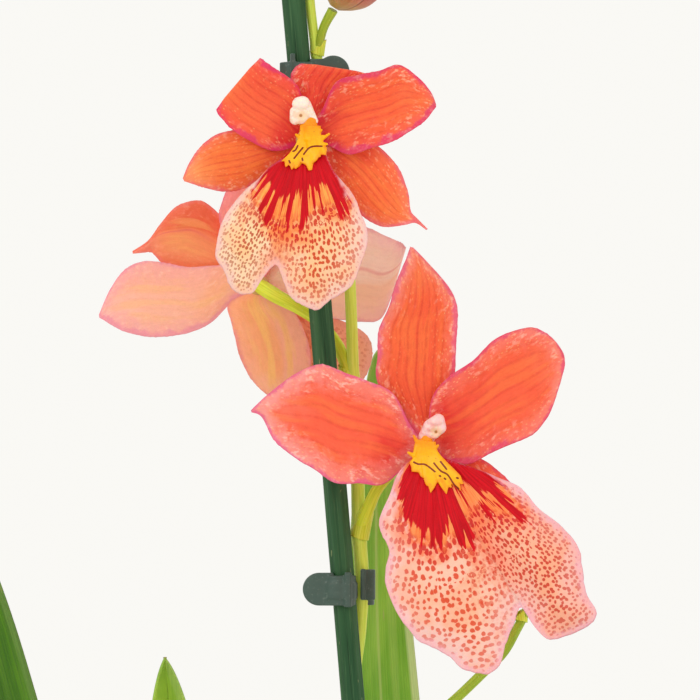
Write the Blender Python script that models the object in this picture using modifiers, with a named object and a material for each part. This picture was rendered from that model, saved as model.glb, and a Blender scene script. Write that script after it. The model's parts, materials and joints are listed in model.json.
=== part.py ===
"""Potted oncidium orchid with one staked flower spike, in metres, +Z up, origin under the pot's middle."""
import math
import random

import bmesh
import bpy
from mathutils import Matrix, Vector

MM = 0.001

# Driving dimensions, in millimetres
POT_HEIGHT = 108.0
POT_TOP_RADIUS = 60.0
POT_FOOT_RADIUS = 43.0
POT_WALL = 1.8
POT_FLOOR = 2.4
RIM_HEIGHT = 11.0
RIM_STEP = 1.6
DRAIN_COUNT = 6
DRAIN_RADIUS = 4.0
DRAIN_RING_RADIUS = 27.0
MEDIUM_TOP = 94.0
MEDIUM_DOME = 3.0
CHIP_COUNT = 34
CHIP_SEED = 7
CHIP_LENGTH = (11.0, 19.0)
CHIP_WIDTH = (7.0, 12.0)
CHIP_DEPTH = (5.0, 8.0)
CHIP_TILT = 0.4
CHIP_LIFT = 2.4
GOLDEN_ANGLE = 137.5
FIT_GAP = 0.3
LEAF_CUT_GAP = 0.45
BULB_CUT_GAP = 0.35
STEM_CUT_GAP = 0.4
TEPAL_THICKNESS = 0.66
LIP_THICKNESS = 0.66
CALLUS_THICKNESS = 1.0
CALLUS_GAP = 0.66
CALLUS_TOOTH = 0.5
LEAF_THICKNESS = 0.9
STAKE_RADIUS = 2.4
STAKE_SIDES = 10
CLIP_HEIGHT = 6.6
CLIP_WALL = 0.8
CLIP_FLAP_REACH = 8.2
CLIP_LONG_FLAP = 1.8
CLIP_FLAP_THICKNESS = 1.4
RECEPTACLE_RADIUS = 2.3
RECEPTACLE_DEPTH = 1.2
LIP_ROOT_AHEAD = 2.8
LIP_SWELL = 5.5
LIP_SWELL_REACH = 6.0
LIP_DROOP = 3.2
LIP_RIPPLE = 0.5
LIP_RIPPLE_WAVES = 7.0

# Middles of the blooms: across, depth (away from the viewer), height
UPPER_MIDDLE = (-20.8, -14.0, 472.0)
LOWER_MIDDLE = (3.0, -12.0, 410.6)
BACK_MIDDLE = (-30.4, 13.0, 443.0)

# A tepal is a row of stations from its base to its tip, in millimetres from the bloom's middle. A station
# holds one edge (across, height), the other edge (across, height) and three depths: edge, rib, edge.
UPPER_TEPALS = {
    "left_petal": [
        (-0.9, -0.2, -0.5, 1.6, 0.9, 0.9, 0.9),
        (-3.2, -1.4, -1.0, 5.0, 0.6, 0.6, 0.4),
        (-6.6, -1.7, -1.5, 9.2, 0.4, 0.2, -0.6),
        (-10.4, -0.6, -3.4, 12.0, -0.4, 0.2, -1.4),
        (-14.0, 1.4, -5.8, 13.8, -0.9, 0.0, -1.6),
        (-16.8, 4.2, -7.9, 15.2, -1.0, -0.4, -1.5),
        (-17.7, 5.6, -9.0, 16.0, -0.4, -0.4, -0.8),
        (-17.0, 6.6, -9.6, 15.2, 1.2, 1.0, 1.0),
        (-12.6, 9.8, -11.6, 11.0, 3.0, 3.2, 3.0),
    ],
    "right_petal": [
        (0.9, 0.0, 1.0, 1.8, 0.9, 0.9, 0.9),
        (4.6, -0.9, 3.4, 5.4, 0.6, 0.6, -0.4),
        (8.6, -2.4, 6.2, 10.6, -0.4, 0.6, -1.6),
        (12.8, -1.7, 10.4, 12.5, -1.4, 0.2, -1.8),
        (16.8, -0.7, 14.8, 13.6, -2.0, -0.4, -1.8),
        (20.4, 1.3, 18.6, 14.7, -2.2, -1.0, -1.6),
        (23.6, 3.5, 22.4, 12.2, -2.0, -1.6, -1.4),
        (25.2, 5.5, 24.8, 9.4, -1.6, -1.6, -1.2),
        (25.9, 6.4, 25.9, 7.0, -1.2, -1.2, -1.2),
    ],
    "dorsal_sepal": [
        (-0.7, 1.6, 1.2, 1.6, 1.4, 1.4, 1.4),
        (-0.6, 5.0, 3.2, 5.0, 2.4, 2.0, 2.2),
        (-1.0, 9.0, 6.0, 8.0, 2.8, 2.0, 2.6),
        (-2.9, 11.8, 9.6, 10.2, 2.6, 2.2, 3.0),
        (-2.6, 13.6, 12.0, 12.0, 2.4, 2.0, 3.0),
        (-1.2, 14.9, 12.6, 12.9, 2.8, 2.2, 3.4),
        (0.2, 14.6, 11.6, 12.6, 5.0, 4.6, 5.0),
        (3.4, 11.6, 7.4, 11.0, 7.0, 7.2, 7.0),
    ],
    "left_sepal": [
        (-1.2, -1.0, -1.2, 0.4, 1.5, 1.5, 1.5),
        (-4.4, -4.2, -5.0, 0.6, 2.4, 1.8, 2.2),
        (-8.4, -7.2, -9.6, 1.2, 2.6, 1.6, 2.6),
        (-12.4, -9.8, -14.0, 1.7, 2.2, 1.4, 2.8),
        (-16.4, -10.4, -17.8, 0.9, 1.6, 1.2, 2.6),
        (-20.0, -9.7, -21.0, -1.6, 1.0, 1.0, 2.2),
        (-22.6, -8.9, -23.2, -4.8, 0.8, 1.0, 1.6),
        (-24.2, -8.4, -24.5, -7.8, 0.8, 0.8, 0.8),
    ],
    "right_sepal": [
        (0.8, -1.2, 1.6, 0.0, 1.5, 1.5, 1.5),
        (4.0, -3.6, 6.0, 0.4, 2.6, 1.8, 2.4),
        (6.2, -7.8, 11.2, -0.2, 2.6, 1.8, 2.8),
        (8.8, -12.0, 15.4, -2.4, 2.6, 1.8, 2.8),
        (11.4, -15.4, 18.6, -6.0, 2.6, 1.8, 2.8),
        (15.4, -17.4, 20.3, -10.6, 2.4, 2.0, 2.6),
        (19.6, -17.1, 20.9, -14.2, 2.2, 2.2, 2.4),
        (21.8, -16.7, 22.0, -15.6, 2.0, 2.0, 2.0),
        (24.0, -18.1, 24.3, -17.9, 1.6, 1.6, 1.6),
    ],
}

LOWER_TEPALS = {
    "left_petal": [
        (-1.0, -0.6, -0.8, 1.2, 0.9, 0.9, 0.9),
        (-4.2, -3.4, -3.4, 4.4, 0.6, 0.6, 0.4),
        (-8.4, -6.4, -6.6, 9.8, 0.0, 0.4, -0.6),
        (-13.0, -6.7, -11.6, 12.8, -0.8, 0.2, -1.2),
        (-17.8, -7.1, -16.4, 15.0, -1.4, -0.2, -1.4),
        (-22.0, -4.4, -20.8, 16.5, -1.8, -0.8, -1.6),
        (-26.4, -1.7, -25.4, 14.9, -2.0, -1.4, -1.6),
        (-30.2, 1.6, -29.2, 12.3, -2.0, -1.8, -1.6),
        (-32.5, 6.0, -32.4, 9.6, -1.6, -1.8, -1.6),
        (-34.6, 7.0, -34.7, 7.4, -1.2, -1.2, -1.2),
    ],
    "right_petal": [
        (0.9, 0.0, 0.6, 1.8, 0.9, 0.9, 0.9),
        (4.0, -1.6, 1.4, 8.6, 0.6, 0.8, -0.2),
        (8.4, -2.4, 4.8, 13.0, 0.2, 0.6, -0.8),
        (12.8, -0.8, 9.6, 16.9, -0.6, 0.2, -1.4),
        (17.4, 0.8, 13.4, 21.2, -1.4, -0.4, -2.0),
        (21.6, 2.8, 17.6, 23.2, -2.0, -1.0, -2.4),
        (24.6, 6.6, 21.6, 23.8, -2.4, -1.6, -2.6),
        (26.4, 11.4, 25.0, 22.0, -2.6, -2.2, -2.6),
        (27.5, 15.2, 27.2, 19.2, -2.6, -2.4, -2.6),
        (27.8, 16.8, 27.7, 17.6, -2.5, -2.5, -2.5),
    ],
    "dorsal_sepal": [
        (-1.0, 1.6, 1.2, 1.6, 1.5, 1.5, 1.5),
        (-4.2, 6.6, 2.8, 7.6, 2.6, 1.8, 2.4),
        (-8.8, 13.0, 5.0, 13.6, 2.6, 1.6, 2.4),
        (-9.3, 18.4, 5.9, 19.0, 1.6, 1.6, 1.8),
        (-9.3, 23.2, 6.4, 24.6, 0.8, 1.8, 1.0),
        (-7.2, 28.0, 6.2, 28.6, 0.4, 2.0, 0.4),
        (-5.7, 33.0, 4.6, 32.0, 0.4, 2.0, 0.2),
        (-4.0, 37.0, 1.2, 36.0, 0.8, 1.8, 0.6),
        (-3.0, 40.0, -2.4, 39.8, 1.6, 1.6, 1.6),
    ],
    "left_sepal": [
        (-1.6, -0.4, -0.4, -1.4, 1.5, 1.5, 1.5),
        (-3.4, -4.6, 0.4, -5.0, 2.6, 2.0, 2.6),
        (-5.8, -10.0, 1.2, -11.0, 2.8, 2.2, 2.8),
        (-6.6, -15.6, 1.6, -17.2, 3.2, 2.4, 3.2),
        (-5.8, -21.0, 1.8, -22.0, 3.6, 2.8, 3.6),
        (-3.6, -25.2, 0.8, -25.6, 3.8, 3.4, 3.8),
        (-1.8, -28.0, -1.2, -28.0, 4.0, 4.0, 4.0),
    ],
    "right_sepal": [
        (0.6, -1.2, 1.4, -0.2, 1.5, 1.5, 1.5),
        (3.4, -5.6, 6.4, -1.6, 2.6, 2.0, 2.6),
        (7.0, -11.0, 11.6, -2.8, 3.0, 2.2, 3.0),
        (11.4, -15.6, 16.2, -6.2, 3.4, 2.6, 3.4),
        (16.0, -18.8, 19.4, -10.6, 3.8, 3.2, 3.8),
        (20.4, -20.4, 21.8, -15.6, 4.2, 4.0, 4.2),
        (23.6, -20.6, 23.8, -20.0, 4.6, 4.6, 4.6),
    ],
}

BACK_TEPALS = {
    "left_sepal": [
        (-1.0, -1.0, -1.0, 0.8, 0.8, 0.8, 0.8),
        (-5.2, -2.8, -5.0, 3.2, 1.4, 1.0, 1.4),
        (-9.6, -7.0, -9.4, 3.4, 2.2, 1.4, 1.8),
        (-14.2, -9.4, -13.8, 3.5, 2.6, 1.8, 2.2),
        (-19.0, -10.3, -18.4, 4.4, 3.0, 2.2, 2.6),
        (-23.4, -10.1, -23.0, 4.8, 3.2, 2.6, 2.8),
        (-27.4, -9.1, -26.8, 3.2, 3.4, 3.0, 3.0),
        (-30.4, -7.4, -29.8, -0.8, 3.6, 3.4, 3.4),
        (-32.0, -6.5, -32.1, -5.9, 3.8, 3.8, 3.8),
    ],
    "left_petal": [
        (-1.0, 0.2, -0.4, 1.6, 2.0, 2.0, 2.0),
        (-6.0, 2.6, -4.6, 8.6, 3.6, 3.2, 3.8),
        (-11.0, 2.6, -8.2, 14.0, 4.4, 3.8, 4.8),
        (-15.6, 3.0, -11.8, 17.0, 5.0, 4.2, 5.4),
        (-19.2, 4.4, -16.4, 15.9, 5.4, 4.4, 5.4),
        (-21.4, 6.6, -19.6, 12.5, 5.6, 4.8, 5.4),
        (-23.2, 6.6, -22.2, 9.0, 5.8, 5.4, 5.6),
        (-25.3, 6.4, -25.4, 6.9, 6.2, 6.2, 6.2),
    ],
    "dorsal_sepal": [
        (-1.0, 1.2, 1.0, 1.2, 0.8, 0.8, 0.8),
        (-5.4, 7.6, 4.0, 7.6, 1.2, 1.0, 1.4),
        (-7.8, 13.4, 4.4, 13.8, 1.6, 1.4, 2.0),
        (-7.2, 17.0, 3.8, 18.0, 2.0, 1.6, 2.4),
        (-5.6, 20.6, 2.0, 21.0, 2.4, 2.2, 2.8),
        (-2.8, 24.2, -1.8, 24.3, 3.0, 3.0, 3.0),
    ],
    "right_petal": [
        (0.6, 1.6, 1.2, 0.2, 2.0, 2.0, 2.0),
        (5.0, 5.4, 5.0, -2.0, 3.6, 3.0, 3.4),
        (10.0, 9.0, 10.4, -4.6, 4.6, 3.8, 4.6),
        (15.6, 11.4, 15.8, -6.6, 5.2, 4.4, 5.4),
        (21.0, 11.8, 20.6, -7.3, 5.4, 4.8, 5.8),
        (25.6, 9.9, 24.4, -6.8, 5.4, 5.0, 6.0),
        (28.6, 8.6, 26.6, -2.6, 5.2, 5.0, 5.8),
        (29.5, 7.8, 28.6, 4.2, 5.0, 5.0, 5.4),
        (29.6, 7.5, 29.4, 6.8, 5.0, 5.0, 5.0),
    ],
    "right_sepal": [
        (-1.0, -1.0, 1.0, -1.2, 0.8, 0.8, 0.8),
        (-5.2, -3.6, 4.4, -3.4, 1.4, 1.0, 1.4),
        (-5.0, -7.2, 7.6, -6.8, 1.2, 1.4, 2.0),
        (-4.6, -10.8, 9.8, -11.0, 1.2, 1.8, 2.2),
        (-3.7, -14.4, 10.6, -15.6, 1.6, 2.0, 2.4),
        (-1.6, -18.6, 9.0, -19.6, 2.2, 2.2, 2.6),
        (1.2, -21.6, 6.8, -21.8, 2.6, 2.6, 2.6),
        (3.4, -22.8, 4.4, -22.8, 2.8, 2.8, 2.8),
    ],
}

# A lip's margin, from its left shoulder round the two lobes to its right shoulder: (across, height)
UPPER_LIP = [
    (-3.2, -3.6), (-5.6, -4.6), (-7.6, -6.0), (-9.6, -8.2), (-11.8, -10.0), (-13.8, -12.2),
    (-16.2, -15.6), (-17.4, -19.2), (-17.9, -23.4), (-16.4, -26.0), (-15.2, -29.0), (-13.4, -30.8),
    (-10.6, -30.6), (-8.6, -27.8), (-6.8, -25.6), (-5.7, -25.2), (-4.9, -27.0), (-3.2, -31.2),
    (-0.4, -33.2), (2.4, -34.0), (5.0, -32.0), (8.8, -29.6), (10.6, -26.0), (12.2, -20.8),
    (12.0, -17.4), (10.8, -14.6), (10.0, -12.2), (8.4, -9.8), (6.2, -7.6), (4.8, -5.0), (4.0, -3.0),
]
LOWER_LIP = [
    (-3.2, -2.6), (-5.6, -5.4), (-7.2, -9.6), (-9.1, -14.0), (-8.8, -17.0), (-7.2, -20.4),
    (-7.9, -24.0), (-7.8, -27.6), (-5.8, -32.6), (-3.0, -36.6), (-1.2, -38.5), (2.4, -40.2),
    (5.0, -41.8), (7.4, -44.0), (12.0, -45.1), (14.8, -43.2), (15.9, -39.2), (17.6, -35.0),
    (18.7, -32.0), (19.9, -32.7), (21.6, -35.5), (24.6, -38.2), (28.6, -37.3), (32.8, -35.2),
    (34.0, -32.6), (32.0, -29.0), (31.3, -24.4), (30.4, -19.8), (27.0, -15.6), (22.4, -12.0),
    (19.0, -8.0), (15.0, -6.2), (10.6, -4.4), (6.0, -3.0), (2.6, -2.4),
]
BACK_LIP = [
    (-2.0, -4.0), (-3.4, -9.0), (-2.6, -14.0), (0.6, -18.0), (5.0, -20.6), (9.0, -20.2),
    (12.0, -21.6), (16.4, -22.0), (20.4, -19.8), (22.8, -15.0), (22.2, -10.6), (18.4, -7.8),
    (11.0, -5.2), (4.0, -2.6),
]
LIP_ROOT_LEFT = (-1.6, -1.5)
LIP_ROOT_RIGHT = (1.6, -1.5)

# The yellow callus on a lip: half its width at each height, from its neck down to its jagged end
CALLUS_ROWS = [(1.5, 1.1), (1.5, -0.6), (2.2, -2.2), (3.4, -3.8), (4.0, -5.2), (2.4, -6.6)]
# The column: across, how far it stands ahead of the receptacle's middle, height, radius
UPPER_COLUMN = [(0.8, 2.5, 2.3, 1.2), (0.2, 3.8, 4.6, 1.9), (-0.9, 5.0, 6.3, 2.1), (-1.1, 5.6, 7.5, 1.3)]
LOWER_COLUMN = [(0.4, 2.7, 2.6, 1.1), (1.0, 3.8, 3.8, 1.6), (2.2, 5.2, 4.8, 1.8), (2.8, 6.0, 5.6, 1.1)]

# The stake's middle line: across, depth, height
STAKE_LINE = [
    (18.0, 0.0, 14.0),
    (11.2, 0.0, 95.0),
    (-3.0, 0.0, 262.0),
    (-11.4, 0.0, 360.0),
    (-15.1, 0.0, 404.0),
    (-17.9, 0.0, 438.0),
    (-23.3, 0.0, 500.0),
    (-25.9, 0.0, 530.0),
]

# The spike's stem from the medium to its tip: across, depth, height, radius
STEM_LINE = [
    (3.0, 12.0, 84.0, 2.4),
    (3.0, 11.6, 110.0, 2.3),
    (2.0, 9.0, 150.0, 2.2),
    (-2.0, 6.6, 210.0, 2.0),
    (-5.8, 5.4, 270.0, 1.9),
    (-9.6, 5.0, 320.0, 1.8),
    (-11.6, 4.8, 358.0, 1.6),
    (-10.2, 3.9, 374.0, 1.5),
    (-9.6, 3.2, 384.0, 1.45),
    (-10.2, 2.8, 394.0, 1.4),
    (-10.5, 2.6, 406.0, 1.35),
    (-11.2, 2.6, 420.0, 1.25),
    (-11.6, 2.6, 434.0, 1.15),
    (-12.3, 2.6, 448.0, 1.15),
    (-14.0, 2.4, 463.0, 1.1),
    (-16.6, 2.0, 477.0, 1.05),
    (-18.4, 1.7, 487.0, 1.0),
    (-20.0, 1.5, 500.0, 0.95),
    (-20.6, 1.5, 512.0, 0.9),
    (-20.2, 1.0, 524.0, 0.8),
    (-19.0, 0.5, 536.0, 0.7),
    (-17.6, 0.0, 548.0, 0.6),
]
# Side stems that are fused to the spike: across, depth, height, radius
SIDE_STEMS = {
    "lower_pedicel": [
        (-10.3, 2.8, 393.0, 1.3), (-9.3, 1.6, 396.2, 1.5), (-8.0, 0.2, 399.2, 1.3),
        (-6.4, -1.6, 402.4, 1.15), (-3.2, -4.2, 406.4, 1.15), (1.6, -8.1, 409.6, 1.2),
    ],
    "upper_pedicel": [
        (-13.0, 2.5, 456.0, 1.1), (-13.8, 0.4, 459.6, 1.15), (-15.4, -3.4, 464.4, 1.15),
        (-18.2, -7.4, 468.8, 1.2), (-20.2, -10.1, 471.3, 1.2),
    ],
    "back_pedicel": [
        (-11.8, 2.6, 424.0, 1.2), (-13.4, 3.7, 428.6, 1.25), (-14.9, 4.8, 431.6, 1.2),
        (-18.0, 5.9, 435.4, 1.15), (-22.0, 6.6, 438.2, 1.2), (-26.6, 7.2, 440.7, 1.3),
        (-29.2, 8.8, 442.3, 1.3), (-30.3, 11.4, 443.0, 1.2),
    ],
    "first_bud_pedicel": [(-18.6, 1.6, 489.5, 0.9), (-17.3, 0.4, 494.4, 0.85), (-15.4, -0.8, 498.0, 1.0)],
    "second_bud_pedicel": [(-20.6, 1.5, 509.0, 0.8), (-22.0, 4.4, 513.6, 0.75), (-24.0, 6.6, 517.0, 0.9)],
    "third_bud_pedicel": [(-20.3, 1.2, 521.0, 0.7), (-17.4, -0.6, 525.6, 0.65), (-15.6, -2.2, 528.6, 0.8)],
    "fourth_bud_pedicel": [(-19.2, 0.6, 534.0, 0.6), (-21.2, -1.0, 538.4, 0.55), (-22.6, -2.2, 541.4, 0.7)],
    "side_branch": [
        (-10.8, 4.8, 340.0, 1.4), (-6.0, 7.4, 345.0, 1.15), (2.0, 9.0, 353.6, 1.05),
        (9.6, 9.0, 360.4, 1.0), (15.2, 8.6, 365.8, 1.0), (18.8, 8.2, 369.4, 0.95),
        (21.2, 8.0, 373.6, 0.95), (23.6, 8.0, 378.4, 0.9), (25.4, 8.2, 384.4, 0.85),
    ],
    "side_bud_pedicel": [(23.4, 8.0, 378.0, 0.7), (22.6, 9.4, 381.0, 0.6), (21.9, 10.4, 383.2, 0.7)],
}
# Clasping bracts on the spike: place, direction of the tip, length and base radius
BRACTS = [
    ((-10.3, 2.9, 392.6), (0.30, -0.20, 0.93), 6.0, 2.0),
    ((-12.0, 2.7, 423.6), (-0.30, 0.20, 0.93), 4.2, 1.7),
    ((-13.0, 2.6, 455.4), (0.25, -0.20, 0.95), 3.8, 1.6),
    ((-18.7, 1.8, 489.2), (0.30, -0.10, 0.95), 3.4, 1.4),
    ((-20.6, 1.5, 508.8), (-0.25, 0.25, 0.93), 3.0, 1.2),
    ((-11.0, 4.9, 339.0), (0.35, 0.10, 0.93), 9.0, 2.4),
    ((-7.0, 5.3, 288.0), (-0.10, 0.10, 0.99), 13.0, 2.6),
    ((-2.4, 6.5, 216.0), (0.10, 0.10, 0.99), 15.0, 2.8),
    ((2.3, 9.6, 144.0), (-0.05, 0.10, 0.99), 16.0, 3.1),
    ((22.2, 8.0, 375.6), (0.20, 0.10, 0.97), 3.2, 1.3),
]
# Buds: base point, direction, length and radius
BUDS = [
    ((-15.1, -1.1, 498.5), (0.55, -0.12, 0.83), 17.0, 6.2),
    ((-24.3, 6.9, 517.5), (-0.52, 0.42, 0.74), 15.0, 5.0),
    ((-15.3, -2.5, 529.1), (0.48, -0.36, 0.80), 12.5, 4.0),
    ((-22.8, -2.4, 541.9), (-0.48, -0.30, 0.82), 10.0, 3.1),
    ((-17.55, 0.0, 548.5), (0.14, -0.05, 0.99), 8.0, 2.3),
    ((25.6, 8.3, 384.9), (0.30, 0.12, 0.95), 9.0, 3.0),
    ((21.7, 10.6, 383.7), (-0.24, 0.40, 0.88), 7.0, 2.2),
]

# Pseudobulbs: middle across, middle depth, turn about the vertical in degrees, half width, half
# thickness, top height
BULBS = [
    (21.0, 23.0, 8.0, 14.0, 8.5, 162.0),
    (-10.5, 25.0, -12.0, 13.0, 8.5, 152.0),
    (-36.0, 4.0, 62.0, 13.0, 8.5, 146.0),
]
BULB_FOOT = 84.0

# Leaves: points of the middle line (across, depth, height), the turn of the blade's width about the
# vertical in degrees, half width, and the fold of its V in degrees at the base and at the tip
LEAVES = {
    "leaf_1": ([(20.0, 25.0, 161.8), (11.0, 31.0, 232.0), (-1.0, 36.0, 302.0), (-6.6, 39.5, 372.0),
                (-6.0, 42.0, 429.6)], 22.0, 9.6, 62.0, 40.0),
    "leaf_2": ([(33.6, 23.4, 147.0), (38.6, 21.0, 216.0), (53.0, 17.0, 288.0), (76.0, 13.0, 334.0),
                (96.0, 10.0, 346.0)], -84.0, 12.0, 60.0, 22.0),
    "leaf_3": ([(40.0, 25.4, 88.0), (42.0, 25.0, 130.0), (54.0, 22.0, 186.0), (82.0, 16.0, 232.0),
                (112.0, 8.0, 236.0)], -80.0, 11.0, 58.0, 20.0),
    "leaf_4": ([(-12.6, 25.6, 151.5), (-22.0, 25.0, 220.0), (-36.0, 23.0, 288.0), (-46.0, 21.0, 336.0),
                (-49.3, 20.0, 368.2)], 4.0, 13.5, 58.0, 34.0),
    "leaf_5": ([(0.0, 23.4, 138.0), (3.0, 34.0, 200.0), (8.0, 58.0, 268.0), (16.0, 88.0, 308.0),
                (22.0, 114.0, 314.0)], -36.0, 12.0, 60.0, 20.0),
    "leaf_6": ([(-37.0, 3.0, 146.4), (-49.0, 0.0, 220.0), (-69.2, -6.0, 300.0), (-88.2, -13.0, 378.0),
                (-108.0, -22.0, 440.0)], 56.0, 13.0, 58.0, 26.0),
    "leaf_7": ([(-44.4, -11.4, 88.0), (-47.0, -15.0, 126.0), (-60.0, -32.0, 180.0), (-82.0, -58.0, 216.0),
                (-104.0, -84.0, 222.0)], 146.0, 11.0, 58.0, 20.0),
    "leaf_8": ([(12.5, -29.0, 86.0), (11.5, -31.0, 130.0), (5.0, -41.0, 186.0), (-7.0, -58.0, 232.0),
                (-19.0, -76.0, 250.0)], 150.0, 9.5, 62.0, 24.0),
    "leaf_9": ([(24.0, -22.0, 86.0), (26.0, -23.0, 120.0), (38.0, -31.0, 166.0), (58.0, -45.0, 198.0),
                (82.0, -61.0, 204.0)], -123.0, 9.0, 62.0, 22.0),
    "leaf_10": ([(18.0, -16.0, 86.0), (18.0, -15.0, 120.0), (19.0, -16.0, 170.0), (24.0, -20.0, 226.0),
                 (32.0, -25.0, 268.0)], -123.0, 8.0, 66.0, 34.0),
    "leaf_11": ([(-30.2, 30.6, 88.0), (-31.4, 32.0, 130.0), (-39.0, 44.0, 184.0), (-57.0, 68.0, 224.0),
                 (-78.0, 92.0, 226.0)], 55.0, 11.0, 58.0, 20.0),
}

# Facets over each sheet
LEAF_ROWS = 10
LEAF_COLUMNS = 4
TEPAL_ROWS = 8
TEPAL_COLUMNS = 4
LIP_RINGS = 6
CALLUS_COLUMNS = 4
STEM_RINGS = 38
POT_STEPS = 40

# Clips: height of the middle, place of the stem there (across, depth), stem radius, side of the flap
CLIPS = {
    "clip_upper": (485.6, (-18.2, 1.75), 1.05, 1),
    "clip_lower": (382.2, (-9.7, 3.3), 1.5, -1),
    "clip_bottom": (262.0, (-5.2, 5.5), 1.95, -1),
}

COLOURS = {
    "pot": ((0.035, 0.037, 0.04), 0.5),
    "medium": ((0.16, 0.075, 0.035), 0.9),
    "bulb": ((0.22, 0.36, 0.08), 0.45),
    "leaf": ((0.16, 0.36, 0.05), 0.4),
    "stem": ((0.30, 0.50, 0.06), 0.4),
    "stake": ((0.02, 0.13, 0.05), 0.55),
    "clip": ((0.05, 0.10, 0.085), 0.45),
    "tepal": ((0.90, 0.12, 0.05), 0.5),
    "lip": ((0.92, 0.50, 0.28), 0.5),
    "callus": ((0.95, 0.62, 0.02), 0.4),
    "column": ((0.92, 0.78, 0.72), 0.4),
    "bud": ((0.42, 0.12, 0.08), 0.5),
}


def clear_scene():
    for old in list(bpy.data.objects):
        bpy.data.objects.remove(old, do_unlink=True)


def new_collection(name):
    collection = bpy.data.collections.new(name)
    bpy.context.scene.collection.children.link(collection)
    return collection


def make_material(name):
    colour, roughness = COLOURS[name]
    material = bpy.data.materials.new(name)
    material.use_nodes = True
    shader = material.node_tree.nodes["Principled BSDF"]
    shader.inputs["Base Color"].default_value = (*colour, 1.0)
    shader.inputs["Roughness"].default_value = roughness
    shader.inputs["Metallic"].default_value = 0.0
    return material


def scaled(place):
    """A place in millimetres as a vector in metres."""
    return Vector(place) * MM


def spline_values(rows, place):
    """Values on a smooth curve through rows of numbers, at a place from 0 (first) to 1 (last)."""
    last = len(rows) - 1
    at = min(max(place, 0.0), 1.0) * last
    i = min(int(at), last - 1)
    f = at - i
    near = (rows[max(i - 1, 0)], rows[i], rows[i + 1], rows[min(i + 2, last)])
    return [
        b + 0.5 * f * (c - a + f * (2.0 * a - 5.0 * b + 4.0 * c - d + f * (3.0 * (b - c) + d - a)))
        for a, b, c, d in zip(*near)
    ]


def add_object(name, mesh, collection, material=None):
    thing = bpy.data.objects.new(name, mesh)
    collection.objects.link(thing)
    if material:
        mesh.materials.append(material)
    return thing


def grid_mesh(name, rows):
    """An open sheet of triangles over rows of points; a row drawn to one point becomes a tip."""
    bm = bmesh.new()
    grid = [[bm.verts.new(p) for p in row] for row in rows]
    for low, high in zip(grid, grid[1:]):
        for i in range(len(low) - 1):
            bm.faces.new((low[i], low[i + 1], high[i + 1]))
            bm.faces.new((low[i], high[i + 1], high[i]))
    bmesh.ops.remove_doubles(bm, verts=bm.verts, dist=0.00002)
    mesh = bpy.data.meshes.new(name)
    bm.to_mesh(mesh)
    bm.free()
    return mesh


def add_thickness(thing, thickness):
    solidify = thing.modifiers.new("thickness", "SOLIDIFY")
    solidify.thickness = thickness * MM
    solidify.offset = 0.0
    solidify.use_even_offset = False


def baked_mesh(thing, name):
    """The mesh of an object with its modifiers, in world space and with welded points."""
    bpy.context.view_layer.update()
    graph = bpy.context.evaluated_depsgraph_get()
    mesh = bpy.data.meshes.new_from_object(thing.evaluated_get(graph))
    mesh.name = name
    mesh.transform(thing.matrix_world)
    bm = bmesh.new()
    bm.from_mesh(mesh)
    bmesh.ops.remove_doubles(bm, verts=bm.verts, dist=0.000005)
    bmesh.ops.recalc_face_normals(bm, faces=bm.faces)
    bm.to_mesh(mesh)
    bm.free()
    return mesh


def replace_by_mesh(thing, collection, material=None):
    """Swap an object for a plain one that holds its evaluated mesh."""
    name = thing.name
    mesh = baked_mesh(thing, name)
    mesh.materials.clear()
    old_data = thing.data
    bpy.data.objects.remove(thing, do_unlink=True)
    if isinstance(old_data, bpy.types.Curve):
        bpy.data.curves.remove(old_data)
    return add_object(name, mesh, collection, material)


def join_bodies(name, bodies, collection, material):
    """Fuse overlapping bodies into one by a Boolean union, then remove them."""
    joined = bpy.data.collections.new(name + "_pieces")
    for body in bodies[1:]:
        joined.objects.link(body)
    union = bodies[0].modifiers.new("union", "BOOLEAN")
    union.operation = "UNION"
    union.solver = "EXACT"
    union.operand_type = "COLLECTION"
    union.collection = joined
    mesh = baked_mesh(bodies[0], name)
    mesh.materials.clear()
    for body in bodies:
        bpy.data.objects.remove(body, do_unlink=True)
    bpy.data.collections.remove(joined)
    return add_object(name, mesh, collection, material)


def cut_away(thing, cutters, cutter_collection):
    """Subtract cutters from an object; they stay as wires in their own collection."""
    for cutter in cutters:
        if cutter.name not in cutter_collection.objects:
            cutter_collection.objects.link(cutter)
        cutter.hide_render = True
        cutter.display_type = "WIRE"
        cut = thing.modifiers.new("cut", "BOOLEAN")
        cut.operation = "DIFFERENCE"
        cut.solver = "EXACT"
        cut.object = cutter


def shade_round(thing, angle=40.0):
    thing.data.shade_smooth()
    thing.data.set_sharp_from_angle(angle=math.radians(angle))


def tube(name, line, collection, resolution=2, extra=0.0):
    """A round stem along a line of (across, depth, height, radius) with closed ends."""
    curve = bpy.data.curves.new(name, "CURVE")
    curve.dimensions = "3D"
    curve.bevel_depth = 1.0 * MM
    curve.bevel_resolution = resolution
    curve.use_fill_caps = True
    spline = curve.splines.new("POLY")
    spline.points.add(len(line) - 1)
    for point, (x, y, z, radius) in zip(spline.points, line):
        point.co = (x * MM, y * MM, z * MM, 1.0)
        point.radius = radius + extra
    thing = bpy.data.objects.new(name, curve)
    collection.objects.link(thing)
    return replace_by_mesh(thing, collection)


def smooth_line(points, count):
    return [spline_values(points, i / (count - 1)) for i in range(count)]


def turned(name, profile, steps, collection):
    """A turned body: profile of (radius, height), down its outer side, about the Z axis."""
    mesh = bpy.data.meshes.new(name)
    verts = [(r * MM, 0.0, z * MM) for r, z in profile]
    mesh.from_pydata(verts, [(i, i + 1) for i in range(len(verts) - 1)], [])
    thing = add_object(name, mesh, collection)
    screw = thing.modifiers.new("turn", "SCREW")
    screw.steps = steps
    screw.render_steps = steps
    screw.use_merge_vertices = True
    screw.merge_threshold = 0.00002
    return thing


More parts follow.
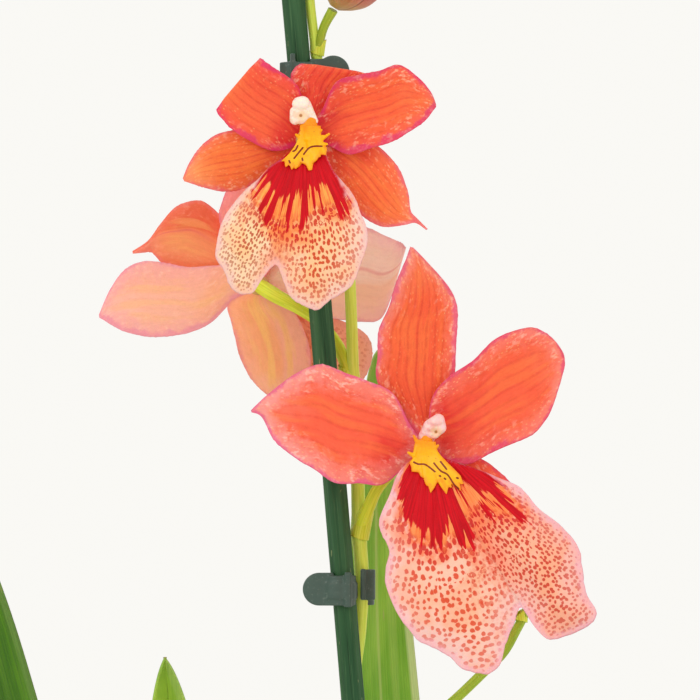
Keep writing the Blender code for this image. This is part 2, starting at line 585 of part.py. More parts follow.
def bloom_point(middle, x, y, z):
    return scaled((middle[0] + x, middle[1] + y, middle[2] + z))


def tepal_rows(stations, middle, rows, columns):
    """Points over a tepal: straight across in outline, and a bowl through its three depths."""
    grid = []
    for i in range(rows + 1):
        x_a, z_a, x_b, z_b, y_a, y_rib, y_b = spline_values(stations, i / rows)
        row = []
        for j in range(columns + 1):
            side = 2.0 * j / columns - 1.0
            f = (side + 1.0) / 2.0
            depth = y_a * side * (side - 1.0) / 2.0 + y_rib * (1.0 - side * side)
            depth += y_b * side * (side + 1.0) / 2.0
            row.append(bloom_point(middle, x_a + (x_b - x_a) * f, depth, z_a + (z_b - z_a) * f))
        grid.append(row)
    return grid


def make_tepals(name, tepals, middle, collection, material):
    bodies = []
    for tepal, stations in tepals.items():
        rows = tepal_rows(stations, middle, TEPAL_ROWS, TEPAL_COLUMNS)
        thing = add_object(name + "_" + tepal, grid_mesh(tepal, rows), collection)
        add_thickness(thing, TEPAL_THICKNESS)
        bodies.append(replace_by_mesh(thing, collection))
    bpy.ops.mesh.primitive_uv_sphere_add(
        segments=10, ring_count=6, radius=RECEPTACLE_RADIUS * MM,
        location=bloom_point(middle, 0.0, RECEPTACLE_DEPTH, 0.0))
    core = bpy.context.object
    core.name = name + "_receptacle"
    body = join_bodies(name, [replace_by_mesh(core, collection)] + bodies, collection, material)
    shade_round(body, 60.0)
    return body


def lip_ahead(distance, t, ripple):
    """How far a lip stands ahead of the receptacle's middle, at a distance from its root."""
    swell = LIP_SWELL * (1.0 - math.exp(-distance / LIP_SWELL_REACH))
    return LIP_ROOT_AHEAD + swell - LIP_DROOP * t ** 3 + ripple * t ** 4


def make_lip(name, margin, middle, facing, collection, material):
    columns = len(margin) - 1
    grid = []
    for i in range(LIP_RINGS + 1):
        t = i / LIP_RINGS
        row = []
        for j in range(columns + 1):
            s = j / columns
            rim_x, rim_z = spline_values(margin, s)
            root_x = LIP_ROOT_LEFT[0] + (LIP_ROOT_RIGHT[0] - LIP_ROOT_LEFT[0]) * s
            root_z = LIP_ROOT_LEFT[1]
            distance = math.hypot(rim_x - root_x, rim_z - root_z) * t
            ripple = LIP_RIPPLE * math.sin(2.0 * math.pi * LIP_RIPPLE_WAVES * s)
            ahead = lip_ahead(distance, t, ripple)
            y = RECEPTACLE_DEPTH - facing * ahead
            row.append(bloom_point(middle, root_x + (rim_x - root_x) * t, y,
                                   root_z + (rim_z - root_z) * t))
        grid.append(row)
    thing = add_object(name, grid_mesh(name, grid), collection, material)
    add_thickness(thing, LIP_THICKNESS)
    body = replace_by_mesh(thing, collection, material)
    shade_round(body, 60.0)
    return body


def make_callus(name, middle, facing, lean, collection, material):
    """The callus lies just ahead of the lip; lean moves its foot across, as the lip leans."""
    grid = []
    clear = 0.5 * (LIP_THICKNESS + CALLUS_THICKNESS) + CALLUS_GAP
    for half, z in CALLUS_ROWS:
        row = []
        for j in range(CALLUS_COLUMNS + 1):
            side = 2.0 * j / CALLUS_COLUMNS - 1.0
            x = side * half + lean * (1.1 - z)
            distance = math.hypot(x, min(z + 1.5, 0.0))
            ahead = lip_ahead(distance, 0.0, 0.0) + clear
            tooth = CALLUS_TOOTH * (j % 2) if (half, z) == CALLUS_ROWS[-1] else 0.0
            row.append(bloom_point(middle, x, RECEPTACLE_DEPTH - facing * ahead, z + tooth))
        grid.append(row)
    thing = add_object(name, grid_mesh(name, grid), collection, material)
    add_thickness(thing, CALLUS_THICKNESS)
    body = replace_by_mesh(thing, collection, material)
    shade_round(body)
    return body


def make_column(name, line, middle, facing, collection, material):
    path = [
        (middle[0] + x, middle[1] + RECEPTACLE_DEPTH - facing * ahead, middle[2] + z, radius)
        for x, ahead, z, radius in smooth_line(line, 6)
    ]
    body = tube(name, path, collection)
    body.data.materials.append(material)
    shade_round(body, 60.0)
    return body


def make_bloom(name, tepals, lip, column, middle, facing, lean, collection, materials):
    make_tepals(name + "_tepals", tepals, middle, collection, materials["tepal"])
    make_lip(name + "_lip", lip, middle, facing, collection, materials["lip"])
    make_callus(name + "_callus", middle, facing, lean, collection, materials["callus"])
    make_column(name + "_column", column, middle, facing, collection, materials["column"])


def aim(direction):
    """A rotation that turns +Z to a direction."""
    return Vector(direction).normalized().to_track_quat("Z", "Y").to_matrix().to_4x4()


def make_bud(name, base, direction, length, radius, collection, material):
    profile = [
        (0.0, length), (0.34 * radius, 0.97 * length), (0.72 * radius, 0.84 * length),
        (0.96 * radius, 0.62 * length), (radius, 0.42 * length), (0.84 * radius, 0.22 * length),
        (0.5 * radius, 0.07 * length), (0.16 * radius, 0.0), (0.0, 0.0),
    ]
    thing = turned(name, profile, 10, collection)
    thing.matrix_world = Matrix.Translation(scaled(base)) @ aim(direction)
    body = replace_by_mesh(thing, collection, material)
    shade_round(body, 60.0)
    return body


def make_bract(name, place, direction, length, radius, collection):
    bpy.ops.mesh.primitive_cone_add(
        vertices=8, radius1=radius * MM, radius2=0.3 * MM, depth=length * MM)
    thing = bpy.context.object
    thing.name = name
    lift = Matrix.Translation((0.0, 0.0, 0.5 * length * MM))
    thing.matrix_world = Matrix.Translation(scaled(place)) @ aim(direction) @ lift
    return replace_by_mesh(thing, collection)


def make_spike(collection, material):
    bodies = [tube("stem", smooth_line(STEM_LINE, STEM_RINGS), collection)]
    for name, line in SIDE_STEMS.items():
        bodies.append(tube(name, smooth_line(line, 2 * len(line) - 1), collection, 1))
    for i, (place, direction, length, radius) in enumerate(BRACTS):
        bodies.append(make_bract("bract_%d" % i, place, direction, length, radius, collection))
    body = join_bodies("flower_spike", bodies, collection, material)
    shade_round(body, 50.0)
    return body


def stake_body(name, extra, collection):
    """The stake as a tapered cane with flat sides, or a wider copy of it as a cutter."""
    line = smooth_line(STAKE_LINE, 15)
    rings = []
    for x, y, z in line:
        radius = STAKE_RADIUS * (1.03 - 0.00012 * z) + extra
        ring = []
        for k in range(STAKE_SIDES):
            angle = 2.0 * math.pi * k / STAKE_SIDES
            ring.append(scaled((x + radius * math.cos(angle), y + radius * math.sin(angle), z)))
        rings.append(ring)
    bm = bmesh.new()
    verts = [[bm.verts.new(p) for p in ring] for ring in rings]
    for low, high in zip(verts, verts[1:]):
        for k in range(STAKE_SIDES):
            n = (k + 1) % STAKE_SIDES
            bm.faces.new((low[k], low[n], high[n], high[k]))
    bm.faces.new(reversed(verts[0]))
    bm.faces.new(verts[-1])
    mesh = bpy.data.meshes.new(name)
    bm.to_mesh(mesh)
    bm.free()
    return add_object(name, mesh, collection)


def stake_middle(height):
    """Where the stake's middle line passes a height."""
    for low, high in zip(STAKE_LINE, STAKE_LINE[1:]):
        if low[2] <= height <= high[2]:
            f = (height - low[2]) / (high[2] - low[2])
            return low[0] + (high[0] - low[0]) * f
    raise ValueError("the height is off the stake")


def cylinder(name, x, y, z, radius, height, sides, collection):
    bpy.ops.mesh.primitive_cylinder_add(
        vertices=sides, radius=radius * MM, depth=height * MM, location=scaled((x, y, z)))
    thing = bpy.context.object
    thing.name = name
    return replace_by_mesh(thing, collection)


def box(name, low, high, collection):
    bpy.ops.mesh.primitive_cube_add(size=1.0)
    thing = bpy.context.object
    thing.name = name
    size = scaled(high) - scaled(low)
    middle = (scaled(high) + scaled(low)) / 2.0
    thing.matrix_world = Matrix.Translation(middle) @ Matrix.Diagonal((*size, 1.0))
    return replace_by_mesh(thing, collection)


def make_clip(name, height, stem, stem_radius, flap_side, collection, cutters, material):
    """A clip: a loop round the stake, a loop round the stem, a round-ended flap and a short tab."""
    x_stake = stake_middle(height)
    x_stem, y_stem = stem
    loop = STAKE_RADIUS + FIT_GAP + CLIP_WALL
    small_loop = stem_radius + FIT_GAP + CLIP_WALL
    low = height - CLIP_HEIGHT / 2.0
    high = height + CLIP_HEIGHT / 2.0
    bodies = [
        cylinder(name + "_loop", x_stake, 0.0, height - 0.3, loop, CLIP_HEIGHT - 0.8, 20, collection),
        cylinder(name + "_stem_loop", x_stem, y_stem, height, small_loop, CLIP_HEIGHT - 0.4, 16, collection),
    ]
    flap_y = -1.6 if flap_side < 0 else -0.6
    front = flap_y - 0.5 * CLIP_FLAP_THICKNESS
    back = flap_y + 0.5 * CLIP_FLAP_THICKNESS
    reach = CLIP_FLAP_REACH - 3.0 + (CLIP_LONG_FLAP if flap_side > 0 else 0.0)
    ends = sorted((x_stake + 2.2 * flap_side, x_stake + reach * flap_side))
    bodies.append(box(name + "_flap", (ends[0], front, low), (ends[1], back, high), collection))
    bpy.ops.mesh.primitive_cylinder_add(
        vertices=16, radius=0.5 * CLIP_HEIGHT * MM, depth=CLIP_FLAP_THICKNESS * MM,
        location=scaled((ends[0] if flap_side < 0 else ends[1], flap_y, height)),
        rotation=(math.pi / 2.0, 0.0, 0.0))
    bpy.context.object.name = name + "_flap_end"
    bodies.append(replace_by_mesh(bpy.context.object, collection))
    if flap_side < 0:
        tab_low = (x_stem + 0.4, y_stem - small_loop - 0.4, low + 0.9)
        tab_high = (x_stem + small_loop + 0.5, y_stem, high + 1.0)
    else:
        tab_low = (x_stake - loop - 0.4, -2.2, low + 0.3)
        tab_high = (x_stake - 1.6, -0.2, high - 1.8)
    bodies.append(box(name + "_tab", tab_low, tab_high, collection))
    body = join_bodies(name, bodies, collection, material)
    cut_away(body, cutters, cutters[0].users_collection[0])
    return body


def make_leaf_rows(points, turn, half_width, fold_base, fold_tip, rows):
    """A strap leaf: a V-folded blade that follows its middle line and draws to a point."""
    grid = []
    side_way = Vector((math.cos(math.radians(turn)), math.sin(math.radians(turn)), 0.0))
    for i in range(rows + 1):
        t = i / rows
        here = Vector(spline_values(points, t))
        ahead = Vector(spline_values(points, min(t + 0.02, 1.0)))
        behind = Vector(spline_values(points, max(t - 0.02, 0.0)))
        along = (ahead - behind).normalized()
        across = (side_way - along * side_way.dot(along)).normalized()
        up = across.cross(along)
        widen = min(1.0, 0.52 + 1.6 * t)
        taper = (1.0 - t ** 3.2) ** 0.66
        half = half_width * widen * taper
        fold = math.radians(fold_base + (fold_tip - fold_base) * min(1.0, 1.5 * t))
        row = []
        for j in range(LEAF_COLUMNS + 1):
            side = 2.0 * j / LEAF_COLUMNS - 1.0
            out = half * side * math.cos(fold)
            rise = half * abs(side) * math.sin(fold)
            row.append((here + across * out + up * rise) * MM)
        grid.append(row)
    return grid


def make_leaf(name, spec, collection, material, extra=0.0):
    """A leaf, or with extra a wider, thicker and deeper copy of it as a cutter."""
    points, turn, half_width, fold_base, fold_tip = spec
    foot = (points[0][0], points[0][1], points[0][2] - 2.0 * extra)
    rows = make_leaf_rows([foot] + points[1:], turn, half_width + 2.0 * extra, fold_base, fold_tip, LEAF_ROWS)
    thing = add_object(name, grid_mesh(name, rows), collection, material)
    add_thickness(thing, LEAF_THICKNESS + 2.0 * extra)
    body = replace_by_mesh(thing, collection, material)
    shade_round(body, 60.0)
    return body


def bulb_body(name, spec, extra, collection):
    """A flattened pseudobulb that narrows to its leaf-bearing top, or a wider copy of it."""
    x, y, turn, half_width, half_thickness, top = spec
    height = top - BULB_FOOT
    profile = [(0.0, height + extra)]
    for share, fullness in ((0.98, 0.16), (0.92, 0.30), (0.78, 0.56), (0.60, 0.82), (0.42, 0.97),
                            (0.26, 1.0), (0.12, 0.86), (0.02, 0.60)):
        profile.append((half_width * fullness + extra, height * share))
    profile.append((half_width * 0.5 + extra, -extra))
    profile.append((0.0, -extra))
    thing = turned(name, profile, 16, collection)
    flat = Matrix.Diagonal((1.0, (half_thickness + extra) / (half_width + extra), 1.0, 1.0))
    spin = Matrix.Rotation(math.radians(turn), 4, "Z")
    thing.matrix_world = Matrix.Translation(scaled((x, y, BULB_FOOT))) @ spin @ flat
    return replace_by_mesh(thing, collection)


def make_pot(collection, cutters, material):
    top_in = POT_TOP_RADIUS - RIM_STEP - POT_WALL
    foot_in = POT_FOOT_RADIUS - POT_WALL
    profile = [
        (0.0, POT_FLOOR),
        (foot_in, POT_FLOOR),
        (top_in, POT_HEIGHT),
        (POT_TOP_RADIUS, POT_HEIGHT),
        (POT_TOP_RADIUS - 0.4, POT_HEIGHT - RIM_HEIGHT),
        (POT_TOP_RADIUS - RIM_STEP - 1.6, POT_HEIGHT - RIM_HEIGHT - 1.0),
        (POT_FOOT_RADIUS, 1.2),
        (POT_FOOT_RADIUS - 1.2, 0.0),
        (0.0, 0.0),
    ]
    pot = replace_by_mesh(turned("pot", profile, POT_STEPS, collection), collection, material)
    drains = []
    for i in range(DRAIN_COUNT):
        angle = 2.0 * math.pi * (i + 0.3) / DRAIN_COUNT
        drains.append(cylinder("drain_%d" % i, DRAIN_RING_RADIUS * math.cos(angle),
                               DRAIN_RING_RADIUS * math.sin(angle), 0.5 * POT_FLOOR,
                               DRAIN_RADIUS, 3.0 * POT_FLOOR, 12, cutters))
    cut_away(pot, drains, cutters)
    shade_round(pot, 30.0)
    return pot


def make_medium(collection, cutters, material):
    """The bark medium: a plug that fills the pot, with chips raised from its top."""
    slope = (POT_TOP_RADIUS - RIM_STEP - POT_FOOT_RADIUS) / (POT_HEIGHT - POT_FLOOR)
    foot = POT_FOOT_RADIUS - POT_WALL - 2.0 * FIT_GAP
    edge = foot + slope * (MEDIUM_TOP - POT_FLOOR)
    profile = [
        (0.0, MEDIUM_TOP + MEDIUM_DOME),
        (0.5 * edge, MEDIUM_TOP + 0.8 * MEDIUM_DOME),
        (edge, MEDIUM_TOP),
        (foot, POT_FLOOR + FIT_GAP),
        (0.0, POT_FLOOR + FIT_GAP),
    ]
    bodies = [replace_by_mesh(turned("medium_plug", profile, 24, collection), collection)]
    draw = random.Random(CHIP_SEED)
    for i in range(CHIP_COUNT):
        reach = 4.0 + (edge - 15.0) * math.sqrt((i + 0.5) / CHIP_COUNT)
        angle = i * math.radians(GOLDEN_ANGLE)
        length, width, depth = (draw.uniform(*span) * MM for span in (CHIP_LENGTH, CHIP_WIDTH, CHIP_DEPTH))
        size = Matrix.Diagonal((length, width, depth, 1.0))
        spin = Matrix.Rotation(draw.uniform(0.0, math.pi), 4, "Z")
        tip = Matrix.Rotation(draw.uniform(-CHIP_TILT, CHIP_TILT), 4, "X")
        tip = tip @ Matrix.Rotation(draw.uniform(-CHIP_TILT, CHIP_TILT), 4, "Y")
        height = MEDIUM_TOP + draw.uniform(0.0, CHIP_LIFT)
        place = scaled((reach * math.cos(angle), reach * math.sin(angle), height))
        bpy.ops.mesh.primitive_cube_add(size=1.0)
        chip = bpy.context.object
        chip.name = "chip_%d" % i
        chip.matrix_world = Matrix.Translation(place) @ spin @ tip @ size
        bodies.append(replace_by_mesh(chip, collection))
    return join_bodies("bark_medium", bodies, collection, material)


def main():
    clear_scene()
    parts = new_collection("oncidium_orchid")
    cutters = new_collection("cutters")
    materials = {name: make_material(name) for name in COLOURS}

    make_bloom("upper_bloom", UPPER_TEPALS, UPPER_LIP, UPPER_COLUMN, UPPER_MIDDLE, 1, 0.0, parts, materials)
    make_bloom("lower_bloom", LOWER_TEPALS, LOWER_LIP, LOWER_COLUMN, LOWER_MIDDLE, 1, 0.35, parts, materials)
    make_bloom("back_bloom", BACK_TEPALS, BACK_LIP, UPPER_COLUMN, BACK_MIDDLE, -1, 0.2, parts, materials)
    make_spike(parts, materials["stem"])
    for i, (base, direction, length, radius) in enumerate(BUDS):
        make_bud("bud_%d" % (i + 1), base, direction, length, radius, parts, materials["bud"])

    stake = stake_body("stake", 0.0, parts)
    stake.data.materials.append(materials["stake"])
    stake_cutter = stake_body("stake_cutter", FIT_GAP, cutters)
    stem_cutter = tube("stem_cutter", smooth_line(STEM_LINE, STEM_RINGS), cutters, 2, STEM_CUT_GAP)
    medium_cutters = [stake_cutter, stem_cutter]
    for name, (height, stem, stem_radius, flap_side) in CLIPS.items():
        make_clip(name, height, stem, stem_radius, flap_side, parts, [stake_cutter, stem_cutter],
                  materials["clip"])

    medium = make_medium(parts, cutters, materials["medium"])
    for i, spec in enumerate(BULBS):
        bulb = bulb_body("pseudobulb_%d" % (i + 1), spec, 0.0, parts)
        bulb.data.materials.append(materials["bulb"])
        shade_round(bulb, 60.0)
        medium_cutters.append(bulb_body("bulb_cutter_%d" % (i + 1), spec, BULB_CUT_GAP, cutters))
    for name, spec in LEAVES.items():
        make_leaf(name, spec, parts, materials["leaf"])
        if spec[0][0][2] < MEDIUM_TOP:
            medium_cutters.append(make_leaf(name + "_cutter", spec, cutters, None, LEAF_CUT_GAP))
    cut_away(medium, medium_cutters, cutters)
    make_pot(parts, cutters, materials["pot"])


main()
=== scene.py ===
"""The looks of a potted oncidium orchid: blooms, spike, stake, leaves, bulbs, bark and pot round its fixed frame."""
import json
import math
import random

import bmesh
import bpy
import numpy as np
from mathutils import Matrix, Vector, noise

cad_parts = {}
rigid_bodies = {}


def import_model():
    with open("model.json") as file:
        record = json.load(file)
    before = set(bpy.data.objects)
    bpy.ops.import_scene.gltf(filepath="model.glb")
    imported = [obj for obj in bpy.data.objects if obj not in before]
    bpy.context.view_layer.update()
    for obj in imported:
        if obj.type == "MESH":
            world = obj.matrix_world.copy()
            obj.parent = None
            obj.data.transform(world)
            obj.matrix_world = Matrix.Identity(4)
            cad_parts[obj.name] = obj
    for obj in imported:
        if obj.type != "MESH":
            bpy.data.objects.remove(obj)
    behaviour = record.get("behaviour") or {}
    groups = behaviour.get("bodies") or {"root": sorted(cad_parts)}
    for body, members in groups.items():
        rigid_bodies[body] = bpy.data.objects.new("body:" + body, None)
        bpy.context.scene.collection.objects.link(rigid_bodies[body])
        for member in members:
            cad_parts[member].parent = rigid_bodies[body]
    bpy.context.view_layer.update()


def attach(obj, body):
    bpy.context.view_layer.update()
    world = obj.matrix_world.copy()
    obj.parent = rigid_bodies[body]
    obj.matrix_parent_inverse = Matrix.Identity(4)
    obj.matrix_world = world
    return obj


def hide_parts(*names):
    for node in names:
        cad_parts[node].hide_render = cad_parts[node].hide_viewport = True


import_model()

MM = 0.001
TAU = 2.0 * math.pi

# The camera looks level along +Y at the middle of the photograph's frame, which is 140 mm wide there
FRAME_MIDDLE = (-12.0, 430.0)
FRAME_WIDTH = 140.0
CAMERA_DISTANCE = 3000.0
SENSOR_WIDTH = 36.0

# Sizes shared with the solids, in millimetres
POT_HEIGHT = 108.0
POT_TOP_RADIUS = 60.0
POT_FOOT_RADIUS = 43.0
POT_WALL = 1.8
POT_FLOOR = 2.4
RIM_HEIGHT = 11.0
RIM_STEP = 1.6
DRAIN_COUNT = 6
DRAIN_RADIUS = 4.0
DRAIN_RING_RADIUS = 27.0
MEDIUM_TOP = 94.0
MEDIUM_DOME = 3.0
GOLDEN_ANGLE = 137.5
LEAF_THICKNESS = 0.9
STAKE_RADIUS = 2.4
CLIP_HEIGHT = 6.6
CLIP_WALL = 0.8
CLIP_FLAP_REACH = 8.2
CLIP_LONG_FLAP = 1.8
FIT_GAP = 0.3
RECEPTACLE_RADIUS = 2.3
RECEPTACLE_DEPTH = 1.2
LIP_ROOT_AHEAD = 2.8
LIP_SWELL = 5.5
LIP_SWELL_REACH = 6.0
LIP_DROOP = 3.2

# Middles of the blooms: across, depth (away from the viewer), height
UPPER_MIDDLE = (-20.8, -14.0, 472.0)
LOWER_MIDDLE = (3.0, -12.0, 410.6)
BACK_MIDDLE = (-30.4, 13.0, 443.0)

# A tepal is a row of stations from its base to its tip, in millimetres from the bloom's middle. A station
# holds one edge (across, height), the other edge (across, height) and three depths: edge, rib, edge.
UPPER_TEPALS = {
    "left_petal": [
        (-0.9, -0.2, -0.5, 1.6, 0.9, 0.9, 0.9),
        (-3.2, -1.4, -1.0, 5.0, 0.6, 0.6, 0.4),
        (-6.6, -1.7, -1.5, 9.2, 0.4, 0.2, -0.6),
        (-10.4, -0.6, -3.4, 12.0, -0.4, 0.2, -1.4),
        (-14.0, 1.4, -5.8, 13.8, -0.9, 0.0, -1.6),
        (-16.8, 4.2, -7.9, 15.2, -1.0, -0.4, -1.5),
        (-17.7, 5.6, -9.0, 16.0, -0.4, -0.4, -0.8),
        (-17.0, 6.6, -9.6, 15.2, 1.2, 1.0, 1.0),
        (-12.6, 9.8, -11.6, 11.0, 3.0, 3.2, 3.0),
    ],
    "right_petal": [
        (0.9, 0.0, 1.0, 1.8, 0.9, 0.9, 0.9),
        (4.6, -0.9, 3.4, 5.4, 0.6, 0.6, -0.4),
        (8.6, -2.4, 6.2, 10.6, -0.4, 0.6, -1.6),
        (12.8, -1.7, 10.4, 12.5, -1.4, 0.2, -1.8),
        (16.8, -0.7, 14.8, 13.6, -2.0, -0.4, -1.8),
        (20.4, 1.3, 18.6, 14.7, -2.2, -1.0, -1.6),
        (23.6, 3.5, 22.4, 12.2, -2.0, -1.6, -1.4),
        (25.2, 5.5, 24.8, 9.4, -1.6, -1.6, -1.2),
        (25.9, 6.4, 25.9, 7.0, -1.2, -1.2, -1.2),
    ],
    "dorsal_sepal": [
        (-0.7, 1.6, 1.2, 1.6, 1.4, 1.4, 1.4),
        (-0.6, 5.0, 3.2, 5.0, 2.4, 2.0, 2.2),
        (-1.0, 9.0, 6.0, 8.0, 2.8, 2.0, 2.6),
        (-2.9, 11.8, 9.6, 10.2, 2.6, 2.2, 3.0),
        (-2.6, 13.6, 12.0, 12.0, 2.4, 2.0, 3.0),
        (-1.2, 14.9, 12.6, 12.9, 2.8, 2.2, 3.4),
        (0.2, 14.6, 11.6, 12.6, 5.0, 4.6, 5.0),
        (3.4, 11.6, 7.4, 11.0, 7.0, 7.2, 7.0),
    ],
    "left_sepal": [
        (-1.2, -1.0, -1.2, 0.4, 1.5, 1.5, 1.5),
        (-4.4, -4.2, -5.0, 0.6, 2.4, 1.8, 2.2),
        (-8.4, -7.2, -9.6, 1.2, 2.6, 1.6, 2.6),
        (-12.4, -9.8, -14.0, 1.7, 2.2, 1.4, 2.8),
        (-16.4, -10.4, -17.8, 0.9, 1.6, 1.2, 2.6),
        (-20.0, -9.7, -21.0, -1.6, 1.0, 1.0, 2.2),
        (-22.6, -8.9, -23.2, -4.8, 0.8, 1.0, 1.6),
        (-24.2, -8.4, -24.5, -7.8, 0.8, 0.8, 0.8),
    ],
    "right_sepal": [
        (0.8, -1.2, 1.6, 0.0, 1.5, 1.5, 1.5),
        (4.0, -3.6, 6.0, 0.4, 2.6, 1.8, 2.4),
        (6.2, -7.8, 11.2, -0.2, 2.6, 1.8, 2.8),
        (8.8, -12.0, 15.4, -2.4, 2.6, 1.8, 2.8),
        (11.4, -15.4, 18.6, -6.0, 2.6, 1.8, 2.8),
        (15.4, -17.4, 20.3, -10.6, 2.4, 2.0, 2.6),
        (19.6, -17.1, 20.9, -14.2, 2.2, 2.2, 2.4),
        (21.8, -16.7, 22.0, -15.6, 2.0, 2.0, 2.0),
        (24.0, -18.1, 24.3, -17.9, 1.6, 1.6, 1.6),
    ],
}

LOWER_TEPALS = {
    "left_petal": [
        (-1.0, -0.6, -0.8, 1.2, 0.9, 0.9, 0.9),
        (-4.2, -3.4, -3.4, 4.4, 0.6, 0.6, 0.4),
        (-8.4, -6.4, -6.6, 9.8, 0.0, 0.4, -0.6),
        (-13.0, -6.7, -11.6, 12.8, -0.8, 0.2, -1.2),
        (-17.8, -7.1, -16.4, 15.0, -1.4, -0.2, -1.4),
        (-22.0, -4.4, -20.8, 16.5, -1.8, -0.8, -1.6),
        (-26.4, -1.7, -25.4, 14.9, -2.0, -1.4, -1.6),
        (-30.2, 1.6, -29.2, 12.3, -2.0, -1.8, -1.6),
        (-32.5, 6.0, -32.4, 9.6, -1.6, -1.8, -1.6),
        (-34.6, 7.0, -34.7, 7.4, -1.2, -1.2, -1.2),
    ],
    "right_petal": [
        (0.9, 0.0, 0.6, 1.8, 0.9, 0.9, 0.9),
        (4.0, -1.6, 1.4, 8.6, 0.6, 0.8, -0.2),
        (8.4, -2.4, 4.8, 13.0, 0.2, 0.6, -0.8),
        (12.8, -0.8, 9.6, 16.9, -0.6, 0.2, -1.4),
        (17.4, 0.8, 13.4, 21.2, -1.4, -0.4, -2.0),
        (21.6, 2.8, 17.6, 23.2, -2.0, -1.0, -2.4),
        (24.6, 6.6, 21.6, 23.8, -2.4, -1.6, -2.6),
        (26.4, 11.4, 25.0, 22.0, -2.6, -2.2, -2.6),
        (27.5, 15.2, 27.2, 19.2, -2.6, -2.4, -2.6),
        (27.8, 16.8, 27.7, 17.6, -2.5, -2.5, -2.5),
    ],
    "dorsal_sepal": [
        (-1.0, 1.6, 1.2, 1.6, 1.5, 1.5, 1.5),
        (-4.2, 6.6, 2.8, 7.6, 2.6, 1.8, 2.4),
        (-8.8, 13.0, 5.0, 13.6, 2.6, 1.6, 2.4),
        (-9.3, 18.4, 5.9, 19.0, 1.6, 1.6, 1.8),
        (-9.3, 23.2, 6.4, 24.6, 0.8, 1.8, 1.0),
        (-7.2, 28.0, 6.2, 28.6, 0.4, 2.0, 0.4),
        (-5.7, 33.0, 4.6, 32.0, 0.4, 2.0, 0.2),
        (-4.0, 37.0, 1.2, 36.0, 0.8, 1.8, 0.6),
        (-3.0, 40.0, -2.4, 39.8, 1.6, 1.6, 1.6),
    ],
    "left_sepal": [
        (-1.6, -0.4, -0.4, -1.4, 1.5, 1.5, 1.5),
        (-3.4, -4.6, 0.4, -5.0, 2.6, 2.0, 2.6),
        (-5.8, -10.0, 1.2, -11.0, 2.8, 2.2, 2.8),
        (-6.6, -15.6, 1.6, -17.2, 3.2, 2.4, 3.2),
        (-5.8, -21.0, 1.8, -22.0, 3.6, 2.8, 3.6),
        (-3.6, -25.2, 0.8, -25.6, 3.8, 3.4, 3.8),
        (-1.8, -28.0, -1.2, -28.0, 4.0, 4.0, 4.0),
    ],
    "right_sepal": [
        (0.6, -1.2, 1.4, -0.2, 1.5, 1.5, 1.5),
        (3.4, -5.6, 6.4, -1.6, 2.6, 2.0, 2.6),
        (7.0, -11.0, 11.6, -2.8, 3.0, 2.2, 3.0),
        (11.4, -15.6, 16.2, -6.2, 3.4, 2.6, 3.4),
        (16.0, -18.8, 19.4, -10.6, 3.8, 3.2, 3.8),
        (20.4, -20.4, 21.8, -15.6, 4.2, 4.0, 4.2),
        (23.6, -20.6, 23.8, -20.0, 4.6, 4.6, 4.6),
    ],
}

